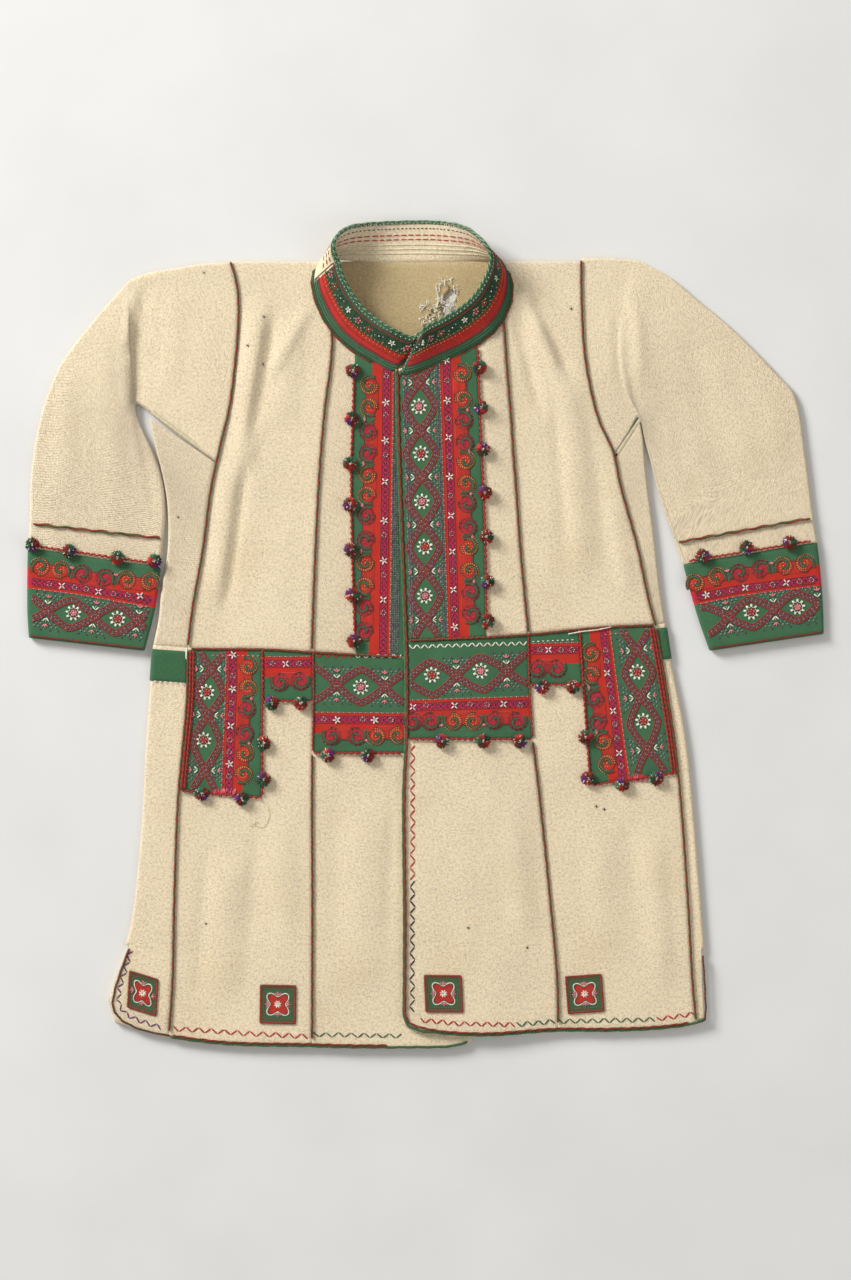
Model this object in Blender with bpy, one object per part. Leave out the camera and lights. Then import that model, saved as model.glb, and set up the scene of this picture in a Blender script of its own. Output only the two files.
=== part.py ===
"""A long-sleeved coat of thick cream wool, laid flat on its back with the
sleeves bent down beside it.

The frame is the coat's own: +X is the reader's right, +Y runs from the hem
to the collar, +Z is up from the surface that it rests on. The origin is at the
middle of the outline, on the surface. Tables are in millimetres.
"""

import math
from collections import namedtuple

import bmesh
import bpy
from mathutils import Vector

# Driving sizes in millimetres
WALL = 2.5
COLLAR_WALL = 2.6
CUFF_WALL = 3.0
APPLIQUE = 1.0
TRIM = 1.4
GAP = 0.3
SEAM = 0.5
BACK_SEAM = 0.9
HOLLOW = 1.5
FRONT_TOP = WALL + HOLLOW + WALL
EDGE_RADIUS = FRONT_TOP / 2
OVERLAP_RISE = WALL + APPLIQUE + 2 * GAP + 0.2
OVERLAP_END_X = 66.0
SHOULDER_Y = 391.5
SHOULDER_RETURN = 20.0
COLLAR_HEIGHT = 42.0
CORD_RADIUS = 1.3
BAND_INSET = 3.6
LOCK_REACH = 7.6
LOCK_ROOT = 4.2
LOCKS_PER_POMPON = 6
SQUARE = 36.0

# Seams and edges of the upper body, from the shoulder down to the waist
LeftRow = namedtuple("LeftRow", "y armhole princess")
LEFT_UPPER = (
    LeftRow(391, -204.4, -106.0),
    LeftRow(367, -198.0, -111.0),
    LeftRow(346, -196.2, -106.5),
    LeftRow(318, -196.9, -98.6),
    LeftRow(288, -199.4, -99.2),
    LeftRow(238, -205.8, -105.5),
    LeftRow(198, -215.4, -109.2),
    LeftRow(152, -225.2, -112.4),
    LeftRow(89, -233.6, -115.5),
    LeftRow(24, -245.0, -118.1),
    LeftRow(-14, -249.4, -119.2),
)
RightRow = namedtuple("RightRow", "y princess armhole")
RIGHT_UPPER = (
    RightRow(391, 76.5, 163.3),
    RightRow(369, 83.0, 163.3),
    RightRow(340, 82.0, 164.0),
    RightRow(299, 84.0, 166.4),
    RightRow(270, 86.1, 170.6),
    RightRow(225, 89.8, 181.7),
    RightRow(191, 91.9, 197.0),
    RightRow(159, 94.5, 203.7),
    RightRow(92, 99.2, 222.1),
    RightRow(29, 105.0, 235.7),
    RightRow(10, 107.0, 241.2),
)

# Seams and edges of the skirt, from the waist down to the hem
SkirtRow = namedtuple("SkirtRow", "y princess side")
LEFT_SKIRT = (
    SkirtRow(-12, -118.1, -249.0),
    SkirtRow(-69, -117.6, -250.4),
    SkirtRow(-123, -118.7, -255.2),
    SkirtRow(-171, -119.2, -259.4),
    SkirtRow(-279, -118.7, -263.6),
    SkirtRow(-368, -118.9, -265.6),
    SkirtRow(-434, -119.2, -270.4),
)
RIGHT_SKIRT = (
    SkirtRow(12, 107.6, 241.0),
    SkirtRow(-56, 109.2, 252.5),
    SkirtRow(-114, 112.9, 261.4),
    SkirtRow(-163, 118.7, 266.7),
    SkirtRow(-279, 130.7, 275.1),
    SkirtRow(-368, 138.4, 280.2),
    SkirtRow(-420, 139.0, 285.1),
)

# Front edges: the upper front's, and the one that lies hidden under it
EdgeRow = namedtuple("EdgeRow", "y upper under")
FRONT_EDGE = (
    EdgeRow(300, -31.6, 38.0),
    EdgeRow(213, -29.9, 39.0),
    EdgeRow(120, -26.8, 40.5),
    EdgeRow(13, -22.6, 42.0),
    EdgeRow(-56, -21.0, 43.0),
    EdgeRow(-114, -21.4, 43.5),
    EdgeRow(-163, -23.6, 44.0),
    EdgeRow(-300, -22.8, 46.0),
    EdgeRow(-434, -23.6, 47.8),
)

# Outer edges of the two chest bands
BandRow = namedtuple("BandRow", "y left right")
CHEST_BANDS = (
    BandRow(310, -73.5, 53.5),
    BandRow(250, -74.5, 55.5),
    BandRow(170, -77.0, 59.0),
    BandRow(90, -76.0, 62.0),
    BandRow(-20, -72.5, 63.0),
)

# Lines across the garment: a height y for each place x along them
LineRow = namedtuple("LineRow", "x y")
NECK_LEFT = (
    LineRow(-97.5, 321.0),
    LineRow(-76.1, 306.1),
    LineRow(-56.2, 294.0),
    LineRow(-32.0, 283.5),
    LineRow(4.7, 286.5),
    LineRow(38.3, 299.0),
)
NECK_RIGHT = (
    LineRow(-31.5, 276.7),
    LineRow(-12.1, 281.9),
    LineRow(13.1, 292.4),
    LineRow(38.3, 304.0),
    LineRow(57.2, 315.0),
    LineRow(82.0, 334.0),
)
WAIST_LEFT = (
    LineRow(-286.0, -11.0),
    LineRow(-249.4, -14.0),
    LineRow(-163.3, -15.2),
    LineRow(-119.2, -18.0),
    LineRow(-23.6, -22.6),
    LineRow(47.8, -21.5),
)
WAIST_RIGHT = (
    LineRow(-21.5, -5.8),
    LineRow(57.2, -2.6),
    LineRow(107.6, 0.5),
    LineRow(183.2, 7.9),
    LineRow(252.0, 11.0),
)
HEM_LEFT = (
    LineRow(-332.3, -391.0),
    LineRow(-322.0, -404.0),
    LineRow(-301.9, -415.0),
    LineRow(-269.3, -422.6),
    LineRow(-212.6, -430.0),
    LineRow(-119.2, -432.6),
    LineRow(-92.9, -433.4),
    LineRow(-12.1, -433.6),
    LineRow(30.0, -432.1),
    LineRow(47.8, -427.0),
)
HEM_RIGHT = (
    LineRow(-23.6, -407.0),
    LineRow(-14.2, -413.8),
    LineRow(12.1, -418.2),
    LineRow(60.4, -421.0),
    LineRow(138.1, -416.3),
    LineRow(193.7, -416.3),
    LineRow(253.6, -413.2),
    LineRow(281.9, -408.5),
    LineRow(296.0, -402.7),
)

# Folded outer edges of the side panels and gores, section by section from the
# top down: how high up the section leaves the seam, and where its fold lies
SideRow = namedtuple("SideRow", "seam_y fold_x fold_y")
SIDE_LEFT = (
    SideRow(178.6, -289.5, 227.0),
    SideRow(164.0, -286.4, 211.0),
    SideRow(146.0, -282.8, 194.0),
    SideRow(125.0, -277.0, 172.0),
    SideRow(105.0, -271.4, 142.0),
    SideRow(82.0, -269.9, 110.0),
    SideRow(58.0, -271.6, 80.0),
    SideRow(34.0, -277.2, 46.0),
    SideRow(10.0, -280.2, 16.0),
    SideRow(-13.6, -285.6, -10.6),
)
SIDE_RIGHT = (
    SideRow(184.0, 225.4, 222.0),
    SideRow(158.0, 228.4, 204.0),
    SideRow(136.0, 230.2, 180.0),
    SideRow(118.0, 233.6, 150.0),
    SideRow(98.0, 238.0, 118.0),
    SideRow(76.0, 241.6, 88.0),
    SideRow(52.0, 244.8, 58.0),
    SideRow(27.0, 248.2, 32.0),
    SideRow(10.8, 251.4, 12.0),
)
GORE_LEFT = (
    SideRow(-14.2, -286.0, -11.4),
    SideRow(-54.0, -288.6, -52.0),
    SideRow(-119.0, -293.6, -118.0),
    SideRow(-179.0, -296.4, -178.0),
    SideRow(-232.0, -300.4, -232.0),
    SideRow(-290.0, -306.8, -290.0),
    SideRow(-328.0, -315.0, -326.0),
    SideRow(-368.0, -328.6, -360.0),
    SideRow(-398.0, -336.2, -384.0),
    SideRow(-422.8, -330.0, -404.5),
)
GORE_RIGHT = (
    SideRow(10.2, 251.8, 11.4),
    SideRow(-30.0, 257.8, -29.0),
    SideRow(-83.0, 269.0, -83.0),
    SideRow(-132.0, 276.4, -132.0),
    SideRow(-190.0, 281.8, -190.0),
    SideRow(-255.0, 287.2, -255.0),
    SideRow(-330.0, 292.8, -330.0),
    SideRow(-370.0, 294.0, -370.0),
    SideRow(-407.0, 295.6, -402.0),
)

# Sleeves: a row per section, from the armhole to the wrist, with the inner and
# outer ends, the share of the armhole's bow that it keeps, and the hollow at its
# middle
SleeveRow = namedtuple("SleeveRow", "inner_x inner_y outer_x outer_y bow hollow")
SLEEVE_LEFT = (
    SleeveRow(-223.0, 180.6, -205.0, 391.1, 1.0, 1.5),
    SleeveRow(-243.5, 195.4, -236.8, 388.6, 0.9, 2.2),
    SleeveRow(-264.0, 210.4, -266.2, 384.0, 0.7, 2.0),
    SleeveRow(-284.5, 227.6, -289.3, 380.0, 0.4, 1.2),
    SleeveRow(-301.5, 242.0, -306.5, 374.0, -0.2, 1.0),
    SleeveRow(-302.9, 234.7, -312.0, 370.0, -0.15, 5.4),
    SleeveRow(-299.8, 221.0, -338.6, 340.7, -0.1, 4.6),
    SleeveRow(-292.4, 205.3, -362.8, 311.3, 0.0, 3.6),
    SleeveRow(-285.1, 189.5, -383.8, 281.9, 0.0, 3.0),
    SleeveRow(-277.7, 168.5, -399.5, 243.1, 0.0, 3.0),
    SleeveRow(-274.0, 147.5, -409.0, 204.2, 0.0, 2.8),
    SleeveRow(-273.0, 122.3, -414.2, 162.2, 0.0, 2.4),
    SleeveRow(-274.8, 101.3, -415.3, 117.1, 0.0, 2.0),
    SleeveRow(-277.9, 70.4, -417.3, 91.4, 0.0, 1.8),
)
CUFF_LEFT = (
    SleeveRow(-277.9, 69.8, -417.4, 90.8, 0.0, 1.8),
    SleeveRow(-281.6, 38.0, -418.0, 56.0, 0.0, 1.8),
    SleeveRow(-287.6, 10.0, -417.8, 22.0, 0.0, 1.6),
    SleeveRow(-294.5, -16.3, -416.3, -2.6, 0.0, 1.6),
)
SLEEVE_RIGHT = (
    SleeveRow(201.0, 187.4, 163.9, 395.0, 1.0, 1.5),
    SleeveRow(209.0, 200.5, 184.3, 395.3, 1.0, 2.0),
    SleeveRow(216.8, 212.8, 200.0, 394.8, 1.0, 1.6),
    SleeveRow(224.6, 226.6, 214.0, 393.4, 1.2, 1.0),
    SleeveRow(229.4, 223.0, 228.0, 390.6, 1.4, 5.2),
    SleeveRow(231.4, 206.0, 258.8, 373.3, 0.7, 4.6),
    SleeveRow(234.6, 190.0, 286.1, 350.2, 0.3, 3.8),
    SleeveRow(238.2, 174.0, 315.5, 326.0, 0.0, 3.2),
    SleeveRow(243.0, 154.0, 342.8, 299.8, 0.0, 3.0),
    SleeveRow(249.0, 134.0, 368.0, 273.5, 0.0, 3.0),
    SleeveRow(255.4, 116.2, 388.8, 247.0, 0.0, 2.8),
    SleeveRow(259.4, 104.5, 398.5, 190.0, 0.0, 2.4),
    SleeveRow(262.0, 96.6, 406.9, 123.4, 0.0, 2.0),
    SleeveRow(270.4, 73.6, 411.1, 96.7, 0.0, 1.8),
)
CUFF_RIGHT = (
    SleeveRow(270.5, 73.0, 411.1, 96.1, 0.0, 1.8),
    SleeveRow(278.6, 42.0, 414.6, 64.0, 0.0, 1.8),
    SleeveRow(287.6, 12.0, 417.0, 32.0, 0.0, 1.6),
    SleeveRow(297.7, -16.3, 418.0, 1.6, 0.0, 1.6),
)

# Stand collar: a row per section round the neck, from the left front end, which
# lies under, round the back, to the right front end, which lies over it
CollarRow = namedtuple("CollarRow", "base_x base_y base_z top_x top_y")
COLLAR = (
    CollarRow(-9.0, 288.5, 7.2, 12.6, 320.0),
    CollarRow(-27.0, 281.4, 7.0, -6.0, 314.6),
    CollarRow(-35.4, 276.6, 6.9, -15.0, 311.0),
    CollarRow(-55.4, 287.4, 6.9, -36.0, 319.6),
    CollarRow(-75.4, 299.6, 6.9, -52.0, 329.6),
    CollarRow(-92.0, 314.6, 6.9, -66.0, 342.0),
    CollarRow(-103.4, 330.0, 6.9, -77.0, 356.0),
    CollarRow(-110.4, 344.0, 6.9, -84.5, 369.1),
    CollarRow(-115.0, 357.0, 6.9, -89.2, 380.0),
    CollarRow(-117.1, 371.2, 6.9, -92.0, 391.5),
    CollarRow(-115.0, 384.0, 6.9, -96.5, 401.0),
    CollarRow(-107.6, 393.4, 6.9, -96.0, 411.5),
    CollarRow(-94.0, 394.0, 4.0, -89.0, 421.5),
    CollarRow(-79.0, 393.6, 1.6, -76.0, 428.4),
    CollarRow(-53.0, 391.9, 0.0, -49.9, 432.0),
    CollarRow(-11.0, 391.9, 0.0, -11.0, 433.6),
    CollarRow(25.7, 391.9, 0.0, 20.0, 432.4),
    CollarRow(50.0, 393.4, 0.0, 41.5, 427.0),
    CollarRow(66.0, 394.0, 3.4, 53.6, 418.6),
    CollarRow(78.2, 393.6, 7.0, 63.0, 408.0),
    CollarRow(85.6, 382.0, 7.0, 68.2, 398.0),
    CollarRow(89.1, 369.1, 6.9, 68.6, 388.0),
    CollarRow(88.3, 352.0, 6.9, 64.6, 376.0),
    CollarRow(81.0, 333.0, 7.5, 56.0, 361.0),
    CollarRow(70.0, 319.0, 11.0, 47.0, 350.0),
    CollarRow(57.2, 308.6, 11.2, 35.0, 340.2),
    CollarRow(38.3, 297.4, 11.2, 17.5, 329.6),
    CollarRow(13.1, 286.0, 11.2, 0.0, 320.6),
    CollarRow(-12.1, 276.0, 11.2, -5.0, 314.0),
    CollarRow(-27.6, 273.0, 11.2, -7.0, 309.6),
)

# Largest folds: the ridge line, its rise and the half width of its foot
FoldRow = namedtuple("FoldRow", "top_x top_y end_x end_y rise spread")
FOLDS = (
    FoldRow(-172.0, 366.0, -196.0, 150.0, 6.0, 21.0),
    FoldRow(-203.0, 190.0, -222.0, 20.0, 3.5, 16.0),
    FoldRow(-140.0, 345.0, -152.0, 210.0, 2.4, 22.0),
    FoldRow(112.0, 352.0, 150.0, 215.0, 3.2, 20.0),
    FoldRow(150.0, 300.0, 166.0, 40.0, 3.6, 20.0),
    FoldRow(196.0, 150.0, 214.0, 30.0, 2.4, 13.0),
    FoldRow(-205.0, -210.0, -214.0, -400.0, 2.8, 26.0),
    FoldRow(-150.0, -180.0, -148.0, -350.0, 2.2, 22.0),
    FoldRow(-60.0, -160.0, -66.0, -380.0, 2.4, 28.0),
    FoldRow(180.0, -180.0, 188.0, -345.0, 2.4, 24.0),
    FoldRow(236.0, -190.0, 250.0, -380.0, 2.6, 18.0),
    FoldRow(92.0, -170.0, 100.0, -330.0, 1.8, 18.0),
)

# Corner squares: centre of each, its half sides and how far it leans
SquareRow = namedtuple("SquareRow", "name x y half_width half_height lean")
SQUARES = (
    SquareRow("square_gore_left", -297.4, -377.0, 14.6, 20.0, -0.17),
    SquareRow("square_left", -154.8, -387.8, 18.6, 20.0, 0.01),
    SquareRow("square_centre", 18.9, -376.4, 19.4, 19.4, -0.02),
    SquareRow("square_right", 167.0, -376.4, 19.2, 19.2, 0.04),
)

# Split in the upper back seen through the neck
RIP_X, RIP_Y = 24.7, 347.5
RIP_HALF_WIDTH, RIP_HALF_LENGTH = 6.3, 15.8


def smooth(share):
    share = min(1.0, max(0.0, share))
    return share * share * (3 - 2 * share)


def curve(rows, key, field):
    """The field as a smooth function of the key, through every row."""
    knots = sorted((getattr(row, key), getattr(row, field)) for row in rows)
    keys = [knot[0] for knot in knots]
    values = [knot[1] for knot in knots]
    steps = [(values[i + 1] - values[i]) / (keys[i + 1] - keys[i]) for i in range(len(keys) - 1)]
    slopes = [steps[0]]
    slopes += [(steps[i] + steps[i + 1]) / 2 for i in range(len(steps) - 1)]
    slopes.append(steps[-1])

    def value(at):
        if at <= keys[0]:
            return values[0] + slopes[0] * (at - keys[0])
        if at >= keys[-1]:
            return values[-1] + slopes[-1] * (at - keys[-1])
        i = max(j for j in range(len(keys) - 1) if keys[j] <= at)
        span = keys[i + 1] - keys[i]
        t = (at - keys[i]) / span
        return (
            (2 * t**3 - 3 * t**2 + 1) * values[i]
            + (t**3 - 2 * t**2 + t) * span * slopes[i]
            + (3 * t**2 - 2 * t**3) * values[i + 1]
            + (t**3 - t**2) * span * slopes[i + 1]
        )

    return value


def moved(function, by):
    return lambda at: function(at) + by


def between(first, last, share):
    return lambda at: first(at) * (1 - share) + last(at) * share


def level(value):
    return lambda at: value


armhole_left = curve(LEFT_UPPER, "y", "armhole")
princess_left = curve(LEFT_UPPER, "y", "princess")
armhole_right = curve(RIGHT_UPPER, "y", "armhole")
princess_right = curve(RIGHT_UPPER, "y", "princess")
skirt_princess_left = curve(LEFT_SKIRT, "y", "princess")
skirt_side_left = curve(LEFT_SKIRT, "y", "side")
skirt_princess_right = curve(RIGHT_SKIRT, "y", "princess")
skirt_side_right = curve(RIGHT_SKIRT, "y", "side")
upper_edge = curve(FRONT_EDGE, "y", "upper")
under_edge = curve(FRONT_EDGE, "y", "under")
chest_left = curve(CHEST_BANDS, "y", "left")
chest_right = curve(CHEST_BANDS, "y", "right")
neck_left = curve(NECK_LEFT, "x", "y")
neck_right = curve(NECK_RIGHT, "x", "y")
waist_left = curve(WAIST_LEFT, "x", "y")
waist_right = curve(WAIST_RIGHT, "x", "y")
hem_left = curve(HEM_LEFT, "x", "y")
hem_right = curve(HEM_RIGHT, "x", "y")


def fold_rise(x, y):
    """Height that the folds add at a place."""
    total = 0.0
    for fold in FOLDS:
        run_x = fold.end_x - fold.top_x
        run_y = fold.end_y - fold.top_y
        length = math.hypot(run_x, run_y)
        along = ((x - fold.top_x) * run_x + (y - fold.top_y) * run_y) / length**2
        across = abs((x - fold.top_x) * run_y - (y - fold.top_y) * run_x) / length
        if 0 < along < 1 and across < fold.spread:
            ends = smooth(along / 0.25) * smooth((1 - along) / 0.25)
            total += fold.rise * ends * (1 - (across / fold.spread) ** 2) ** 2
    return total


def left_height(x, y):
    return FRONT_TOP + fold_rise(x, y)


def right_height(x, y):
    """The upper front steps up over the one beneath it and is back down at
    the princess seam."""
    foot = princess_right(y) if y > 0 else skirt_princess_right(y)
    share = 1 - min(1.0, max(0.0, (x - OVERLAP_END_X) / (foot - OVERLAP_END_X)))
    return FRONT_TOP + OVERLAP_RISE * share + fold_rise(x, y)


def floor_height(x, y):
    return WALL


class Panel:
    """The outer face of a flat panel, on named columns x(y) and rows y(x)."""

    def __init__(self, columns, rows, height):
        self.columns = [name for name, _, _ in columns]
        self.rows = [name for name, _ in rows]
        self.points = []
        for _, row in rows:
            line = []
            for _, column, gap in columns:
                x = column(row(0.0)) + gap
                for _ in range(4):
                    y = row(x)
                    x = column(y) + gap
                line.append((x, y, height(x, y)))
            self.points.append(line)

    def block(self, left, right, top, bottom, lift):
        first, last = self.columns.index(left), self.columns.index(right)
        start, end = self.rows.index(top), self.rows.index(bottom)
        return [
            [(x, y, z + lift) for x, y, z in line[first : last + 1]]
            for line in self.points[start : end + 1]
        ]


def columns_of(*named, gap_first=0.0, gap_last=0.0):
    """Columns with the steps asked for between each two named ones."""
    found = []
    for i, (name, column, steps) in enumerate(named):
        gap = gap_first if i == 0 else gap_last if i == len(named) - 1 else 0.0
        found.append((name, column, gap))
        if i + 1 < len(named):
            for step in range(1, steps):
                share = step / steps
                found.append(("", between(column, named[i + 1][1], share), 0.0))
    return found


def rows_of(*named):
    """Rows with the steps asked for between each two named ones."""
    found = []
    for i, (name, row, steps) in enumerate(named):
        found.append((name, row))
        if i + 1 < len(named):
            for step in range(1, steps):
                found.append(("", between(row, named[i + 1][1], step / steps)))
    return found


def collection_named(name, helper):
    made = bpy.data.collections.new(name)
    bpy.context.scene.collection.children.link(made)
    made.hide_render = helper
    return made


def dyed(name, colour, roughness):
    material = bpy.data.materials.new(name)
    material.use_nodes = True
    shader = material.node_tree.nodes["Principled BSDF"]
    shader.inputs["Base Color"].default_value = (*colour, 1.0)
    shader.inputs["Roughness"].default_value = roughness
    shader.inputs["Metallic"].default_value = 0.0
    material.diffuse_color = (*colour, 1.0)
    return material


def add_mesh(name, points, faces, material, collection):
    mesh = bpy.data.meshes.new(name)
    mesh.from_pydata([(x * 0.001, y * 0.001, z * 0.001) for x, y, z in points], [], faces)
    shape = bmesh.new()
    shape.from_mesh(mesh)
    bmesh.ops.recalc_face_normals(shape, faces=shape.faces)
    shape.to_mesh(mesh)
    shape.free()
    made = bpy.data.objects.new(name, mesh)
    made.data.materials.append(material)
    collection.objects.link(made)
    return made


def wall_between(name, outer, inner, material, ring=False):
    """Closed cloth wall between two like grids of points."""
    rows, width = len(outer), len(outer[0])
    points = [p for line in outer for p in line] + [p for line in inner for p in line]
    under = rows * width
    faces = []
    last = width if ring else width - 1
    for r in range(rows - 1):
        for c in range(last):
            a, b = r * width + c, r * width + (c + 1) % width
            faces.append((a, b, b + width, a + width))
            faces.append((under + a + width, under + b + width, under + b, under + a))
    for c in range(last):
        for r in (0, rows - 1):
            a, b = r * width + c, r * width + (c + 1) % width
            faces.append((b, a, under + a, under + b) if r == 0 else (a, b, under + b, under + a))
    if not ring:
        for r in range(rows - 1):
            for c in (0, width - 1):
                a, b = r * width + c, (r + 1) * width + c
                faces.append((a, b, under + b, under + a) if c == 0 else (b, a, under + a, under + b))
    return add_mesh(name, points, faces, material, coat)


def lowered(grid, by):
    return [[(x, y, z - by) for x, y, z in line] for line in grid]


def cloth(name, grid, wall, material):
    return wall_between(name, grid, lowered(grid, wall), material)


def overlay(name, grid, material, thickness=APPLIQUE):
    """A piece that lies on a panel: its points moved out, then given a wall."""
    return wall_between(name, lowered(grid, -GAP - thickness), lowered(grid, -GAP), material)


# Wools, cloths and yarns
bpy.context.scene.unit_settings.system = "METRIC"
for old in list(bpy.data.objects):
    bpy.data.objects.remove(old, do_unlink=True)
coat = collection_named("coat", False)
cutters = collection_named("cutters", True)
wool = dyed("cream_wool", (0.80, 0.70, 0.48), 0.95)
green_cloth = dyed("green_cloth", (0.058, 0.195, 0.08), 0.9)
red_cloth = dyed("red_cloth", (0.60, 0.03, 0.014), 0.9)
brown_cord = dyed("brown_cord", (0.16, 0.042, 0.012), 0.85)
dark_yarn = dyed("dark_red_yarn", (0.14, 0.022, 0.016), 0.95)

# Upper back: its own flat panel up to the neck, between the two shoulder ends
RETURN_Y = SHOULDER_Y - SHOULDER_RETURN
back_columns = [
    ("left", armhole_left, BACK_SEAM),
    ("", level(-110.4), 0.0),
    ("", level(-105.4), 0.0),
    ("", level(-60.0), 0.0),
    ("", level(-14.0), 0.0),
    ("", level(30.0), 0.0),
    ("", level(76.0), 0.0),
    ("", level(81.8), 0.0),
    ("right", armhole_right, -BACK_SEAM),
]


def back_top(x):
    return SHOULDER_Y - 0.6 if -108.0 < x < 79.0 else RETURN_Y - GAP


def back_waist(x):
    return 2.0 - 0.004 * x


def back_hem(x):
    share = (x + 270.0) / 555.0
    return -421.0 + 13.0 * share - 7.0 * math.sin(math.pi * share)


back = Panel(
    back_columns,
    rows_of(("top", back_top, 14), ("waist", moved(back_waist, GAP / 2), 0)),
    floor_height,
)
back_upper = cloth("back_upper", back.points, WALL, wool)
back_low = Panel(
    [
        ("left", skirt_side_left, BACK_SEAM),
        ("", level(-130.0), 0.0),
        ("", level(0.0), 0.0),
        ("", level(130.0), 0.0),
        ("right", skirt_side_right, -BACK_SEAM),
    ],
    rows_of(("waist", moved(back_waist, -GAP / 2), 6), ("hem", back_hem, 0)),
    floor_height,
)
cloth("back_skirt", back_low.points, WALL, wool)

# The rip is cut through the upper back
RIP_SIDES = 14
rip_ring = []
for step in range(RIP_SIDES):
    angle = 2 * math.pi * step / RIP_SIDES
    ragged = 1 + 0.17 * math.sin(3 * angle + 0.6) + 0.1 * math.sin(7 * angle)
    rip_x = RIP_X + RIP_HALF_WIDTH * ragged * math.cos(angle) + 0.2 * RIP_HALF_LENGTH * math.sin(angle)
    rip_y = RIP_Y + RIP_HALF_LENGTH * ragged * math.sin(angle)
    rip_ring.append((rip_x, rip_y))


def prism(name, ring, bottom, top):
    """A cutter with the plan of the ring."""
    count = len(ring)
    points = [(x, y, bottom) for x, y in ring] + [(x, y, top) for x, y in ring]
    faces = [tuple(range(count - 1, -1, -1)), tuple(range(count, 2 * count))]
    faces += [(i, (i + 1) % count, count + (i + 1) % count, count + i) for i in range(count)]
    made = add_mesh(name, points, faces, wool, cutters)
    made.hide_render = True
    made.display_type = "WIRE"
    return made


def cut(target, cutter):
    made = target.modifiers.new("cut", "BOOLEAN")
    made.operation = "DIFFERENCE"
    made.solver = "EXACT"
    made.object = cutter


cut(back_upper, prism("rip_cutter", rip_ring, -5.0, WALL + 5.0))


def over_shoulder(grid, return_line):
    """Adds the fold over the shoulder and the return on the back to a strip
    whose first row ends one fold radius below the shoulder line. It gives the
    outer and inner grids."""
    outer, inner = [], []
    steps = 4
    back_outer, back_inner = [], []
    for x, y, z in return_line:
        back_outer.append((x, y, 0.0))
        back_inner.append((x, y, WALL))
    outer.append(back_outer)
    inner.append(back_inner)
    for step in range(steps + 1):
        angle = -math.pi / 2 + math.pi * step / steps
        line_out, line_in = [], []
        for x, y, z in grid[0]:
            radius = z / 2
            reach = math.cos(angle)
            rise = math.sin(angle)
            line_out.append((x, y + radius * reach, radius + radius * rise))
            line_in.append((x, y + (radius - WALL) * reach, radius + (radius - WALL) * rise))
        outer.append(line_out)
        inner.append(line_in)
    outer += grid[1:]
    inner += lowered(grid[1:], WALL)
    return outer, inner


# Front side strips run from the waist over the shoulder to the back
SHOULDER_TOP = level(SHOULDER_Y - EDGE_RADIUS)
strip_columns_left = columns_of(
    ("armhole", armhole_left, 7), ("princess", princess_left, 0), gap_first=SEAM / 2, gap_last=-SEAM / 2
)
strip_columns_right = columns_of(
    ("princess", princess_right, 6), ("armhole", armhole_right, 0), gap_first=SEAM / 2, gap_last=-SEAM / 2
)
side_strip_left = Panel(
    strip_columns_left,
    rows_of(("top", SHOULDER_TOP, 19), ("waist", moved(waist_left, GAP / 2), 0)),
    left_height,
)
return_left = Panel(strip_columns_left, [("return", level(RETURN_Y))], floor_height)
wall_between("front_side_left", *over_shoulder(side_strip_left.points, return_left.points[0]), wool)
side_strip_right = Panel(
    strip_columns_right,
    rows_of(("top", SHOULDER_TOP, 19), ("waist", moved(waist_right, GAP / 2), 0)),
    lambda x, y: FRONT_TOP + fold_rise(x, y),
)
return_right = Panel(strip_columns_right, [("return", level(RETURN_Y))], floor_height)
wall_between("front_side_right", *over_shoulder(side_strip_right.points, return_right.points[0]), wool)

# Front centre panels, with columns where the chest bands and edgings lie
front_left = Panel(
    columns_of(
        ("princess", princess_left, 1),
        ("strip_out", moved(chest_left, -TRIM * 2 - GAP), 1),
        ("strip_in", moved(chest_left, -GAP), 1),
        ("band_out", chest_left, 3),
        ("band_in", moved(under_edge, -BAND_INSET), 1),
        ("edge", under_edge, 0),
        gap_first=SEAM / 2,
    ),
    rows_of(
        ("neck", neck_left, 1),
        ("band_top", moved(neck_left, -12.0), 14),
        ("waist", moved(waist_left, GAP / 2), 0),
    ),
    left_height,
)
cloth("front_centre_left", front_left.points, WALL, wool)
overlay("chest_band_left", front_left.block("band_out", "band_in", "band_top", "waist", 0.0), red_cloth)
front_right = Panel(
    columns_of(
        ("edge", upper_edge, 1),
        ("band_in", moved(upper_edge, BAND_INSET), 3),
        ("band_out", chest_right, 1),
        ("strip_in", moved(chest_right, GAP), 1),
        ("strip_out", level(OVERLAP_END_X), 1),
        ("princess", princess_right, 0),
        gap_last=-SEAM / 2,
    ),
    rows_of(
        ("neck", neck_right, 1),
        ("band_top", moved(neck_right, -12.0), 14),
        ("waist", moved(waist_right, GAP / 2), 0),
    ),
    right_height,
)
cloth("front_centre_right", front_right.points, WALL, wool)
overlay("chest_band_right", front_right.block("band_in", "band_out", "band_top", "waist", 0.0), green_cloth)


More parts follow.
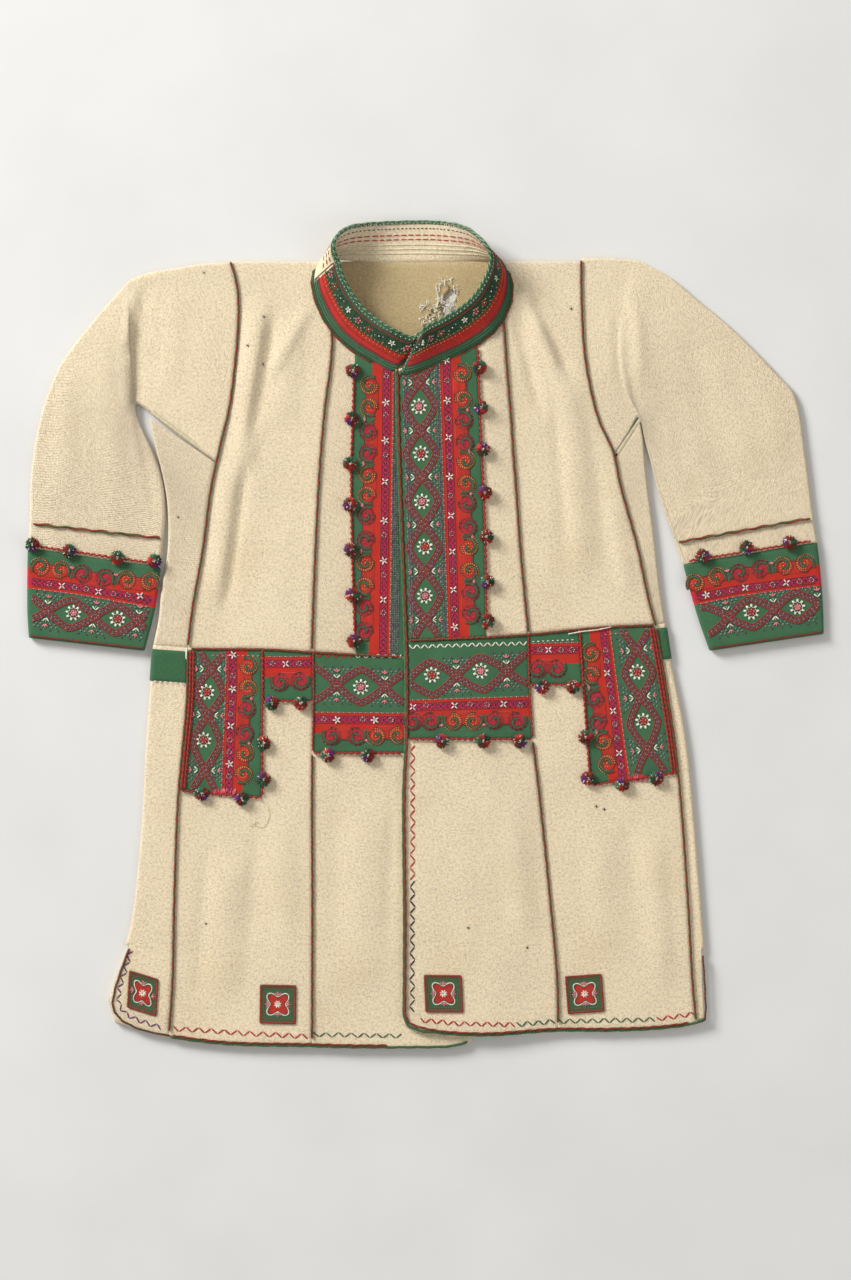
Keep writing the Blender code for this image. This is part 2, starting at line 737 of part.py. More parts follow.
def side_fold(rows, seam, outward, height):
    """Sections of a panel folded round the side, from its seam on top, round
    the fold, back to its seam beneath. It gives the outer and inner grids."""
    top_steps, arc_steps, back_steps = 4, 4, 2
    outer, inner = [], []
    for row in rows:
        seam_x, seam_y = seam(row.seam_y) + outward * SEAM / 2, row.seam_y
        run_x, run_y = row.fold_x - seam_x, row.fold_y - seam_y
        length = math.hypot(run_x, run_y)
        dir_x, dir_y = run_x / length, run_y / length
        centre = length - EDGE_RADIUS
        line_out, line_in = [], []
        for step in range(top_steps):
            reach = centre * step / top_steps
            x, y = seam_x + dir_x * reach, seam_y + dir_y * reach
            z = height(x, y)
            line_out.append((x, y, z))
            line_in.append((x, y, z - WALL))
        for step in range(arc_steps + 1):
            angle = math.pi / 2 - math.pi * step / arc_steps
            for line, radius in ((line_out, EDGE_RADIUS), (line_in, EDGE_RADIUS - WALL)):
                reach = centre + radius * math.cos(angle)
                z = EDGE_RADIUS + radius * math.sin(angle)
                line.append((seam_x + dir_x * reach, seam_y + dir_y * reach, z))
        for step in range(1, back_steps + 1):
            reach = centre * (1 - step / back_steps)
            x, y = seam_x + dir_x * reach, seam_y + dir_y * reach
            line_out.append((x, y, 0.0))
            line_in.append((x, y, WALL))
        outer.append(line_out)
        inner.append(line_in)
    return outer, inner


wall_between("side_left", *side_fold(SIDE_LEFT, armhole_left, -1, left_height), wool)
wall_between("side_right", *side_fold(SIDE_RIGHT, armhole_right, 1, right_height), wool)
gore_left = wall_between("gore_left", *side_fold(GORE_LEFT, skirt_side_left, -1, left_height), wool)
gore_right = wall_between("gore_right", *side_fold(GORE_RIGHT, skirt_side_right, 1, right_height), wool)


def vent(name, rows, outward):
    """The fold is cut away from the vent's top to the hem, so that the front
    and the back of the gore part there."""
    inset = EDGE_RADIUS + 0.4
    ring = [(row.fold_x - outward * inset, row.fold_y) for row in rows]
    ring += [(rows[-1].fold_x - outward * inset, rows[-1].fold_y - 40.0)]
    ring += [(rows[-1].fold_x + outward * 20.0, rows[-1].fold_y - 40.0)]
    ring += [(rows[0].fold_x + outward * 20.0, rows[0].fold_y)]
    return prism(name, ring, -5.0, FRONT_TOP + 5.0)


cut(gore_left, vent("vent_left_cutter", GORE_LEFT[6:], -1))
cut(gore_right, vent("vent_right_cutter", GORE_RIGHT[6:], 1))

# Skirt fronts, with columns and rows where the sewn pieces lie
LOW_SMALL_LEFT = level(-68.8)
LOW_SMALL_RIGHT = level(-51.5)


def low_tall_left(x):
    return -162.6 - (x + 259.0) * 0.088


def low_tall_right(x):
    return -157.0 + (x - 173.7) * 0.145


def tall_right_edge(y):
    return 163.6 - (y + 9.0) * 0.068


skirt_centre_left = Panel(
    columns_of(
        ("princess", skirt_princess_left, 1),
        ("piece_left", moved(skirt_princess_left, 1.2), 4),
        ("piece_right", moved(under_edge, -BAND_INSET), 1),
        ("edge", under_edge, 0),
        gap_first=SEAM / 2,
    ),
    rows_of(
        ("waist", moved(waist_left, -GAP / 2), 1),
        ("piece_top", moved(waist_left, -2.0), 3),
        ("piece_low", level(-123.5), 8),
        ("hem", hem_left, 0),
    ),
    left_height,
)
cloth("skirt_centre_left", skirt_centre_left.points, WALL, wool)
overlay(
    "skirt_piece_centre_left",
    skirt_centre_left.block("piece_left", "piece_right", "piece_top", "piece_low", 0.0),
    red_cloth,
)
skirt_centre_right = Panel(
    columns_of(
        ("edge", upper_edge, 1),
        ("piece_left", moved(upper_edge, BAND_INSET), 3),
        ("step", level(OVERLAP_END_X), 2),
        ("piece_right", moved(skirt_princess_right, -0.6), 1),
        ("princess", skirt_princess_right, 0),
        gap_last=-SEAM / 2,
    ),
    rows_of(
        ("waist", moved(waist_right, -GAP / 2), 1),
        ("piece_top", moved(waist_right, -2.0), 3),
        ("piece_low", level(-108.6), 8),
        ("hem", hem_right, 0),
    ),
    right_height,
)
cloth("skirt_centre_right", skirt_centre_right.points, WALL, wool)
overlay(
    "skirt_piece_centre_right",
    skirt_centre_right.block("piece_left", "piece_right", "piece_top", "piece_low", 0.0),
    red_cloth,
)
skirt_side_panel_left = Panel(
    columns_of(
        ("side", skirt_side_left, 1),
        ("tall_left", moved(skirt_side_left, 2.0), 3),
        ("tall_right", level(-172.2), 1),
        ("small_left", level(-169.6), 2),
        ("small_right", moved(skirt_princess_left, -1.2), 1),
        ("princess", skirt_princess_left, 0),
        gap_first=SEAM / 2,
        gap_last=-SEAM / 2,
    ),
    rows_of(
        ("waist", moved(waist_left, -GAP / 2), 1),
        ("top", moved(waist_left, -2.0), 2),
        ("small_low", LOW_SMALL_LEFT, 3),
        ("tall_low", low_tall_left, 9),
        ("hem", hem_left, 0),
    ),
    left_height,
)
cloth("skirt_side_left", skirt_side_panel_left.points, WALL, wool)
overlay(
    "skirt_piece_tall_left",
    skirt_side_panel_left.block("tall_left", "tall_right", "top", "tall_low", 0.0),
    red_cloth,
)
overlay(
    "skirt_piece_small_left",
    skirt_side_panel_left.block("small_left", "small_right", "top", "small_low", 0.0),
    red_cloth,
)
skirt_side_panel_right = Panel(
    columns_of(
        ("princess", skirt_princess_right, 1),
        ("small_left", moved(skirt_princess_right, 0.6), 2),
        ("small_right", moved(tall_right_edge, -2.6), 1),
        ("tall_left", tall_right_edge, 3),
        ("tall_right", moved(skirt_side_right, -2.0), 1),
        ("side", skirt_side_right, 0),
        gap_first=SEAM / 2,
        gap_last=-SEAM / 2,
    ),
    rows_of(
        ("waist", moved(waist_right, -GAP / 2), 1),
        ("top", moved(waist_right, -2.0), 2),
        ("small_low", LOW_SMALL_RIGHT, 3),
        ("tall_low", low_tall_right, 9),
        ("hem", hem_right, 0),
    ),
    lambda x, y: FRONT_TOP + fold_rise(x, y),
)
cloth("skirt_side_right", skirt_side_panel_right.points, WALL, wool)
overlay(
    "skirt_piece_tall_right",
    skirt_side_panel_right.block("tall_left", "tall_right", "top", "tall_low", 0.0),
    red_cloth,
)
overlay(
    "skirt_piece_small_right",
    skirt_side_panel_right.block("small_left", "small_right", "top", "small_low", 0.0),
    red_cloth,
)


def sleeve_sections(rows, armhole, wall):
    """Outer and inner rings of a flattened sleeve, section by section. A ring
    starts at the inner end of the top, crosses to the outer end and comes back
    beneath."""
    top_steps, arc_steps, low_steps = 10, 2, 3
    first = rows[0]
    outer, inner = [], []
    for row in rows:
        start = Vector((row.inner_x, row.inner_y))
        end = Vector((row.outer_x, row.outer_y))
        radius = wall + HOLLOW / 2
        run = (end - start).length
        straight = (end - start) / run
        line_out, line_in = [], []

        def place(reach):
            share = reach / run
            seam_y = first.inner_y + (first.outer_y - first.inner_y) * share
            seam_x = first.inner_x + (first.outer_x - first.inner_x) * share
            bow = (armhole(seam_y) - seam_x) * row.bow
            return start + straight * reach + Vector((bow, 0.0))

        span = run - 2 * radius
        for step in range(top_steps + 1):
            share = step / top_steps
            spot = place(radius + span * share)
            swell = (row.hollow - HOLLOW) * math.sin(math.pi * share) ** 0.8
            z = 2 * radius + max(0.0, swell)
            line_out.append((spot.x, spot.y, z))
            line_in.append((spot.x, spot.y, z - wall))
        for step in range(1, arc_steps * 2):
            angle = math.pi / 2 - math.pi * step / (arc_steps * 2)
            for line, r in ((line_out, radius), (line_in, radius - wall)):
                spot = place(run - radius + r * math.cos(angle))
                line.append((spot.x, spot.y, radius + r * math.sin(angle)))
        for step in range(low_steps + 1):
            spot = place(radius + span * (1 - step / low_steps))
            line_out.append((spot.x, spot.y, 0.0))
            line_in.append((spot.x, spot.y, wall))
        for step in range(1, arc_steps * 2):
            angle = -math.pi / 2 - math.pi * step / (arc_steps * 2)
            for line, r in ((line_out, radius), (line_in, radius - wall)):
                spot = place(radius + r * math.cos(angle))
                line.append((spot.x, spot.y, radius + r * math.sin(angle)))
        outer.append(line_out)
        inner.append(line_in)
    return outer, inner


sleeve_left = sleeve_sections(SLEEVE_LEFT, moved(armhole_left, -SEAM), WALL)
sleeve_right = sleeve_sections(SLEEVE_RIGHT, moved(armhole_right, SEAM), WALL)
wall_between("sleeve_left", *sleeve_left, wool, ring=True)
wall_between("sleeve_right", *sleeve_right, wool, ring=True)
cuff_left = sleeve_sections(CUFF_LEFT, armhole_left, CUFF_WALL)
cuff_right = sleeve_sections(CUFF_RIGHT, armhole_right, CUFF_WALL)
wall_between("cuff_left", *cuff_left, red_cloth, ring=True)
wall_between("cuff_right", *cuff_right, red_cloth, ring=True)


def collar_wall():
    """Outer and inner grids of the stand collar: each section rises from the
    neck seam to the top edge, as long as the collar is high. The wall's inner
    face lies on the side of the neck."""
    bases, tops = [], []
    for row in COLLAR:
        base = Vector((row.base_x, row.base_y, row.base_z))
        plan = Vector((row.top_x - row.base_x, row.top_y - row.base_y, 0.0))
        rise = math.sqrt(max(0.0, COLLAR_HEIGHT**2 - plan.length**2))
        bases.append(base)
        tops.append(base + plan + Vector((0.0, 0.0, rise)))
    outer, inner = [], []
    steps = 2
    last = len(bases) - 1
    for i, (base, top) in enumerate(zip(bases, tops)):
        before, after = max(0, i - 1), min(last, i + 1)
        along = bases[after] + tops[after] - bases[before] - tops[before]
        inside = along.cross(top - base).normalized()
        lift = Vector((0.0, 0.0, max(0.0, -inside.z) * COLLAR_WALL))
        line_out, line_in = [], []
        for step in range(steps + 1):
            spot = base + lift + (top - base) * (step / steps)
            line_out.append(tuple(spot))
            line_in.append(tuple(spot + inside * COLLAR_WALL))
        outer.append(line_out)
        inner.append(line_in)
    return outer, inner


wall_between("collar", *collar_wall(), green_cloth)


# Corner squares above the hem
SQUARE_HEIGHTS = (left_height, left_height, right_height, left_height)
for square, height in zip(SQUARES, SQUARE_HEIGHTS):
    grid = []
    for up in (-1, 1):
        line = []
        for across in (-1, 1):
            y = square.y + up * square.half_height
            x = square.x + across * square.half_width + square.lean * up * square.half_height
            line.append((x, y, height(square.x, square.y)))
        grid.append(line)
    overlay(square.name, grid, green_cloth)


def side_band(name, rows, seam, outward, height):
    """Green band on the gore's top, from its seam to the folded edge."""
    outer, _ = side_fold(rows, seam, outward, height)
    keep = 4 + 2
    shares = (0.04, 0.35, 0.66, 0.96)
    faces_out, faces_in = [], []
    for share in shares:
        line_out, line_in = [], []
        for i in range(keep):
            a, b = Vector(outer[0][i]), Vector(outer[1][i])
            spot = a + (b - a) * share
            angle = math.pi / 2 if i < 4 else math.pi / 2 - math.pi * (i - 4) / 4
            away = Vector((outward * math.cos(angle), 0.0, math.sin(angle)))
            spot += Vector((outward * 1.8, 0.0, 0.0)) if i == 0 else Vector()
            line_out.append(tuple(spot + away * (GAP + APPLIQUE)))
            line_in.append(tuple(spot + away * GAP))
        faces_out.append(line_out)
        faces_in.append(line_in)
    wall_between(name, faces_out, faces_in, green_cloth)


side_band("side_band_left", GORE_LEFT[:2], skirt_side_left, -1, left_height)
side_band("side_band_right", GORE_RIGHT[:2], skirt_side_right, 1, left_height)


def cord(name, path):
    """Round cord laid along a path of points on the cloth."""
    lift = GAP + 0.25 + CORD_RADIUS
    data = bpy.data.curves.new(name, "CURVE")
    data.dimensions = "3D"
    data.bevel_depth = CORD_RADIUS * 0.001
    data.bevel_resolution = 0
    data.use_fill_caps = True
    spline = data.splines.new("POLY")
    spline.points.add(len(path) - 1)
    for point, (x, y, z) in zip(spline.points, path):
        point.co = (x * 0.001, y * 0.001, (z + lift) * 0.001, 1.0)
    data.materials.append(brown_cord)
    made = bpy.data.objects.new(name, data)
    coat.objects.link(made)
    return made


def down_seam(seam, height, top, bottom, steps, inset=0.0):
    """Points down a seam between two heights y."""
    found = []
    for step in range(steps + 1):
        y = top + (bottom - top) * step / steps
        x = seam(y) + inset
        found.append((x, y, height(x, y)))
    return found


# Cords over the seams and along the edges
def side_height(x, y):
    return FRONT_TOP + fold_rise(x, y)


cord("cord_armhole_left", down_seam(armhole_left, left_height, 386.0, -11.5, 26))
cord("cord_armhole_right", down_seam(armhole_right, side_height, 386.0, 9.0, 26))
cord("cord_princess_left", down_seam(princess_left, left_height, 312.0, -15.5, 16))
cord("cord_princess_right", down_seam(princess_right, side_height, 324.0, 2.5, 18))
cord("cord_side_left", down_seam(skirt_side_left, left_height, -17.0, -416.0, 18))
cord("cord_side_right", down_seam(skirt_side_right, side_height, 6.0, -404.0, 20))
cord("cord_skirt_left", down_seam(skirt_princess_left, left_height, -126.0, -424.0, 16))
cord("cord_skirt_right", down_seam(skirt_princess_right, side_height, -113.0, -407.0, 16))

EDGE_INSET = 2.0
edge_path = down_seam(upper_edge, right_height, 268.0, -399.0, 26, EDGE_INSET)
corner = ((-17.6, -406.6), (-9.0, -410.8))
edge_path += [(x, y, right_height(x, y)) for x, y in corner]
hem_right_xs = (12.0, 36.0, 60.0, OVERLAP_END_X, 90.0, 115.0, 136.0, 140.0)
hem_right_xs += (170.0, 200.0, 230.0, 258.0, 276.0)
edge_path += [(x, hem_right(x) + 3.0, right_height(x, hem_right(x) + 3.0)) for x in hem_right_xs]
cord("cord_front_edge", edge_path)
hem_left_xs = (-265.5, -240.0, -210.0, -180.0, -150.0, -122.0, -116.0, -92.0, -66.0, -40.0)
cord(
    "cord_hem_left",
    [(x, hem_left(x) + 3.0, left_height(x, hem_left(x) + 3.0)) for x in hem_left_xs],
)


def neck_cord(name, rows):
    """Cord round the foot of the collar, outside it."""
    path = []
    for row in rows:
        plan = Vector((row.base_x - row.top_x, row.base_y - row.top_y)).normalized()
        reach = CORD_RADIUS + GAP + 0.9
        path.append((row.base_x + plan.x * reach, row.base_y + plan.y * reach, row.base_z - 0.3))
    return cord(name, path)


neck_cord("cord_neck_left", COLLAR[3:11])
neck_cord("cord_neck_right", COLLAR[20:30])


def across_sleeve(sections, start, share):
    """Points across the top of a sleeve, a share of the way between the section
    and the next one."""
    found = []
    for a, b in zip(sections[0][start][:11], sections[0][start + 1][:11]):
        found.append(tuple(Vector(a) + (Vector(b) - Vector(a)) * share))
    return found


cord("cord_sleeve_left", across_sleeve(sleeve_left, 12, 0.02))
cord("cord_sleeve_right", across_sleeve(sleeve_right, 12, 0.02))


def pompon_strip(name, path, pompons):
    """Narrow edging on a path of points on the cloth, with a pompon of six
    yarn locks at each place named."""
    spots = [Vector(point) for point in path]
    lengths = [0.0]
    for a, b in zip(spots, spots[1:]):
        lengths.append(lengths[-1] + (b - a).length)

    def spot_at(s):
        i = max(j for j in range(len(lengths) - 1) if lengths[j] <= s + 1e-9)
        return spots[i] + (spots[i + 1] - spots[i]) * ((s - lengths[i]) / (lengths[i + 1] - lengths[i]))

    stations = [(length, False) for length in lengths]
    for x, y in pompons:
        nearest = min(
            (j * lengths[-1] / 400 for j in range(401)),
            key=lambda s: (spot_at(s).xy - Vector((x, y))).length,
        )
        centre = min(lengths[-1] - LOCK_ROOT, max(LOCK_ROOT, nearest))
        low, high = centre - LOCK_ROOT / 2, centre + LOCK_ROOT / 2
        stations = [one for one in stations if not low - 1.0 < one[0] < high + 1.0]
        stations += [(low, True), (high, False)]
    stations.sort()
    ground = [spot_at(s) for s, _ in stations]
    strip = bmesh.new()
    rings = []
    for i, spot in enumerate(ground):
        ahead = ground[min(i + 1, len(ground) - 1)] - spot
        behind = spot - ground[max(i - 1, 0)]
        along = ahead.xy.normalized() + behind.xy.normalized()
        along.normalize()
        reach = (ahead.xy if i == 0 else behind.xy).normalized()
        miter = 1 / max(0.6, abs(reach.dot(along)))
        across = Vector((-along.y, along.x, 0.0)) * TRIM * miter
        ring = []
        for side, up in ((-1, GAP), (1, GAP), (1, GAP + TRIM), (-1, GAP + TRIM)):
            ring.append(strip.verts.new(spot + across * side + Vector((0.0, 0.0, up))))
        rings.append(ring)
    heads = []
    for (_, head), a, b in zip(stations, rings, rings[1:]):
        for i in range(4):
            face = strip.faces.new((a[i], a[(i + 1) % 4], b[(i + 1) % 4], b[i]))
            if head and i == 2:
                heads.append(face)
    strip.faces.new(rings[0][::-1])
    strip.faces.new(rings[-1])
    bmesh.ops.recalc_face_normals(strip, faces=strip.faces)
    for head in heads:
        for rise in (0.4, 2.6):
            head = bmesh.ops.extrude_discrete_faces(strip, faces=[head])["faces"][0]
            bmesh.ops.translate(strip, verts=head.verts, vec=(0.0, 0.0, rise))
        middle = head.calc_center_median()
        roots = [face for edge in head.edges for face in edge.link_faces if face is not head]
        halves = bmesh.ops.triangulate(strip, faces=[head])["faces"]
        for lock in bmesh.ops.extrude_discrete_faces(strip, faces=roots + halves)["faces"]:
            heart = lock.calc_center_median()
            flat = (heart - middle) * Vector((1.0, 1.0, 0.0))
            away = flat.normalized() * (LOCK_REACH - flat.length)
            upper = len(lock.verts) == 3
            away = away * 0.55 + Vector((0.0, 0.0, 4.2)) if upper else away + Vector((0.0, 0.0, 0.7))
            for vert in lock.verts:
                vert.co = heart + away + (vert.co - heart) * 0.5
    bmesh.ops.scale(strip, vec=(0.001, 0.001, 0.001), verts=strip.verts)
    mesh = bpy.data.meshes.new(name)
    strip.to_mesh(mesh)
    strip.free()
    made = bpy.data.objects.new(name, mesh)
    made.data.materials.append(dark_yarn)
    coat.objects.link(made)
    return made


def on(height, points):
    return [(x, y, height(x, y)) for x, y in points]


# Edgings with pompons: chest bands, skirt pieces and cuffs
EDGING = GAP + TRIM
CHEST_LEFT_YS = (276.7, 226.3, 179.0, 136.0, 88.7, 41.5, -6.8)
CHEST_RIGHT_YS = (279.8, 237.8, 193.7, 148.6, 102.4, 55.1, 14.2)
chest_left_line = [
    (chest_left(y) - EDGING, y) for y in (284.0, 250.0, 210.0, 170.0, 130.0, 90.0, 50.0, 15.0, -14.0)
]
pompon_strip(
    "pompons_chest_left", on(left_height, chest_left_line), [(chest_left(y), y) for y in CHEST_LEFT_YS]
)
chest_right_line = [
    (chest_right(y) + EDGING, y) for y in (300.0, 250.0, 210.0, 170.0, 130.0, 90.0, 50.0, 4.0)
]
pompon_strip(
    "pompons_chest_right", on(right_height, chest_right_line), [(chest_right(y), y) for y in CHEST_RIGHT_YS]
)
small_left_y = LOW_SMALL_LEFT(0.0) - EDGING
pompon_strip(
    "pompons_small_left",
    on(left_height, [(-168.5, small_left_y), (-121.6, small_left_y)]),
    [(-161.0, small_left_y), (-130.6, small_left_y)],
)
tall_left_x = -172.2 + EDGING
pompon_strip(
    "pompons_tall_left_side",
    on(left_height, [(tall_left_x, -78.0), (tall_left_x, -120.0), (tall_left_x, -168.0)]),
    [(tall_left_x, -114.0), (tall_left_x, -152.0)],
)
pompon_strip(
    "pompons_tall_left_low",
    on(left_height, [(x, low_tall_left(x) - EDGING) for x in (-174.0, -200.0, -228.0, -254.0)]),
    [(-234.7, -166.0), (-192.7, -171.0)],
)
pompon_strip(
    "pompons_centre_left",
    on(left_height, [(-114.5, -123.5 - EDGING), (-70.0, -123.5 - EDGING), (-27.0, -123.5 - EDGING)]),
    [(-102.4, -127.0), (-60.4, -127.0)],
)
pompon_strip(
    "pompons_centre_right",
    on(
        right_height,
        [(x, -108.6 - EDGING) for x in (-15.0, 25.0, OVERLAP_END_X, 88.0, 108.0)],
    ),
    [(17.3, -111.0), (60.4, -111.0), (99.2, -111.0)],
)
small_right_y = LOW_SMALL_RIGHT(0.0) - EDGING
pompon_strip(
    "pompons_small_right",
    on(side_height, [(113.5, small_right_y), (161.0, small_right_y)]),
    [(122.3, small_right_y), (154.9, small_right_y)],
)
pompon_strip(
    "pompons_tall_right_side",
    on(side_height, [(tall_right_edge(y) - EDGING, y) for y in (-62.0, -100.0, -157.0)]),
    [(168.0, -107.6), (171.0, -150.7)],
)
pompon_strip(
    "pompons_tall_right_low",
    on(side_height, [(x, low_tall_right(x) - EDGING) for x in (177.0, 200.0, 230.0, 256.0)]),
    [(206.3, -155.0), (242.0, -149.0)],
)
pompon_strip(
    "pompons_cuff_left",
    across_sleeve(sleeve_left, 12, 0.88)[::-1],
    [(-412.0, 95.0), (-373.3, 88.7), (-322.9, 81.4), (-284.0, 78.0)],
)
pompon_strip(
    "pompons_cuff_right",
    across_sleeve(sleeve_right, 12, 0.86),
    [(290.3, 83.5), (336.5, 91.9), (381.7, 97.1)],
)
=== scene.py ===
"""Looks of a long-sleeved wool coat that lies flat on its back.

The tables and sizes are in millimetres in the coat's own frame: +X is the
reader's right, +Y runs from the hem to the collar, +Z is up from the surface
that it rests on. Meshes are written in metres. Marks of the needlework were
read off the photograph in pixels, and Mark turns them into the frame.
"""

import logging
import math
from dataclasses import dataclass, field
from enum import Enum
from typing import Any, Callable, NamedTuple, Optional, Sequence

import bpy
import numpy as np
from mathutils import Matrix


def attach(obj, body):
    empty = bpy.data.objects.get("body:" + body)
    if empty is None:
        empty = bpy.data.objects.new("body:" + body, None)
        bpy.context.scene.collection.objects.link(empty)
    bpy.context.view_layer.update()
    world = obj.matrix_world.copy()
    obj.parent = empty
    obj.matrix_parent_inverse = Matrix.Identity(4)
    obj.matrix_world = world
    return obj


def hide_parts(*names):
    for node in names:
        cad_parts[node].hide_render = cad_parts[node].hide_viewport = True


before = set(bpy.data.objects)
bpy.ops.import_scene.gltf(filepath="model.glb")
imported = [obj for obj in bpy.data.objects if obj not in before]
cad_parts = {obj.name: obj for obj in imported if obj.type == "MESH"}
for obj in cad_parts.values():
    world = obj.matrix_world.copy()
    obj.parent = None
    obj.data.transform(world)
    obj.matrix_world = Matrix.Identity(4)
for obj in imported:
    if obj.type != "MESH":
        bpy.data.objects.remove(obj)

Array = np.ndarray
Line = Callable[[Any], Array]
Field = Callable[[Array, Array], Array]
log = logging.getLogger("coat")

# Driving sizes, the same as the solids'
MM = 0.001
WALL = 2.5
COLLAR_WALL = 2.6
CUFF_WALL = 3.0
APPLIQUE = 1.0
GAP = 0.3
SEAM = 0.5
BACK_SEAM = 0.9
HOLLOW = 1.5
FRONT_TOP = WALL + HOLLOW + WALL
EDGE_RADIUS = FRONT_TOP / 2
OVERLAP_RISE = WALL + APPLIQUE + 2 * GAP + 0.2
OVERLAP_END_X = 66.0
SHOULDER_Y = 391.5
RETURN_Y = SHOULDER_Y - 20.0
COLLAR_HEIGHT = 42.0
CORD_RADIUS = 1.3
BAND_INSET = 3.6
NECK_INSET = 5.5
CUFF_FACE = 7.75
ON_CLOTH = GAP + APPLIQUE
PITCH = 3.9
BACK_PITCH = 7.0
LOW_SMALL_LEFT = -68.8
LOW_SMALL_RIGHT = -51.5
LOW_CENTRE_LEFT = -123.5
LOW_CENTRE_RIGHT = -108.6
TALL_LEFT_EDGE = -172.2

# The photograph: its middle, its scale and where its middle lies in the frame
PICTURE_MIDDLE = (425.5, 634.5)
PICTURE_PITCH = 1.05
PICTURE_HEIGHT = 1280
FRAME_DOWN = 640.0


class LeftRow(NamedTuple):
    """Seams of the left upper body at a height."""

    y: float
    armhole: float
    princess: float


LEFT_UPPER = (
    LeftRow(391, -204.4, -106.0),
    LeftRow(367, -198.0, -111.0),
    LeftRow(346, -196.2, -106.5),
    LeftRow(318, -196.9, -98.6),
    LeftRow(288, -199.4, -99.2),
    LeftRow(238, -205.8, -105.5),
    LeftRow(198, -215.4, -109.2),
    LeftRow(152, -225.2, -112.4),
    LeftRow(89, -233.6, -115.5),
    LeftRow(24, -245.0, -118.1),
    LeftRow(-14, -249.4, -119.2),
)


class RightRow(NamedTuple):
    """Seams of the right upper body at a height."""

    y: float
    princess: float
    armhole: float


RIGHT_UPPER = (
    RightRow(391, 76.5, 163.3),
    RightRow(369, 83.0, 163.3),
    RightRow(340, 82.0, 164.0),
    RightRow(299, 84.0, 166.4),
    RightRow(270, 86.1, 170.6),
    RightRow(225, 89.8, 181.7),
    RightRow(191, 91.9, 197.0),
    RightRow(159, 94.5, 203.7),
    RightRow(92, 99.2, 222.1),
    RightRow(29, 105.0, 235.7),
    RightRow(10, 107.0, 241.2),
)


class SkirtRow(NamedTuple):
    """Seams of the skirt at a height."""

    y: float
    princess: float
    side: float


LEFT_SKIRT = (
    SkirtRow(-12, -118.1, -249.0),
    SkirtRow(-69, -117.6, -250.4),
    SkirtRow(-123, -118.7, -255.2),
    SkirtRow(-171, -119.2, -259.4),
    SkirtRow(-279, -118.7, -263.6),
    SkirtRow(-368, -118.9, -265.6),
    SkirtRow(-434, -119.2, -270.4),
)
RIGHT_SKIRT = (
    SkirtRow(12, 107.6, 241.0),
    SkirtRow(-56, 109.2, 252.5),
    SkirtRow(-114, 112.9, 261.4),
    SkirtRow(-163, 118.7, 266.7),
    SkirtRow(-279, 130.7, 275.1),
    SkirtRow(-368, 138.4, 280.2),
    SkirtRow(-420, 139.0, 285.1),
)


class EdgeRow(NamedTuple):
    """Front edges at a height: the upper front's and the hidden one's."""

    y: float
    upper: float
    under: float


FRONT_EDGE = (
    EdgeRow(300, -31.6, 38.0),
    EdgeRow(213, -29.9, 39.0),
    EdgeRow(120, -26.8, 40.5),
    EdgeRow(13, -22.6, 42.0),
    EdgeRow(-56, -21.0, 43.0),
    EdgeRow(-114, -21.4, 43.5),
    EdgeRow(-163, -23.6, 44.0),
    EdgeRow(-300, -22.8, 46.0),
    EdgeRow(-434, -23.6, 47.8),
)


class BandRow(NamedTuple):
    """Outer edges of the two chest bands at a height."""

    y: float
    left: float
    right: float


CHEST_BANDS = (
    BandRow(310, -73.5, 53.5),
    BandRow(250, -74.5, 55.5),
    BandRow(170, -77.0, 59.0),
    BandRow(90, -76.0, 62.0),
    BandRow(-20, -72.5, 63.0),
)


class LineRow(NamedTuple):
    """A point of a line across the garment."""

    x: float
    y: float


NECK_LEFT = (
    LineRow(-97.5, 321.0),
    LineRow(-76.1, 306.1),
    LineRow(-56.2, 294.0),
    LineRow(-32.0, 283.5),
    LineRow(4.7, 286.5),
    LineRow(38.3, 299.0),
)
NECK_RIGHT = (
    LineRow(-31.5, 276.7),
    LineRow(-12.1, 281.9),
    LineRow(13.1, 292.4),
    LineRow(38.3, 304.0),
    LineRow(57.2, 315.0),
    LineRow(82.0, 334.0),
)
WAIST_LEFT = (
    LineRow(-286.0, -11.0),
    LineRow(-249.4, -14.0),
    LineRow(-163.3, -15.2),
    LineRow(-119.2, -18.0),
    LineRow(-23.6, -22.6),
    LineRow(47.8, -21.5),
)
WAIST_RIGHT = (
    LineRow(-21.5, -5.8),
    LineRow(57.2, -2.6),
    LineRow(107.6, 0.5),
    LineRow(183.2, 7.9),
    LineRow(252.0, 11.0),
)
HEM_LEFT = (
    LineRow(-332.3, -391.0),
    LineRow(-322.0, -404.0),
    LineRow(-301.9, -415.0),
    LineRow(-269.3, -422.6),
    LineRow(-212.6, -430.0),
    LineRow(-119.2, -432.6),
    LineRow(-92.9, -433.4),
    LineRow(-12.1, -433.6),
    LineRow(30.0, -432.1),
    LineRow(47.8, -427.0),
)
HEM_RIGHT = (
    LineRow(-23.6, -407.0),
    LineRow(-14.2, -413.8),
    LineRow(12.1, -418.2),
    LineRow(60.4, -421.0),
    LineRow(138.1, -416.3),
    LineRow(193.7, -416.3),
    LineRow(253.6, -413.2),
    LineRow(281.9, -408.5),
    LineRow(296.0, -402.7),
)


class SideRow(NamedTuple):
    """A section of a folded side: where it leaves the seam, and its fold."""

    seam_y: float
    fold_x: float
    fold_y: float


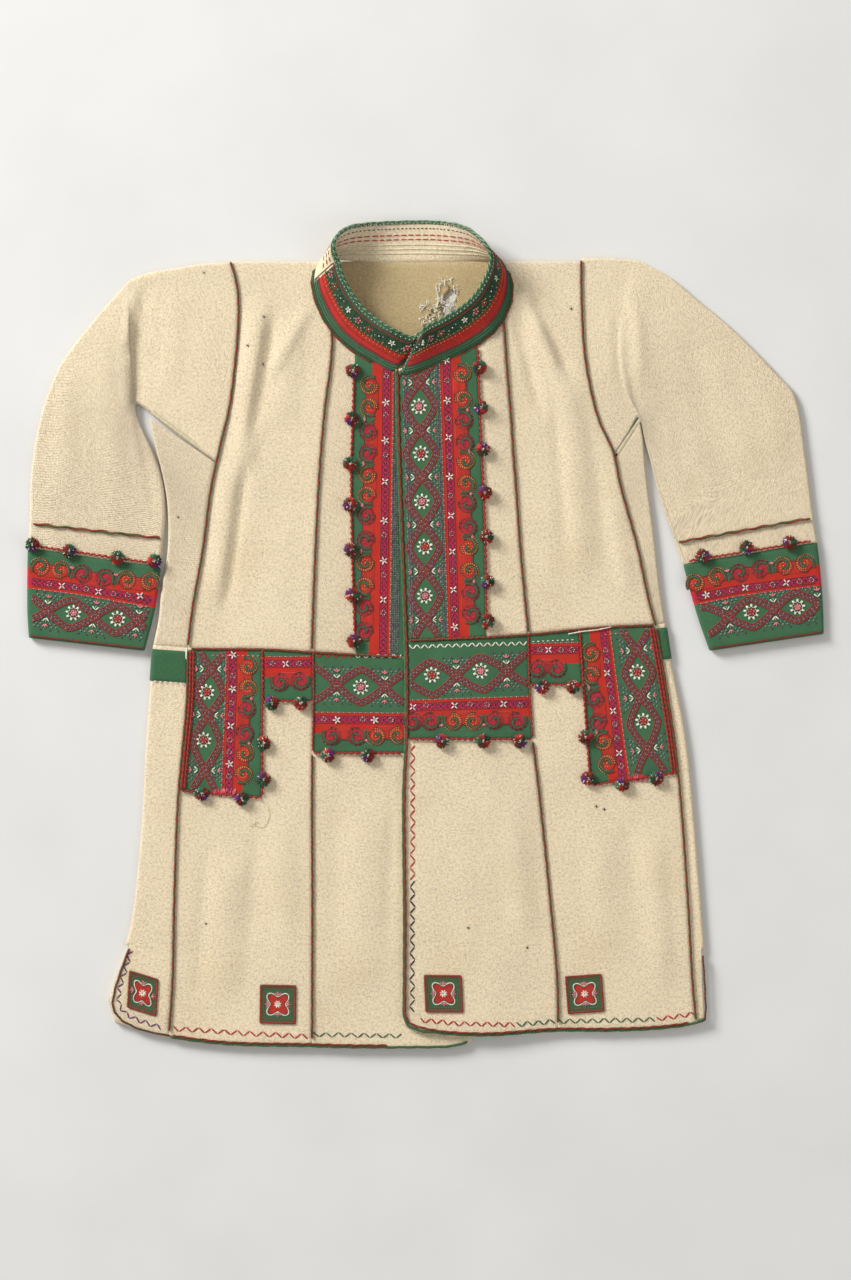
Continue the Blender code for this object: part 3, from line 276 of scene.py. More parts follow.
SIDE_LEFT = (
    SideRow(178.6, -289.5, 227.0),
    SideRow(164.0, -286.4, 211.0),
    SideRow(146.0, -282.8, 194.0),
    SideRow(125.0, -277.0, 172.0),
    SideRow(105.0, -271.4, 142.0),
    SideRow(82.0, -269.9, 110.0),
    SideRow(58.0, -271.6, 80.0),
    SideRow(34.0, -277.2, 46.0),
    SideRow(10.0, -280.2, 16.0),
    SideRow(-13.6, -285.6, -10.6),
)
SIDE_RIGHT = (
    SideRow(184.0, 225.4, 222.0),
    SideRow(158.0, 228.4, 204.0),
    SideRow(136.0, 230.2, 180.0),
    SideRow(118.0, 233.6, 150.0),
    SideRow(98.0, 238.0, 118.0),
    SideRow(76.0, 241.6, 88.0),
    SideRow(52.0, 244.8, 58.0),
    SideRow(27.0, 248.2, 32.0),
    SideRow(10.8, 251.4, 12.0),
)
GORE_LEFT = (
    SideRow(-14.2, -286.0, -11.4),
    SideRow(-54.0, -288.6, -52.0),
    SideRow(-119.0, -293.6, -118.0),
    SideRow(-179.0, -296.4, -178.0),
    SideRow(-232.0, -300.4, -232.0),
    SideRow(-290.0, -306.8, -290.0),
    SideRow(-328.0, -315.0, -326.0),
    SideRow(-368.0, -328.6, -360.0),
    SideRow(-398.0, -336.2, -384.0),
    SideRow(-422.8, -330.0, -404.5),
)
GORE_RIGHT = (
    SideRow(10.2, 251.8, 11.4),
    SideRow(-30.0, 257.8, -29.0),
    SideRow(-83.0, 269.0, -83.0),
    SideRow(-132.0, 276.4, -132.0),
    SideRow(-190.0, 281.8, -190.0),
    SideRow(-255.0, 287.2, -255.0),
    SideRow(-330.0, 292.8, -330.0),
    SideRow(-370.0, 294.0, -370.0),
    SideRow(-407.0, 295.6, -402.0),
)
VENT_SECTION = 6


class SleeveRow(NamedTuple):
    """A section of a sleeve: its two ends, its bow and its hollow."""

    inner_x: float
    inner_y: float
    outer_x: float
    outer_y: float
    bow: float
    hollow: float


SLEEVE_LEFT = (
    SleeveRow(-223.0, 180.6, -205.0, 391.1, 1.0, 1.5),
    SleeveRow(-243.5, 195.4, -236.8, 388.6, 0.9, 2.2),
    SleeveRow(-264.0, 210.4, -266.2, 384.0, 0.7, 2.0),
    SleeveRow(-284.5, 227.6, -289.3, 380.0, 0.4, 1.2),
    SleeveRow(-301.5, 242.0, -306.5, 374.0, -0.2, 1.0),
    SleeveRow(-302.9, 234.7, -312.0, 370.0, -0.15, 5.4),
    SleeveRow(-299.8, 221.0, -338.6, 340.7, -0.1, 4.6),
    SleeveRow(-292.4, 205.3, -362.8, 311.3, 0.0, 3.6),
    SleeveRow(-285.1, 189.5, -383.8, 281.9, 0.0, 3.0),
    SleeveRow(-277.7, 168.5, -399.5, 243.1, 0.0, 3.0),
    SleeveRow(-274.0, 147.5, -409.0, 204.2, 0.0, 2.8),
    SleeveRow(-273.0, 122.3, -414.2, 162.2, 0.0, 2.4),
    SleeveRow(-274.8, 101.3, -415.3, 117.1, 0.0, 2.0),
    SleeveRow(-277.9, 70.4, -417.3, 91.4, 0.0, 1.8),
)
CUFF_LEFT = (
    SleeveRow(-277.9, 69.8, -417.4, 90.8, 0.0, 1.8),
    SleeveRow(-281.6, 38.0, -418.0, 56.0, 0.0, 1.8),
    SleeveRow(-287.6, 10.0, -417.8, 22.0, 0.0, 1.6),
    SleeveRow(-294.5, -16.3, -416.3, -2.6, 0.0, 1.6),
)
SLEEVE_RIGHT = (
    SleeveRow(201.0, 187.4, 163.9, 395.0, 1.0, 1.5),
    SleeveRow(209.0, 200.5, 184.3, 395.3, 1.0, 2.0),
    SleeveRow(216.8, 212.8, 200.0, 394.8, 1.0, 1.6),
    SleeveRow(224.6, 226.6, 214.0, 393.4, 1.2, 1.0),
    SleeveRow(229.4, 223.0, 228.0, 390.6, 1.4, 5.2),
    SleeveRow(231.4, 206.0, 258.8, 373.3, 0.7, 4.6),
    SleeveRow(234.6, 190.0, 286.1, 350.2, 0.3, 3.8),
    SleeveRow(238.2, 174.0, 315.5, 326.0, 0.0, 3.2),
    SleeveRow(243.0, 154.0, 342.8, 299.8, 0.0, 3.0),
    SleeveRow(249.0, 134.0, 368.0, 273.5, 0.0, 3.0),
    SleeveRow(255.4, 116.2, 388.8, 247.0, 0.0, 2.8),
    SleeveRow(259.4, 104.5, 398.5, 190.0, 0.0, 2.4),
    SleeveRow(262.0, 96.6, 406.9, 123.4, 0.0, 2.0),
    SleeveRow(270.4, 73.6, 411.1, 96.7, 0.0, 1.8),
)
CUFF_RIGHT = (
    SleeveRow(270.5, 73.0, 411.1, 96.1, 0.0, 1.8),
    SleeveRow(278.6, 42.0, 414.6, 64.0, 0.0, 1.8),
    SleeveRow(287.6, 12.0, 417.0, 32.0, 0.0, 1.6),
    SleeveRow(297.7, -16.3, 418.0, 1.6, 0.0, 1.6),
)


class CollarRow(NamedTuple):
    """A section of the stand collar: its foot and its top edge in plan."""

    base_x: float
    base_y: float
    base_z: float
    top_x: float
    top_y: float


COLLAR = (
    CollarRow(-9.0, 288.5, 7.2, 12.6, 320.0),
    CollarRow(-27.0, 281.4, 7.0, -6.0, 314.6),
    CollarRow(-35.4, 276.6, 6.9, -15.0, 311.0),
    CollarRow(-55.4, 287.4, 6.9, -36.0, 319.6),
    CollarRow(-75.4, 299.6, 6.9, -52.0, 329.6),
    CollarRow(-92.0, 314.6, 6.9, -66.0, 342.0),
    CollarRow(-103.4, 330.0, 6.9, -77.0, 356.0),
    CollarRow(-110.4, 344.0, 6.9, -84.5, 369.1),
    CollarRow(-115.0, 357.0, 6.9, -89.2, 380.0),
    CollarRow(-117.1, 371.2, 6.9, -92.0, 391.5),
    CollarRow(-115.0, 384.0, 6.9, -96.5, 401.0),
    CollarRow(-107.6, 393.4, 6.9, -96.0, 411.5),
    CollarRow(-94.0, 394.0, 4.0, -89.0, 421.5),
    CollarRow(-79.0, 393.6, 1.6, -76.0, 428.4),
    CollarRow(-53.0, 391.9, 0.0, -49.9, 432.0),
    CollarRow(-11.0, 391.9, 0.0, -11.0, 433.6),
    CollarRow(25.7, 391.9, 0.0, 20.0, 432.4),
    CollarRow(50.0, 393.4, 0.0, 41.5, 427.0),
    CollarRow(66.0, 394.0, 3.4, 53.6, 418.6),
    CollarRow(78.2, 393.6, 7.0, 63.0, 408.0),
    CollarRow(85.6, 382.0, 7.0, 68.2, 398.0),
    CollarRow(89.1, 369.1, 6.9, 68.6, 388.0),
    CollarRow(88.3, 352.0, 6.9, 64.6, 376.0),
    CollarRow(81.0, 333.0, 7.5, 56.0, 361.0),
    CollarRow(70.0, 319.0, 11.0, 47.0, 350.0),
    CollarRow(57.2, 308.6, 11.2, 35.0, 340.2),
    CollarRow(38.3, 297.4, 11.2, 17.5, 329.6),
    CollarRow(13.1, 286.0, 11.2, 0.0, 320.6),
    CollarRow(-12.1, 276.0, 11.2, -5.0, 314.0),
    CollarRow(-27.6, 273.0, 11.2, -7.0, 309.6),
)


class FoldRow(NamedTuple):
    """A fold of the cloth: its ridge line, its rise and its half width."""

    top_x: float
    top_y: float
    end_x: float
    end_y: float
    rise: float
    spread: float


FOLDS = (
    FoldRow(-172.0, 366.0, -196.0, 150.0, 6.0, 21.0),
    FoldRow(-203.0, 190.0, -222.0, 20.0, 3.5, 16.0),
    FoldRow(-140.0, 345.0, -152.0, 210.0, 2.4, 22.0),
    FoldRow(112.0, 352.0, 150.0, 215.0, 3.2, 20.0),
    FoldRow(150.0, 300.0, 166.0, 40.0, 3.6, 20.0),
    FoldRow(196.0, 150.0, 214.0, 30.0, 2.4, 13.0),
    FoldRow(-205.0, -210.0, -214.0, -400.0, 2.8, 26.0),
    FoldRow(-150.0, -180.0, -148.0, -350.0, 2.2, 22.0),
    FoldRow(-60.0, -160.0, -66.0, -380.0, 2.4, 28.0),
    FoldRow(180.0, -180.0, 188.0, -345.0, 2.4, 24.0),
    FoldRow(236.0, -190.0, 250.0, -380.0, 2.6, 18.0),
    FoldRow(92.0, -170.0, 100.0, -330.0, 1.8, 18.0),
)
# Smaller creases that only the looks have, troughs where the rise is negative
CREASES = (
    FoldRow(-158.0, 345.0, -186.0, 186.0, -3.6, 10.0),
    FoldRow(-185.0, 196.0, -213.0, 8.0, -2.8, 9.0),
    FoldRow(-118.0, 352.0, -168.0, 262.0, 2.4, 11.0),
    FoldRow(96.0, 366.0, 142.0, 268.0, 3.4, 9.0),
    FoldRow(108.0, 372.0, 158.0, 258.0, -2.4, 8.0),
    FoldRow(90.0, 352.0, 124.0, 222.0, -2.8, 9.0),
    FoldRow(132.0, 262.0, 150.0, 90.0, -1.6, 9.0),
    FoldRow(178.0, 200.0, 192.0, 60.0, -1.2, 8.0),
    FoldRow(-230.0, -215.0, -240.0, -395.0, -1.3, 11.0),
    FoldRow(-178.0, -190.0, -182.0, -330.0, -1.1, 12.0),
    FoldRow(-96.0, -170.0, -94.0, -350.0, -1.0, 13.0),
    FoldRow(-34.0, -150.0, -40.0, -330.0, -0.9, 10.0),
    FoldRow(40.0, -150.0, 46.0, -360.0, 1.1, 18.0),
    FoldRow(118.0, -175.0, 124.0, -345.0, -1.0, 12.0),
    FoldRow(212.0, -185.0, 222.0, -360.0, -1.1, 12.0),
    FoldRow(-150.0, 120.0, -158.0, 10.0, 1.0, 20.0),
    FoldRow(128.0, 150.0, 134.0, 30.0, 1.0, 18.0),
)
SLEEVE_CREASES = (
    FoldRow(-303.0, 368.0, -319.0, 288.0, 3.0, 9.0),
    FoldRow(-319.0, 298.0, -311.0, 232.0, 3.0, 9.0),
    FoldRow(-292.0, 372.0, -301.0, 300.0, -4.0, 9.0),
    FoldRow(-301.0, 308.0, -300.0, 236.0, -4.2, 9.0),
    FoldRow(-304.0, 238.0, -280.0, 118.0, -1.9, 8.0),
    FoldRow(-340.0, 330.0, -322.0, 120.0, 1.7, 20.0),
    FoldRow(-376.0, 280.0, -380.0, 130.0, 1.2, 18.0),
    FoldRow(-262.0, 372.0, -268.0, 250.0, 1.4, 16.0),
    FoldRow(191.0, 346.0, 196.0, 262.0, 1.6, 9.0),
    FoldRow(210.0, 350.0, 213.0, 266.0, -4.6, 6.5),
    FoldRow(213.0, 276.0, 226.0, 228.0, -3.0, 5.5),
    FoldRow(221.0, 350.0, 228.0, 262.0, 2.2, 7.0),
    FoldRow(250.0, 350.0, 296.0, 150.0, 1.6, 20.0),
    FoldRow(300.0, 310.0, 344.0, 150.0, 1.4, 20.0),
    FoldRow(240.0, 240.0, 262.0, 110.0, -1.4, 10.0),
    FoldRow(360.0, 255.0, 380.0, 130.0, 1.0, 16.0),
)


class SquareRow(NamedTuple):
    """A corner square: its centre, its half sides, its lean and its slope."""

    name: str
    x: float
    y: float
    half_width: float
    half_height: float
    lean: float
    slope: float


SQUARES = (
    SquareRow("square_gore_left", -296.6, -376.2, 15.0, 19.2, 0.06, -0.31),
    SquareRow("square_left", -154.8, -387.8, 18.6, 20.0, 0.01, -0.02),
    SquareRow("square_centre", 18.9, -376.4, 19.4, 19.2, -0.05, -0.01),
    SquareRow("square_right", 167.0, -376.9, 18.8, 19.4, -0.08, 0.07),
)

RIP_X, RIP_Y = 24.7, 347.5
RIP_HALF_WIDTH, RIP_HALF_LENGTH = 6.3, 15.8
SMALL_HOLES = ((434, 312), (437, 322))


def smooth(share: Any) -> Array:
    """Gives the smooth step 3t² − 2t³ of a share clipped to 0..1."""
    t = np.clip(share, 0.0, 1.0)
    return t * t * (3 - 2 * t)


class Curve:
    """Smooth function through knots: cubic pieces with mean slopes."""

    def __init__(self, rows: Sequence[Any], key: str, value: str) -> None:
        """Takes the knots from two fields of a table.

        Args:
            rows: The table.
            key: The field that the function depends on.
            value: The field that it gives.
        """
        pairs = sorted((getattr(row, key), getattr(row, value)) for row in rows)
        self.keys, self.values = np.array(pairs, float).T
        steps = np.diff(self.values) / np.diff(self.keys)
        self.slopes = np.concatenate([steps[:1], (steps[:-1] + steps[1:]) / 2, steps[-1:]])

    @classmethod
    def by_section(cls, rows: Sequence[Any], value: str) -> "Curve":
        """Gives a field as a smooth function of the section's number.

        Args:
            rows: The table.
            value: The field that it gives.

        Returns:
            The function.
        """
        made = cls.__new__(cls)
        made.keys = np.arange(len(rows), dtype=float)
        made.values = np.array([getattr(row, value) for row in rows], float)
        steps = np.diff(made.values)
        made.slopes = np.concatenate([steps[:1], (steps[:-1] + steps[1:]) / 2, steps[-1:]])
        return made

    def __call__(self, at: Any) -> Array:
        """Gives h00·v0 + h10·w·m0 + h01·v1 + h11·w·m1, and a line outside.

        Args:
            at: Where the function is asked for.

        Returns:
            The values.
        """
        at = np.asarray(at, float)
        i = np.clip(np.searchsorted(self.keys, at, side="right") - 1, 0, len(self.keys) - 2)
        width = self.keys[i + 1] - self.keys[i]
        t = (at - self.keys[i]) / width
        inside = (
            (2 * t**3 - 3 * t**2 + 1) * self.values[i]
            + (t**3 - 2 * t**2 + t) * width * self.slopes[i]
            + (3 * t**2 - 2 * t**3) * self.values[i + 1]
            + (t**3 - t**2) * width * self.slopes[i + 1]
        )
        low = self.values[0] + self.slopes[0] * (at - self.keys[0])
        high = self.values[-1] + self.slopes[-1] * (at - self.keys[-1])
        return np.where(at < self.keys[0], low, np.where(at > self.keys[-1], high, inside))


def moved(line: Line, by: float) -> Line:
    """Gives a line moved sideways by a length."""
    return lambda at: line(at) + by


def level(value: float) -> Line:
    """Gives a line that keeps one value."""
    return lambda at: np.full(np.shape(at), value, float)


def over(height: Field, by: float) -> Field:
    """Gives a height field moved up by a length."""
    return lambda x, y: height(x, y) + by


def flat(value: float) -> Field:
    """Gives a height field that keeps one value."""
    return lambda x, y: np.full(np.shape(x), value, float)


armhole_left = Curve(LEFT_UPPER, "y", "armhole")
princess_left = Curve(LEFT_UPPER, "y", "princess")
armhole_right = Curve(RIGHT_UPPER, "y", "armhole")
princess_right = Curve(RIGHT_UPPER, "y", "princess")
skirt_princess_left = Curve(LEFT_SKIRT, "y", "princess")
skirt_side_left = Curve(LEFT_SKIRT, "y", "side")
skirt_princess_right = Curve(RIGHT_SKIRT, "y", "princess")
skirt_side_right = Curve(RIGHT_SKIRT, "y", "side")
upper_edge = Curve(FRONT_EDGE, "y", "upper")
under_edge = Curve(FRONT_EDGE, "y", "under")
chest_left = Curve(CHEST_BANDS, "y", "left")
chest_right = Curve(CHEST_BANDS, "y", "right")
neck_left = Curve(NECK_LEFT, "x", "y")
neck_right = Curve(NECK_RIGHT, "x", "y")
waist_left = Curve(WAIST_LEFT, "x", "y")
waist_right = Curve(WAIST_RIGHT, "x", "y")
hem_left = Curve(HEM_LEFT, "x", "y")
hem_right = Curve(HEM_RIGHT, "x", "y")


def low_tall_left(x: Array) -> Array:
    """Gives the lower edge of the tall left skirt piece."""
    return -162.6 - (x + 259.0) * 0.088


def low_tall_right(x: Array) -> Array:
    """Gives the lower edge of the tall right skirt piece."""
    return -157.0 + (x - 173.7) * 0.145


def tall_right_edge(y: Array) -> Array:
    """Gives the left edge of the tall right skirt piece."""
    return 163.6 - (y + 9.0) * 0.068


class Mark(NamedTuple):
    """A place of the photograph, in its pixels."""

    across: float
    down: float

    @property
    def plan(self) -> Array:
        """The place in the coat's frame, in millimetres."""
        x = (self.across - PICTURE_MIDDLE[0]) * PICTURE_PITCH
        return np.array([x, (PICTURE_MIDDLE[1] - self.down) * PICTURE_PITCH])


def marks(*pairs: tuple[float, float]) -> Array:
    """Gives several places of the photograph in the coat's frame."""
    return np.array([Mark(*pair).plan for pair in pairs])


@dataclass(frozen=True)
class Unevenness:
    """Soft random field: values on a square lattice, blended by smooth steps."""

    pitch: float
    seed: int

    def __call__(self, x: Array, y: Array) -> Array:
        """Gives values from −1 to 1 at the places.

        Args:
            x: Places across.
            y: Places up.

        Returns:
            The values.
        """
        size = 2 * int(480 / self.pitch) + 6
        lattice = np.random.default_rng(self.seed).uniform(-1, 1, (size, size))
        across, up = x / self.pitch + size / 2, y / self.pitch + size / 2
        i, j = np.floor(across).astype(int), np.floor(up).astype(int)
        s, t = smooth(across - i), smooth(up - j)
        low = lattice[i, j] * (1 - s) + lattice[i + 1, j] * s
        high = lattice[i, j + 1] * (1 - s) + lattice[i + 1, j + 1] * s
        return low * (1 - t) + high * t


BROAD = Unevenness(70.0, 11)
MIDDLE = Unevenness(27.0, 12)
FINE = Unevenness(11.0, 13)


def rise_of(folds: Sequence[FoldRow], x: Array, y: Array) -> Array:
    """Gives the sum over the folds of rise · ends · (1 − (d / spread)²)².

    Args:
        folds: The folds.
        x: Places across.
        y: Places up.

    Returns:
        The heights.
    """
    total = np.zeros(np.broadcast(x, y).shape)
    for fold in folds:
        run_x, run_y = fold.end_x - fold.top_x, fold.end_y - fold.top_y
        length = math.hypot(run_x, run_y)
        along = ((x - fold.top_x) * run_x + (y - fold.top_y) * run_y) / length**2
        across = np.abs((x - fold.top_x) * run_y - (y - fold.top_y) * run_x) / length
        ends = smooth(along / 0.25) * smooth((1 - along) / 0.25)
        near = np.clip(1 - (across / fold.spread) ** 2, 0, None) ** 2
        total = total + fold.rise * ends * near * ((along > 0) & (along < 1))
    return total


class Lay:
    """Height of the coat's upper face over the surface that it rests on."""

    @staticmethod
    def relief(x: Array, y: Array) -> Array:
        """Gives the unevenness of the wool beyond the main folds."""
        uneven = 0.75 * BROAD(x, y) + 0.42 * MIDDLE(x, y) + 0.14 * FINE(x, y)
        return uneven + rise_of(CREASES, x, y)

    @classmethod
    def left(cls, x: Array, y: Array) -> Array:
        """Gives the height of the left front and of both sides."""
        return FRONT_TOP + rise_of(FOLDS, x, y) + cls.relief(x, y)

    @classmethod
    def right(cls, x: Array, y: Array) -> Array:
        """Gives the height of the right front, which lies over the left one
        and comes down to it at the princess seam.

        Args:
            x: Places across.
            y: Places up.

        Returns:
            The heights.
        """
        foot = np.where(np.asarray(y) > 0, princess_right(y), skirt_princess_right(y))
        share = 1 - np.clip((x - OVERLAP_END_X) / (foot - OVERLAP_END_X), 0, 1)
        return cls.left(x, y) + OVERLAP_RISE * share

    @staticmethod
    def floor(x: Array, y: Array) -> Array:
        """Gives the height of the back's inner face."""
        return WALL + 0.12 * (1 + MIDDLE(x, y))


# ---------------------------------------------------------------- meshes


def grid_faces(ids: Array) -> Array:
    """Gives the quads (a, b, b + row, a + row) of a grid of vertex numbers."""
    corners = (ids[:-1, :-1], ids[:-1, 1:], ids[1:, 1:], ids[1:, :-1])
    return np.stack([corner.ravel() for corner in corners], 1)


def volume_of(points: Array, faces: Array) -> float:
    """Gives a sixth of the sum of p0 · (p1 × p2) over the halves of quads.

    Args:
        points: Points, counts by 3.
        faces: Quads of point numbers.

    Returns:
        The volume, negative where faces look in.
    """
    total = 0.0
    for a, b, c in ((0, 1, 2), (0, 2, 3)):
        p, q, r = points[faces[:, a]], points[faces[:, b]], points[faces[:, c]]
        total += float(np.einsum("ij,ij->i", p, np.cross(q, r)).sum()) / 6
    return total


def area_of(grid: Array) -> float:
    """Gives the area of a grid in square millimetres, by its diagonals."""
    first, second = grid[1:, 1:] - grid[:-1, :-1], grid[1:, :-1] - grid[:-1, 1:]
    return float(np.linalg.norm(np.cross(first, second), axis=-1).sum()) / 2


@dataclass
class Mesh:
    """Points in millimetres with their quads, UVs and dyes.

    Stitches, which have no UVs, add triangles at their tips.
    """

    points: Array
    faces: Array
    cut: Optional[Array] = None
    dyes: Optional[Array] = None
    slots: Optional[Array] = None
    tips: Optional[Array] = None

    def build(self, name: str, materials: Sequence[bpy.types.Material]) -> bpy.types.Object:
        """Makes the object, in metres, riding with the coat.

        Args:
            name: The piece's name.
            materials: Its finishes, in the order that the slots count.

        Returns:
            The object, at the origin.
        """
        mesh = bpy.data.meshes.new(name)
        faces = self.faces.tolist() + ([] if self.tips is None else self.tips.tolist())
        mesh.from_pydata(self.points * MM, [], faces)
        mesh.polygons.foreach_set("use_smooth", np.ones(len(faces), bool))
        if self.slots is not None:
            mesh.polygons.foreach_set("material_index", self.slots.astype(np.int32))
        if self.cut is not None:
            layer = mesh.uv_layers.new(name="cut")
            layer.uv.foreach_set("vector", self.cut[self.faces.ravel()].ravel())
        if self.dyes is not None:
            dye = mesh.color_attributes.new("dye", "FLOAT_COLOR", "POINT")
            shade = np.concatenate([self.dyes, np.ones((len(self.dyes), 1))], 1)
            dye.data.foreach_set("color", shade.astype(np.float32).ravel())
        for material in materials:
            mesh.materials.append(material)
        mesh.update()
        made = bpy.data.objects.new(name, mesh)
        bpy.context.scene.collection.objects.link(made)
        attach(made, "root")
        log.info("%s: %d faces", name, len(faces))
        return made


def rimmed(outer: Array, inner: Array, ring: bool) -> tuple[Array, Array]:
    """Adds a rounded rim, shared by both faces of a cloth wall.

    The rim is the middle of the two edges, moved outwards by a third of the
    wall: rim = (o + i) / 2 + (edge − next) / |edge − next| · 0.35 · wall.

    Args:
        outer: Grid of the upper face, rows by columns by 3.
        inner: Grid of the lower face, of the same shape.
        ring: True where the columns close on themselves.

    Returns:
        The two grids with a rim row before and after, and a rim column too
        where the columns are open.
    """

    def edge(a: Array, b: Array, next_a: Array) -> Array:
        """Gives the rim beside one edge of the wall.

        Args:
            a: Edge of the outer face.
            b: Edge of the inner face.
            next_a: Row of the outer face beside its edge.

        Returns:
            Points of the rim.
        """
        away = a - next_a
        away /= np.linalg.norm(away, axis=-1, keepdims=True) + 1e-9
        wall = np.linalg.norm(a - b, axis=-1, keepdims=True)
        return (a + b) / 2 + away * 0.35 * wall

    first = edge(outer[0], inner[0], outer[1])
    last = edge(outer[-1], inner[-1], outer[-2])
    grids = [np.concatenate([first[None], grid, last[None]]) for grid in (outer, inner)]
    if not ring:
        left = edge(grids[0][:, 0], grids[1][:, 0], grids[0][:, 1])
        right = edge(grids[0][:, -1], grids[1][:, -1], grids[0][:, -2])
        grids = [np.concatenate([left[:, None], grid, right[:, None]], 1) for grid in grids]
    return grids[0], grids[1]


def wall_mesh(outer: Array, inner: Array, ring: bool = False, cut: Optional[Array] = None) -> Mesh:
    """Makes a closed cloth wall between two like grids.

    Args:
        outer: Grid of the outer face, rows by columns by 3.
        inner: Grid of the inner face.
        ring: True where the columns close on themselves.
        cut: Flat pattern of the outer grid in millimetres, rows by columns by
            2, or None to measure it along the grid.

    Returns:
        The mesh, whose inner faces use the second finish.
    """
    if cut is None:
        cut = flat_pattern(outer)
    pad = ((1, 1), (0, 0), (0, 0)) if ring else ((1, 1), (1, 1), (0, 0))
    cut = np.pad(cut, pad, mode="edge")
    over, under = rimmed(outer, inner, ring)
    rows, columns = over.shape[:2]
    top = np.arange(rows * columns).reshape(rows, columns)
    low = top + rows * columns
    low[0], low[-1] = top[0], top[-1]
    if ring:
        top = np.concatenate([top, top[:, :1]], 1)
        low = np.concatenate([low, low[:, :1]], 1)
    else:
        low[:, 0], low[:, -1] = top[:, 0], top[:, -1]
    top_faces, low_faces = grid_faces(top), grid_faces(low)[:, ::-1]
    faces = np.concatenate([top_faces, low_faces])
    points = np.concatenate([over.reshape(-1, 3), under.reshape(-1, 3)])
    slots = np.repeat([0, 1], [len(top_faces), len(low_faces)])
    if volume_of(points, faces) < 0:
        faces = faces[:, ::-1]
    used, index = np.unique(faces, return_inverse=True)
    flat = np.concatenate([cut.reshape(-1, 2)] * 2) * MM
    return Mesh(points[used], index.reshape(-1, 4), flat[used], None, slots)


def flat_pattern(grid: Array) -> Array:
    """Gives u along the rows and v down the columns, in millimetres.

    Args:
        grid: Rows by columns by 3.

    Returns:
        Rows by columns by 2.
    """
    across = np.linalg.norm(np.diff(grid, axis=1), axis=-1)
    down = np.linalg.norm(np.diff(grid, axis=0), axis=-1)
    u = np.concatenate([np.zeros((len(grid), 1)), np.cumsum(across, 1)], 1)
    v = np.concatenate([np.zeros((1, grid.shape[1])), np.cumsum(down, 0)])
    return np.stack([u - u.mean(1, keepdims=True) + u.mean(), v], -1)


def steps_for(length: float, pitch: float, least: int = 3) -> int:
    """Gives how many grid lines a length needs."""
    return max(least, int(math.ceil(length / pitch)) + 1)


def panel_grid(left: Line, right: Line, top: Line, bottom: Line, height: Field, pitch: float = PITCH) -> Array:
    """Makes the grid of a flat panel between four lines.

    x = (1 − s) · left(y) + s · right(y) and y = (1 − t) · top(x) + t · bottom(x),
    solved together by repeating the two.

    Args:
        left: x of the left edge at a height y.
        right: x of the right edge.
        top: y of the upper edge at a place x.
        bottom: y of the lower edge.
        height: z at a place.
        pitch: Distance of the grid's lines.

    Returns:
        Rows by columns by 3.
    """
    x = y = np.zeros((1, 1))
    for _ in range(6):
        y = (top(x) + bottom(x)) / 2
        x = (left(y) + right(y)) / 2
    wide = float((right(y) - left(y))[0, 0])
    high = float((top(x) - bottom(x))[0, 0])
    s = np.linspace(0, 1, steps_for(wide, pitch))[None, :]
    t = np.linspace(0, 1, steps_for(high, pitch))[:, None]
    x = left(y) * (1 - s) + right(y) * s
    for _ in range(8):
        y = top(x) * (1 - t) + bottom(x) * t
        x = left(y) * (1 - s) + right(y) * s
    x, y = np.broadcast_arrays(x, y)
    return np.stack([x, y, height(x, y)], -1)


def raised(grid: Array, by: float) -> Array:
    """Gives the grid moved up by a height."""
    return grid + np.array([0.0, 0.0, by])


def carve(target: bpy.types.Object, rings: Sequence[Array], low: float, high: float) -> None:
    """Cuts prisms through a piece and keeps the cut mesh.

    Args:
        target: The piece.
        rings: Plan of each prism, counts by 2, in millimetres.
        low: z of their feet.
        high: z of their tops.
    """
    points, faces, start = [], [], 0
    for ring in rings:
        count = len(ring)
        for z in (low, high):
            points.append(np.column_stack([ring, np.full(count, z)]))
        around = np.arange(count)
        after = (around + 1) % count
        sides = np.stack([around, after, after + count, around + count], 1) + start
        faces += sides.tolist()
        faces.append((around[::-1] + start).tolist())
        faces.append((around + count + start).tolist())
        start += 2 * count
    mesh = bpy.data.meshes.new("cutter")
    mesh.from_pydata(np.concatenate(points) * MM, [], faces)
    cutter = bpy.data.objects.new("cutter", mesh)
    bpy.context.scene.collection.objects.link(cutter)
    cut = target.modifiers.new("cut", "BOOLEAN")
    cut.operation = "DIFFERENCE"
    cut.solver = "EXACT"
    cut.object = cutter
    graph = bpy.context.evaluated_depsgraph_get()
    carved = bpy.data.meshes.new_from_object(target.evaluated_get(graph))
    target.modifiers.clear()
    target.data = carved
    bpy.data.objects.remove(cutter, do_unlink=True)


def ragged_ring(centre: Array, half: tuple[float, float], lean: float, count: int, seed: int) -> Array:
    """Gives an uneven closed outline round a hole.

    r = 1 + 0.22 · uniform(−1, 1) at each angle, x = cx + hw·r·cos + lean·hl·sin,
    y = cy + hl·r·sin.

    Args:
        centre: Middle of the hole.
        half: Half width and half length.
        lean: Sideways shift of the ends, as a share of the half length.
        count: Number of corners.
        seed: Seed of the unevenness.

    Returns:
        Count by 2, anticlockwise.
    """
    angle = np.linspace(0, 2 * np.pi, count, endpoint=False)
    ragged = 1 + 0.22 * np.random.default_rng(seed).uniform(-1, 1, count)
    x = centre[0] + half[0] * ragged * np.cos(angle) + lean * half[1] * np.sin(angle)
    return np.column_stack([x, centre[1] + half[1] * ragged * np.sin(angle)])


# ---------------------------------------------------------------- finishes


def linear(srgb: Sequence[float]) -> tuple[float, float, float]:
    """Gives a screen colour of 0 to 255 as linear light."""
    parts = [((c / 255 + 0.055) / 1.055) ** 2.4 if c > 10 else c / 255 / 12.92 for c in srgb]
    return parts[0], parts[1], parts[2]


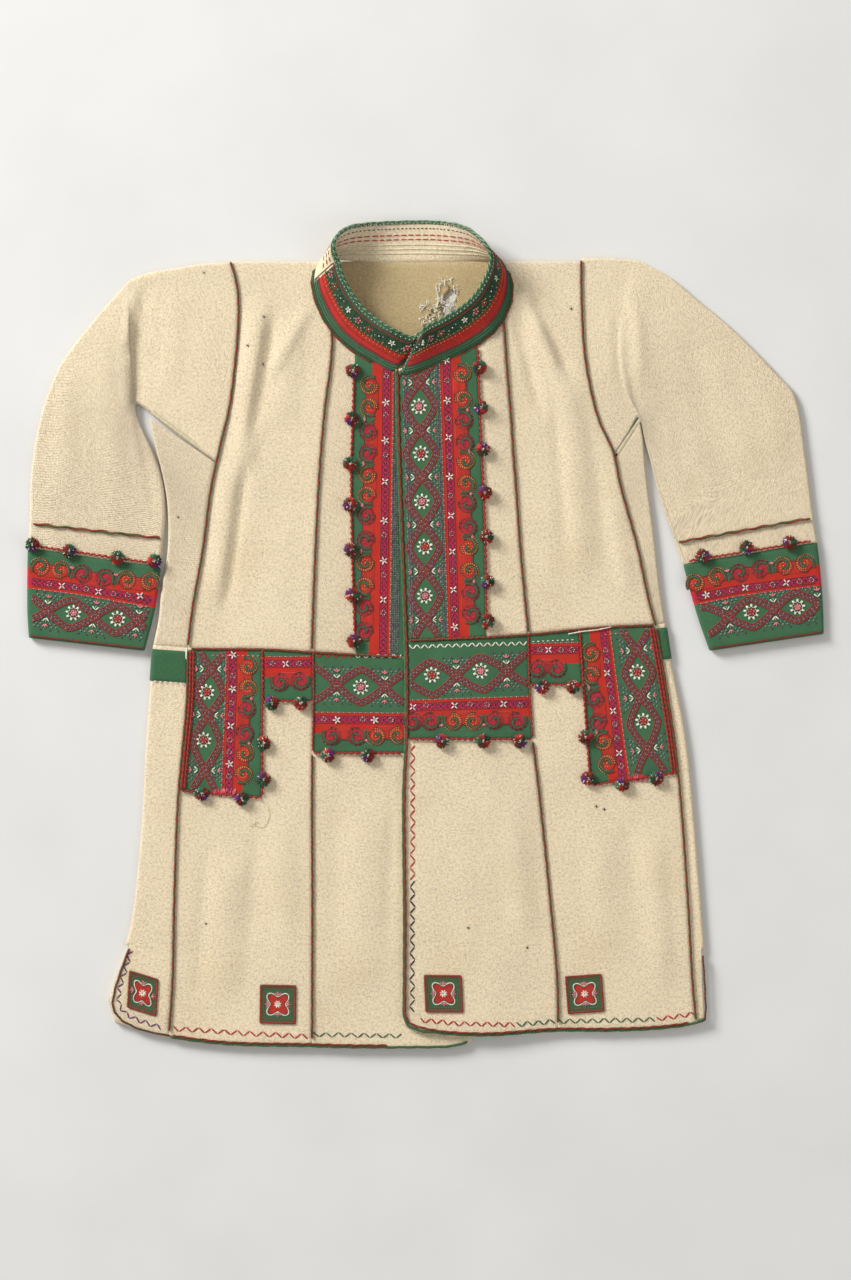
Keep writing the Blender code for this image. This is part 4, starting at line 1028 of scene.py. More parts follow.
class Thread(Enum):
    """Dyes of the threads and yarns, as screen colours."""

    CREAM = (246, 240, 220)
    WOOL = (232, 218, 180)
    RED = (192, 44, 28)
    DARK_RED = (140, 36, 26)
    GREEN = (62, 106, 72)
    DEEP_GREEN = (38, 74, 46)
    PALE_GREEN = (150, 176, 140)
    BROWN = (112, 54, 30)
    CORD_RED = (146, 50, 30)
    OLIVE = (70, 92, 44)
    MAGENTA = (186, 36, 66)
    PURPLE = (110, 44, 112)
    PINK = (232, 132, 142)
    ROSE = (206, 60, 92)
    NAVY = (44, 32, 52)
    LILAC = (134, 112, 124)
    OCHRE = (214, 172, 78)

    @property
    def light(self) -> Array:
        """The dye as linear light."""
        return np.array(linear(self.value))


class Wire:
    """A number in a material's tree: arithmetic on it adds Math nodes."""

    def __init__(self, finish: "Finish", socket: bpy.types.NodeSocket) -> None:
        """Wraps one output socket of a finish."""
        self.finish = finish
        self.socket = socket

    def _with(self, operation: str, first: Any, second: Any = 0.0) -> "Wire":
        """Gives the result of a Math node on two values or wires."""
        made = self.finish.node("Math", {"operation": operation}, {0: first, 1: second})
        return Wire(self.finish, made.outputs[0])

    def __add__(self, other: Any) -> "Wire":
        """Gives self + other."""
        return self._with("ADD", self, other)

    __radd__ = __add__

    def __mul__(self, other: Any) -> "Wire":
        """Gives self · other."""
        return self._with("MULTIPLY", self, other)

    __rmul__ = __mul__

    def __sub__(self, other: Any) -> "Wire":
        """Gives self − other."""
        return self._with("SUBTRACT", self, other)

    def __rsub__(self, other: Any) -> "Wire":
        """Gives other − self."""
        return self._with("SUBTRACT", other, self)

    def __gt__(self, other: Any) -> "Wire":
        """Gives 1 where self is greater than other."""
        return self._with("GREATER_THAN", self, other)

    def sine(self) -> "Wire":
        """Gives the sine."""
        return self._with("SINE", self)


class Finish:
    """A material under construction."""

    def __init__(self, name: str, roughness: float, sheen: float = 0.0) -> None:
        """Starts a material with its Principled shader.

        Args:
            name: The finish's name.
            roughness: Roughness all over.
            sheen: Weight of the fuzz on the cloth.
        """
        self.material = bpy.data.materials.new(name)
        self.material.use_nodes = True
        self.tree = self.material.node_tree
        self.shader = self.tree.nodes["Principled BSDF"]
        self.shader.inputs["Roughness"].default_value = roughness
        self.shader.inputs["Specular IOR Level"].default_value = 0.25
        self.shader.inputs["Sheen Weight"].default_value = sheen
        self.shader.inputs["Sheen Roughness"].default_value = 0.5

    def node(self, kind: str, settings: Optional[dict] = None, inputs: Optional[dict] = None) -> bpy.types.Node:
        """Adds a node.

        Args:
            kind: Its type after "ShaderNode".
            settings: Its own settings, set first; "stops" are a ramp's
                (place, colour) pairs.
            inputs: Values or wires by socket name or number.

        Returns:
            The node.
        """
        made = self.tree.nodes.new("ShaderNode" + kind)
        for key, value in (settings or {}).items():
            if key != "stops":
                setattr(made, key, value)
                continue
            elements = made.color_ramp.elements
            while len(elements) < len(value):
                elements.new(0.5)
            for element, (place, colour) in zip(elements, value):
                element.position = place
                element.color = (*colour, 1.0)
        for key, value in (inputs or {}).items():
            if isinstance(value, Wire):
                self.tree.links.new(value.socket, made.inputs[key])
            else:
                made.inputs[key].default_value = value
        return made

    def wire(self, kind: str, output: Any = 0, settings: Optional[dict] = None, inputs: Optional[dict] = None) -> Wire:
        """Adds a node and gives one of its outputs."""
        return Wire(self, self.node(kind, settings, inputs).outputs[output])

    def cut(self) -> Wire:
        """Gives the cloth's own flat pattern, in metres."""
        return self.wire("UVMap", settings={"uv_map": "cut"})

    def place(self) -> Wire:
        """Gives the place on the object, in metres."""
        return self.wire("TexCoord", "Object")

    def noise(self, where: Wire, scale: float, detail: float = 2.0, roughness: float = 0.5) -> Wire:
        """Gives a noise of 0 to 1 with a scale per metre."""
        inputs = {"Vector": where, "Scale": scale, "Detail": detail, "Roughness": roughness}
        return self.wire("TexNoise", "Fac", inputs=inputs)

    def ramp(self, value: Any, *stops: tuple[float, tuple[float, float, float]]) -> Wire:
        """Gives a colour between the stops."""
        return self.wire("ValToRGB", settings={"stops": stops}, inputs={"Fac": value})

    def mix(self, share: Any, first: Any, second: Any, blend: str = "MIX") -> Wire:
        """Gives two colours blended by a share."""
        settings = {"data_type": "RGBA", "blend_type": blend}
        return self.wire("Mix", 2, settings, {0: share, 6: first, 7: second})

    def relief(self, height: Wire, distance: float, strength: float = 1.0) -> None:
        """Bends the normal by a height of 0 to 1 times a distance in metres."""
        inputs = {"Height": height, "Distance": distance, "Strength": strength}
        self.link("Normal", self.wire("Bump", "Normal", inputs=inputs))

    def link(self, name: str, value: Wire) -> None:
        """Feeds a socket of the shader."""
        self.tree.links.new(value.socket, self.shader.inputs[name])


@dataclass(frozen=True)
class Woollen:
    """Fulled woollen cloth with a plain weave under its nap."""

    name: str
    dye: tuple[float, float, float]
    shade: float = 0.66
    mottle: float = 1.0
    thread_pitch: float = 1.7
    nap_height: float = 0.0016
    stains: bool = False

    def material(self) -> bpy.types.Material:
        """Makes the material.

        The colour runs from shade · dye to dye with the noise of the nap, and
        the relief is nap + weave, weave = sin(2πu / p) · sin(2πv / p).

        Returns:
            The material.
        """
        made = Finish(self.name, 0.93, 0.25)
        where = made.cut()
        split = made.node("SeparateXYZ", None, {"Vector": where})
        turn = 2 * math.pi / (self.thread_pitch * MM)
        u, v = Wire(made, split.outputs[0]), Wire(made, split.outputs[1])
        waver = made.noise(where, 60.0) * 1.4
        weave = (u * turn + waver).sine() * (v * turn + waver).sine()
        nap = made.noise(where, 640.0, 2.0, 0.6)
        clumps = made.noise(where, 330.0, 2.0, 0.6)
        broad = made.noise(where, 14.0, 3.0, 0.55)
        full = linear(self.dye)
        dark = tuple(part * self.shade for part in full)
        pale = tuple(min(1.0, part * 1.16) for part in full)
        tone = nap * 0.50 + clumps * 0.40 + broad * 0.10 + weave * 0.06
        value = (tone - 0.5) * self.mottle + 0.5
        colour = made.ramp(value, (0.36, dark), (0.5, full), (0.62, pale))
        if self.stains:
            stain = made.ramp(made.noise(where, 4.2, 5.0, 0.65), (0.52, (1, 1, 1)), (0.72, (0.86, 0.80, 0.68)))
            colour = made.mix(0.6, colour, stain, "MULTIPLY")
        made.link("Base Color", colour)
        made.relief(nap * 0.8 + clumps * 0.5 + weave * 0.25, self.nap_height)
        return made.material


@dataclass(frozen=True)
class Yarn:
    """Threads and yarns, each stitch with a dye of its own."""

    name: str
    roughness: float = 0.75
    fuzz: float = 1500.0

    def material(self) -> bpy.types.Material:
        """Makes the material from the stitches' dye attribute.

        Returns:
            The material.
        """
        made = Finish(self.name, self.roughness, 0.15)
        dye = made.wire("Attribute", "Color", {"attribute_name": "dye"})
        strands = made.noise(made.place(), self.fuzz, 3.0, 0.6)
        shade = made.ramp(strands, (0.3, (0.70, 0.70, 0.70)), (0.68, (1.0, 1.0, 1.0)))
        made.link("Base Color", made.mix(1.0, dye, shade, "MULTIPLY"))
        made.relief(strands, 0.0004)
        return made.material


@dataclass(frozen=True)
class Surface:
    """Plain pale surface under the coat."""

    name: str = "pale_floor"

    def material(self) -> bpy.types.Material:
        """Makes a matt material with the slightest grain.

        Returns:
            The material.
        """
        made = Finish(self.name, 0.85)
        grain = made.noise(made.place(), 6.0, 4.0)
        made.link("Base Color", made.ramp(grain, (0.3, (0.62, 0.615, 0.60)), (0.7, (0.66, 0.655, 0.64))))
        return made.material


# ---------------------------------------------------------------- needlework


@dataclass
class PlanGround:
    """Cloth seen from above: a place is its plan, its height a field."""

    height: Field
    lift: float = 0.0

    def place(self, plan: Array) -> Array:
        """Gives the points on the cloth over places of the plan."""
        z = self.height(plan[:, 0], plan[:, 1]) + self.lift
        return np.column_stack([plan, z])

    def normal(self, plan: Array) -> Array:
        """Gives the upward normals (−dz/dx, −dz/dy, 1) there.

        Args:
            plan: Plan places, counts by 2.

        Returns:
            Unit ways, counts by 3.
        """
        step = 1.0
        x, y = plan[:, 0], plan[:, 1]
        dx = (self.height(x + step, y) - self.height(x - step, y)) / (2 * step)
        dy = (self.height(x, y + step) - self.height(x, y - step)) / (2 * step)
        up = np.column_stack([-dx, -dy, np.ones(len(plan))])
        return up / np.linalg.norm(up, axis=1, keepdims=True)


@dataclass
class GridGround:
    """Cloth given by a grid: a place is (u, v), lengths along its rows and
    columns, taken between the nearest grid points."""

    grid: Array
    width: float
    height: float
    side: float = 1.0

    def _corner(self, plan: Array) -> tuple[Array, Array, Array, Array]:
        """Gives the cell and the shares within it.

        Args:
            plan: Plan places, counts by 2.

        Returns:
            Row, column and the two shares.
        """
        rows, columns = self.grid.shape[:2]
        a = np.clip(plan[:, 0] / self.width, 0, 1) * (columns - 1)
        b = np.clip(plan[:, 1] / self.height, 0, 1) * (rows - 1)
        i = np.minimum(a.astype(int), columns - 2)
        j = np.minimum(b.astype(int), rows - 2)
        return i, j, (a - i)[:, None], (b - j)[:, None]

    def place(self, plan: Array) -> Array:
        """Gives the points on the cloth.

        Args:
            plan: Plan places, counts by 2.

        Returns:
            Counts by 3.
        """
        i, j, s, t = self._corner(plan)
        g = self.grid
        low = g[j, i] * (1 - s) + g[j, i + 1] * s
        high = g[j + 1, i] * (1 - s) + g[j + 1, i + 1] * s
        return low * (1 - t) + high * t

    def normal(self, plan: Array) -> Array:
        """Gives side · (along the row) × (down the column), of unit length.

        Args:
            plan: Plan places, counts by 2.

        Returns:
            Counts by 3.
        """
        i, j, _, _ = self._corner(plan)
        g = self.grid
        up = np.cross(g[j, i + 1] - g[j, i], g[j + 1, i] - g[j, i]) * self.side
        return up / (np.linalg.norm(up, axis=1, keepdims=True) + 1e-9)


def spaced(path: Array, step: float) -> Array:
    """Gives points at equal steps along a path of any dimension.

    Args:
        path: Points along the path.
        step: Distance of the points.

    Returns:
        Counts by the path's dimension.
    """
    lengths = np.concatenate([[0.0], np.cumsum(np.linalg.norm(np.diff(path, axis=0), axis=1))])
    count = max(2, int(round(lengths[-1] / step)) + 1)
    at = np.linspace(0, lengths[-1], count)
    return np.stack([np.interp(at, lengths, path[:, k]) for k in range(path.shape[1])], 1)


def beside(path: Array, by: float) -> Array:
    """Gives a plan path moved to its left by a distance.

    Args:
        path: Points along the path.
        by: The distance.

    Returns:
        Counts by 2.
    """
    run = np.gradient(path, axis=0)
    run /= np.linalg.norm(run, axis=1, keepdims=True) + 1e-9
    return path + np.column_stack([-run[:, 1], run[:, 0]]) * by


class Needlework:
    """Gathers stitches on a ground and lays them as one mesh.

    A stitch is a grain of 8 points: its two ends on the cloth, and two rings
    of left, top and right at 0.2 and 0.8 of its length.
    """

    SHAPE = np.array(
        [
            [0, 0, 0.1],
            [0.2, -0.5, 0],
            [0.2, 0, 1],
            [0.2, 0.5, 0],
            [0.8, -0.5, 0],
            [0.8, 0, 1],
            [0.8, 0.5, 0],
            [1, 0, 0.1],
        ]
    )
    FLANKS = np.array([[1, 2, 5, 4], [2, 3, 6, 5], [3, 1, 4, 6]])
    TIPS = np.array([[0, 2, 1], [0, 3, 2], [0, 1, 3], [7, 4, 5], [7, 5, 6], [7, 6, 4]])

    def __init__(self, ground: Any, seed: int) -> None:
        """Starts with an empty ground.

        Args:
            ground: What the stitches lie on.
            seed: Seed of their unevenness.
        """
        self.ground = ground
        self.random = np.random.default_rng(seed)
        self.parts: list[tuple[Array, Array, Array, Array, Array, Array]] = []

    def free(self, starts: Array, ends: Array, up: Array, width: Any, height: Any, dye: Array) -> None:
        """Adds stitches anywhere in space.

        Args:
            starts: Their first ends, counts by 3.
            ends: Their second ends.
            up: The way that their backs face.
            width: Their width, one or an array.
            height: Their height over the line of their ends.
            dye: One linear colour or one for each.
        """
        count = len(starts)
        tint = 1 + 0.13 * self.random.uniform(-1, 1, (count, 1))
        dyes = np.clip(np.broadcast_to(dye, (count, 3)) * tint, 0, 1)
        wide = np.broadcast_to(width, (count,)) * (1 + 0.1 * self.random.uniform(-1, 1, count))
        self.parts.append((starts, ends, up, wide, np.broadcast_to(height, (count,)), dyes))

    def sew(
        self, starts: Array, ends: Array, thread: Any, width: float = 1.0, lift: float = 0.1, height: float = 0.5
    ) -> None:
        """Adds stitches between places of the ground's plan.

        Args:
            starts: Plan places of their first ends.
            ends: Plan places of their second ends.
            thread: A thread, or linear colours.
            width: Width of a stitch.
            lift: Height of the ends over the ground.
            height: Height of the back over the ends.
        """
        dye = thread.light if isinstance(thread, Thread) else thread
        middle = self.ground.normal((starts + ends) / 2)
        first = self.ground.place(starts) + middle * lift
        last = self.ground.place(ends) + middle * lift
        self.free(first, last, middle, width, height, dye)

    def line(self, path: Array, thread: Thread, width: float = 0.9, step: float = 2.3, lift: float = 0.1) -> None:
        """Sews a stem-stitched line, each stitch leaning over the next.

        Args:
            path: Points along the path.
            thread: Its dye.
            width: Width of a stitch.
            step: Length of a stitch.
            lift: Height of the ends over the ground.
        """
        spots = spaced(path, step)
        run = np.diff(spots, axis=0)
        side = np.column_stack([-run[:, 1], run[:, 0]]) * 0.10
        self.sew(spots[:-1] - run * 0.18 - side, spots[1:] + run * 0.18 + side, thread, width, lift)

    def dashes(
        self, path: Array, thread: Thread, length: float, gap: float, width: float = 0.9, lift: float = 0.3
    ) -> None:
        """Sews running stitches of a length with gaps between them.

        Args:
            path: Points along the path.
            thread: Its dye.
            length: Length of a stitch.
            gap: Length of the bare cloth between.
            width: Width of a stitch.
            lift: Height of the ends over the ground.
        """
        spots = spaced(path, length + gap)
        run = np.diff(spots, axis=0)
        share = length / (length + gap)
        self.sew(spots[:-1], spots[:-1] + run * share, thread, width, lift)

    def knots(self, places: Array, thread: Any, size: float = 1.2, lift: float = 0.3) -> None:
        """Sews one small raised knot at each place.

        Args:
            places: Plan places.
            thread: A thread, or linear colours.
            size: Size in millimetres.
            lift: Height of the ends over the ground.
        """
        angle = self.random.uniform(0, np.pi, len(places))
        half = np.column_stack([np.cos(angle), np.sin(angle)]) * size / 2
        self.sew(places - half, places + half, thread, size * 0.85, lift, 0.55)

    def dots(self, path: Array, threads: Sequence[Thread], step: float = 2.1, size: float = 1.15) -> None:
        """Sews knots along a path, their dyes in turn.

        Args:
            path: Points along the path.
            threads: The dyes, in turn.
            step: Distance of the knots.
            size: Size in millimetres.
        """
        places = spaced(path, step)
        dyes = np.array([thread.light for thread in threads])
        self.knots(places, dyes[np.arange(len(places)) % len(threads)], size)

    def zigzag(self, path: Array, thread: Thread, pitch: float, height: float, width: float = 1.0) -> None:
        """Sews a zigzag along a path.

        Args:
            path: Points along the path.
            thread: Its dye.
            pitch: Length of one wave.
            height: Its height from point to point.
            width: Width of a stitch.
        """
        spots = spaced(path, pitch / 2)
        high = np.arange(len(spots)) % 2 == 0
        corners = np.where(high[:, None], beside(spots, height / 2), beside(spots, -height / 2))
        corners += self.random.uniform(-0.25, 0.25, corners.shape)
        self.sew(corners[:-1], corners[1:], thread, width, 0.25)

    def satin(self, first: Array, second: Array, thread: Any, width: float = 1.0, lift: float = 0.05) -> None:
        """Sews across between two like paths."""
        self.sew(first, second, thread, width, lift, 0.4)

    def star(self, centre: Array, size: float, arms: int = 5, thread: Thread = Thread.CREAM) -> None:
        """Sews a small star of crossing stitches.

        Args:
            centre: Its middle.
            size: Length of an arm.
            arms: Number of its arms.
            thread: Its dye.
        """
        angle = 2 * np.pi * (np.arange(arms) + 0.5 + self.random.uniform(-0.1, 0.1)) / arms
        reach = np.column_stack([np.cos(angle), np.sin(angle)])
        near = np.repeat(centre[None], arms, 0)
        self.sew(near + reach * 0.4, near + reach * size, thread, 1.45, 0.5, 0.6)

    def build(self, name: str, material: bpy.types.Material) -> Optional[bpy.types.Object]:
        """Makes the mesh of all the stitches gathered.

        point = start + (end − start) · s + side · w · a + up · h · b for each
        (s, a, b) of the shape, with side = run × up.

        Args:
            name: The piece's name.
            material: The yarn's finish.

        Returns:
            The object, or None where nothing was sewn.
        """
        if not self.parts:
            return None
        starts, ends, up, wide, high, dyes = (np.concatenate(part) for part in zip(*self.parts))
        run = ends - starts
        side = np.cross(run, up)
        side /= np.linalg.norm(side, axis=1, keepdims=True) + 1e-9
        s, a, b = self.SHAPE.T
        points = (
            starts[:, None]
            + run[:, None] * s[None, :, None]
            + side[:, None] * (wide[:, None] * a)[:, :, None]
            + up[:, None] * (high[:, None] * b)[:, :, None]
        )
        corners = len(self.SHAPE)
        first = corners * np.arange(len(starts))[:, None, None]
        flanks, tips = (self.FLANKS + first).reshape(-1, 4), (self.TIPS + first).reshape(-1, 3)
        mesh = Mesh(points.reshape(-1, 3), flanks, dyes=np.repeat(dyes, corners, 0), tips=tips)
        return mesh.build(name, [material])


# ---------------------------------------------------------------- cloth


@dataclass
class Dyehouse:
    """Every finish of the coat, made once."""

    wool: bpy.types.Material = field(init=False)
    inside: bpy.types.Material = field(init=False)
    green: bpy.types.Material = field(init=False)
    band: bpy.types.Material = field(init=False)
    yarn: bpy.types.Material = field(init=False)

    def __post_init__(self) -> None:
        """Makes the materials."""
        self.wool = Woollen("cream_wool_cloth", (246, 225, 190), stains=True).material()
        # The inside wool is darker than the outside: partly the inside's own colour, partly painted shade where the
        # back's inside shows under the collar.
        self.inside = Woollen("wool_inside_with_painted_shade", (198, 175, 130), 0.72, 1.0, 2.2).material()
        self.green = Woollen("green_band_cloth", (54, 100, 64), 0.66, 0.7, 1.2, 0.0007).material()
        self.band = Zoned("embroidered_ground").material()
        self.yarn = Yarn("stitched_yarn").material()


@dataclass(frozen=True)
class Zoned:
    """Ground of an embroidered band: strips of cloth beside its purple row.

    The band's own pattern has u = distance from the row, so that a ramp of
    even colours over u is a set of strips with slightly uneven edges.
    """

    name: str
    reach: float = 40.0
    strips: tuple[tuple[float, Thread], ...] = (
        (-40.0, Thread.GREEN),
        (-7.6, Thread.RED),
        (-3.6, Thread.MAGENTA),
        (3.6, Thread.RED),
        (14.5, Thread.GREEN),
    )
    plain: Optional[tuple[float, float]] = None

    def material(self) -> bpy.types.Material:
        """Makes the material.

        Returns:
            The material, u / (2 · reach) + 0.5 read by a stepped ramp.
        """
        made = Finish(self.name, 0.92, 0.2)
        where = made.cut()
        split = made.node("SeparateXYZ", None, {"Vector": where})
        waver = (made.noise(where, 210.0) - 0.5) * 0.0016
        share = (Wire(made, split.outputs[0]) + waver) * (1 / (2 * self.reach * MM)) + 0.5
        stops = tuple(((at / self.reach + 1) / 2, linear(thread.value)) for at, thread in self.strips)
        zones = made.node("ValToRGB", {"stops": stops}, {"Fac": share})
        zones.color_ramp.interpolation = "CONSTANT"
        ground = Wire(made, zones.outputs[0])
        if self.plain:
            along = Wire(made, split.outputs[1])
            bare = (along > self.plain[0] * MM) * (1 - (along > self.plain[1] * MM))
            ground = made.mix(bare, ground, (*Thread.WOOL.light, 1.0))
        nap = made.noise(where, 900.0, 3.0, 0.6)
        worn = made.noise(where, 45.0, 4.0, 0.6)
        shade = made.ramp(nap * 0.5 + worn * 0.5, (0.3, (0.62, 0.62, 0.62)), (0.66, (1.0, 1.0, 1.0)))
        made.link("Base Color", made.mix(0.9, ground, shade, "MULTIPLY"))
        made.relief(nap, 0.0007)
        return made.material


def lay_cloth(
    node: str,
    outer: Array,
    inner: Array,
    finishes: Sequence[bpy.types.Material],
    slot: str,
    ring: bool = False,
    cut: Optional[Array] = None,
) -> bpy.types.Object:
    """Lays a cloth wall in place of its solid and states its cut.

    Args:
        node: The solid that it stands for.
        outer: Grid of its outer face.
        inner: Grid of its inner face.
        finishes: Finish of the outer face and of the inner one.
        slot: Not used.
        ring: True for a tube.
        cut: Pattern coordinates of the outer grid.

    Returns:
        The object.
    """
    made = wall_mesh(outer, inner, ring, cut).build(node + "_cloth", finishes)
    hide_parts(node)
    closed = np.concatenate([outer, outer[:, :1]], 1) if ring else outer
    wide = float(np.linalg.norm(np.diff(closed, axis=1), axis=-1).sum(1).max()) * MM
    long = float(np.linalg.norm(np.diff(closed, axis=0), axis=-1).sum(0).max()) * MM
    area = min(area_of(closed) * MM * MM, wide * long)
    if area < 0.3 * wide * long:
        long = area / wide / 0.9
    log.info("%s cut %.0f x %.0f mm, %.4f m2", node, wide / MM, long / MM, area)
    return made


@dataclass
class Floor:
    """The pale surface under the coat."""

    half: float = 12.0
    drop: float = 0.0006

    def lay(self) -> bpy.types.Object:
        """Makes the floor: a square sheet of 4 by 4 cells, not a piece.

        Returns:
            The object.
        """
        line = np.linspace(-self.half, self.half, 5)
        x, y = np.meshgrid(line, line)
        mesh = bpy.data.meshes.new("floor")
        points = np.stack([x, y, np.full_like(x, -self.drop)], -1).reshape(-1, 3)
        mesh.from_pydata(points, [], grid_faces(np.arange(25).reshape(5, 5)).tolist())
        mesh.materials.append(Surface().material())
        made = bpy.data.objects.new("floor", mesh)
        bpy.context.scene.collection.objects.link(made)
        return made


@dataclass
class Body:
    """The upper body, the skirt and their folded sides."""

    dyes: Dyehouse
    shoulder_top: float = SHOULDER_Y - EDGE_RADIUS
    return_y: float = RETURN_Y
    arc_steps: int = 9

    def build(self) -> None:
        """Builds the panels in the order in which they lie."""
        self.backs()
        self.side_strips()
        self.fronts()
        self.skirts()
        self.sides()

    @staticmethod
    def back_top(x: Array) -> Array:
        """Gives the back's top: high at the neck, low under the returns."""
        return np.where((x > -108.0) & (x < 79.0), SHOULDER_Y - 0.6, RETURN_Y - GAP)

    @staticmethod
    def back_waist(x: Array) -> Array:
        """Gives the back's waist seam."""
        return 2.0 - 0.004 * x

    @staticmethod
    def back_hem(x: Array) -> Array:
        """Gives the back's hem: a slope with a shallow bow."""
        share = (x + 270.0) / 555.0
        return -421.0 + 13.0 * share - 7.0 * np.sin(np.pi * share)

    def panel(self, node: str, grid: Array, inside_up: bool = False) -> bpy.types.Object:
        """Lays one panel: its grid, and the grid a wall lower.

        Args:
            node: The solid that it stands for.
            grid: Grid of its upper face.
            inside_up: True where its upper face is the coat's inside.

        Returns:
            The object.
        """
        finishes = [self.dyes.wool, self.dyes.inside]
        if inside_up:
            finishes.reverse()
        low = grid * np.array([1.0, 1.0, 0.0]) if inside_up else raised(grid, -WALL)
        return lay_cloth(node, grid, low, finishes, "cream_wool")

    def backs(self) -> None:
        """Lays the back's two panels and cuts the rip through the upper one."""
        seam_left, seam_right = moved(armhole_left, BACK_SEAM), moved(armhole_right, -BACK_SEAM)
        waist = moved(self.back_waist, GAP / 2)
        grid = panel_grid(seam_left, seam_right, self.back_top, waist, Lay.floor, BACK_PITCH)
        upper = self.panel("back_upper", grid, True)
        rip = ragged_ring(np.array([RIP_X, RIP_Y]), (RIP_HALF_WIDTH, RIP_HALF_LENGTH), 0.2, 26, 3)
        holes = [ragged_ring(Mark(*spot).plan, (1.7, 2.1), 0.0, 9, n) for n, spot in enumerate(SMALL_HOLES)]
        carve(upper, [rip, *holes], -5.0, 8.0)
        grid = panel_grid(
            moved(skirt_side_left, BACK_SEAM),
            moved(skirt_side_right, -BACK_SEAM),
            moved(self.back_waist, -GAP / 2),
            self.back_hem,
            Lay.floor,
            BACK_PITCH,
        )
        self.panel("back_skirt", grid, True)

    def over_shoulder(self, grid: Array) -> tuple[Array, Array]:
        """Adds the turn over the shoulder and the return on the back.

        The turn is the half circle y + r·cos a, r + r·sin a with r = z / 2,
        for a from −90° to 90°, and the return runs flat to its end line.

        Args:
            grid: The strip, its first row one radius below the shoulder.

        Returns:
            The outer and the inner grid.
        """
        first = grid[0]
        angle = np.linspace(-np.pi / 2, np.pi / 2, self.arc_steps)[:-1, None]
        radius = first[None, :, 2] / 2
        ones = np.ones_like(angle)
        arcs = []
        for r in (radius, radius - WALL):
            x, y = first[None, :, 0] * ones, first[None, :, 1] + r * np.cos(angle)
            arcs.append(np.stack([x, y, radius + r * np.sin(angle)], -1))
        share = np.linspace(1, 0, 5)[:-1, None]
        y = self.return_y * share + first[None, :, 1] * (1 - share)
        x = first[None, :, 0] * np.ones_like(share)
        flat = [np.stack([x, y, np.full_like(y, z)], -1) for z in (0.0, WALL)]
        outer = np.concatenate([flat[0], arcs[0], grid])
        inner = np.concatenate([flat[1], arcs[1], raised(grid, -WALL)])
        return outer, inner

    def side_strips(self) -> None:
        """Lays the strips beside the armholes, over the shoulders."""
        sets = (
            ("front_side_left", armhole_left, princess_left, waist_left),
            ("front_side_right", princess_right, armhole_right, waist_right),
        )
        for node, left, right, waist in sets:
            grid = panel_grid(
                moved(left, SEAM / 2),
                moved(right, -SEAM / 2),
                level(self.shoulder_top),
                moved(waist, GAP / 2),
                Lay.left,
            )
            outer, inner = self.over_shoulder(grid)
            finishes = [self.dyes.wool, self.dyes.inside]
            lay_cloth(node, outer, inner, finishes, "cream_wool")

    def fronts(self) -> None:
        """Lays the two centre fronts, the right one over the left one."""
        grid = panel_grid(
            moved(princess_left, SEAM / 2), under_edge, neck_left, moved(waist_left, GAP / 2), Lay.left
        )
        self.panel("front_centre_left", grid)
        grid = panel_grid(
            upper_edge, moved(princess_right, -SEAM / 2), neck_right, moved(waist_right, GAP / 2), Lay.right
        )
        self.panel("front_centre_right", grid)

    def skirts(self) -> None:
        """Lays the four skirt fronts."""
        high, low = moved(waist_left, -GAP / 2), hem_left
        left, right = moved(skirt_side_left, SEAM / 2), moved(skirt_princess_left, -SEAM / 2)
        self.panel("skirt_side_left", panel_grid(left, right, high, low, Lay.left))
        left = moved(skirt_princess_left, SEAM / 2)
        self.panel("skirt_centre_left", panel_grid(left, under_edge, high, low, Lay.left))
        high, low = moved(waist_right, -GAP / 2), hem_right
        left, right = moved(skirt_princess_right, SEAM / 2), moved(skirt_side_right, -SEAM / 2)
        self.panel("skirt_side_right", panel_grid(left, right, high, low, Lay.left))
        right = moved(skirt_princess_right, -SEAM / 2)
        grid = panel_grid(upper_edge, right, high, low, Lay.right)
        self.panel("skirt_centre_right", grid)

    def sides(self) -> None:
        """Lays the side panels and the gores, and opens the gores' vents."""
        sets = (
            ("side_left", SIDE_LEFT, armhole_left, -1),
            ("side_right", SIDE_RIGHT, armhole_right, 1),
            ("gore_left", GORE_LEFT, skirt_side_left, -1),
            ("gore_right", GORE_RIGHT, skirt_side_right, 1),
        )
        for node, rows, seam, outward in sets:
            outer, inner = side_fold(rows, seam, outward)
            finishes = [self.dyes.wool, self.dyes.inside]
            made = lay_cloth(node, outer, inner, finishes, "cream_wool")
            if node.startswith("gore"):
                inset = outward * (EDGE_RADIUS + 0.4)
                vent = rows[VENT_SECTION:]
                ring = [(row.fold_x - inset, row.fold_y) for row in vent]
                ring += [(vent[-1].fold_x - inset, vent[-1].fold_y - 40.0)]
                ring += [(vent[-1].fold_x + outward * 20.0, vent[-1].fold_y - 40.0)]
                ring += [(vent[0].fold_x + outward * 20.0, vent[0].fold_y)]
                carve(made, [np.array(ring)[::outward]], -5.0, FRONT_TOP + 8.0)


def fine_sections(rows: Sequence[Any], step: Array, pitch: float = PITCH) -> Array:
    """Gives section numbers with fractions, spaced by the pitch.

    Args:
        rows: The table of sections.
        step: Distance from each section to the next one.
        pitch: Distance wanted.

    Returns:
        The numbers, the whole ones among them.
    """
    parts = [np.linspace(k, k + 1, max(1, int(round(d / pitch))), endpoint=False) for k, d in enumerate(step)]
    return np.concatenate([*parts, [len(rows) - 1.0]])


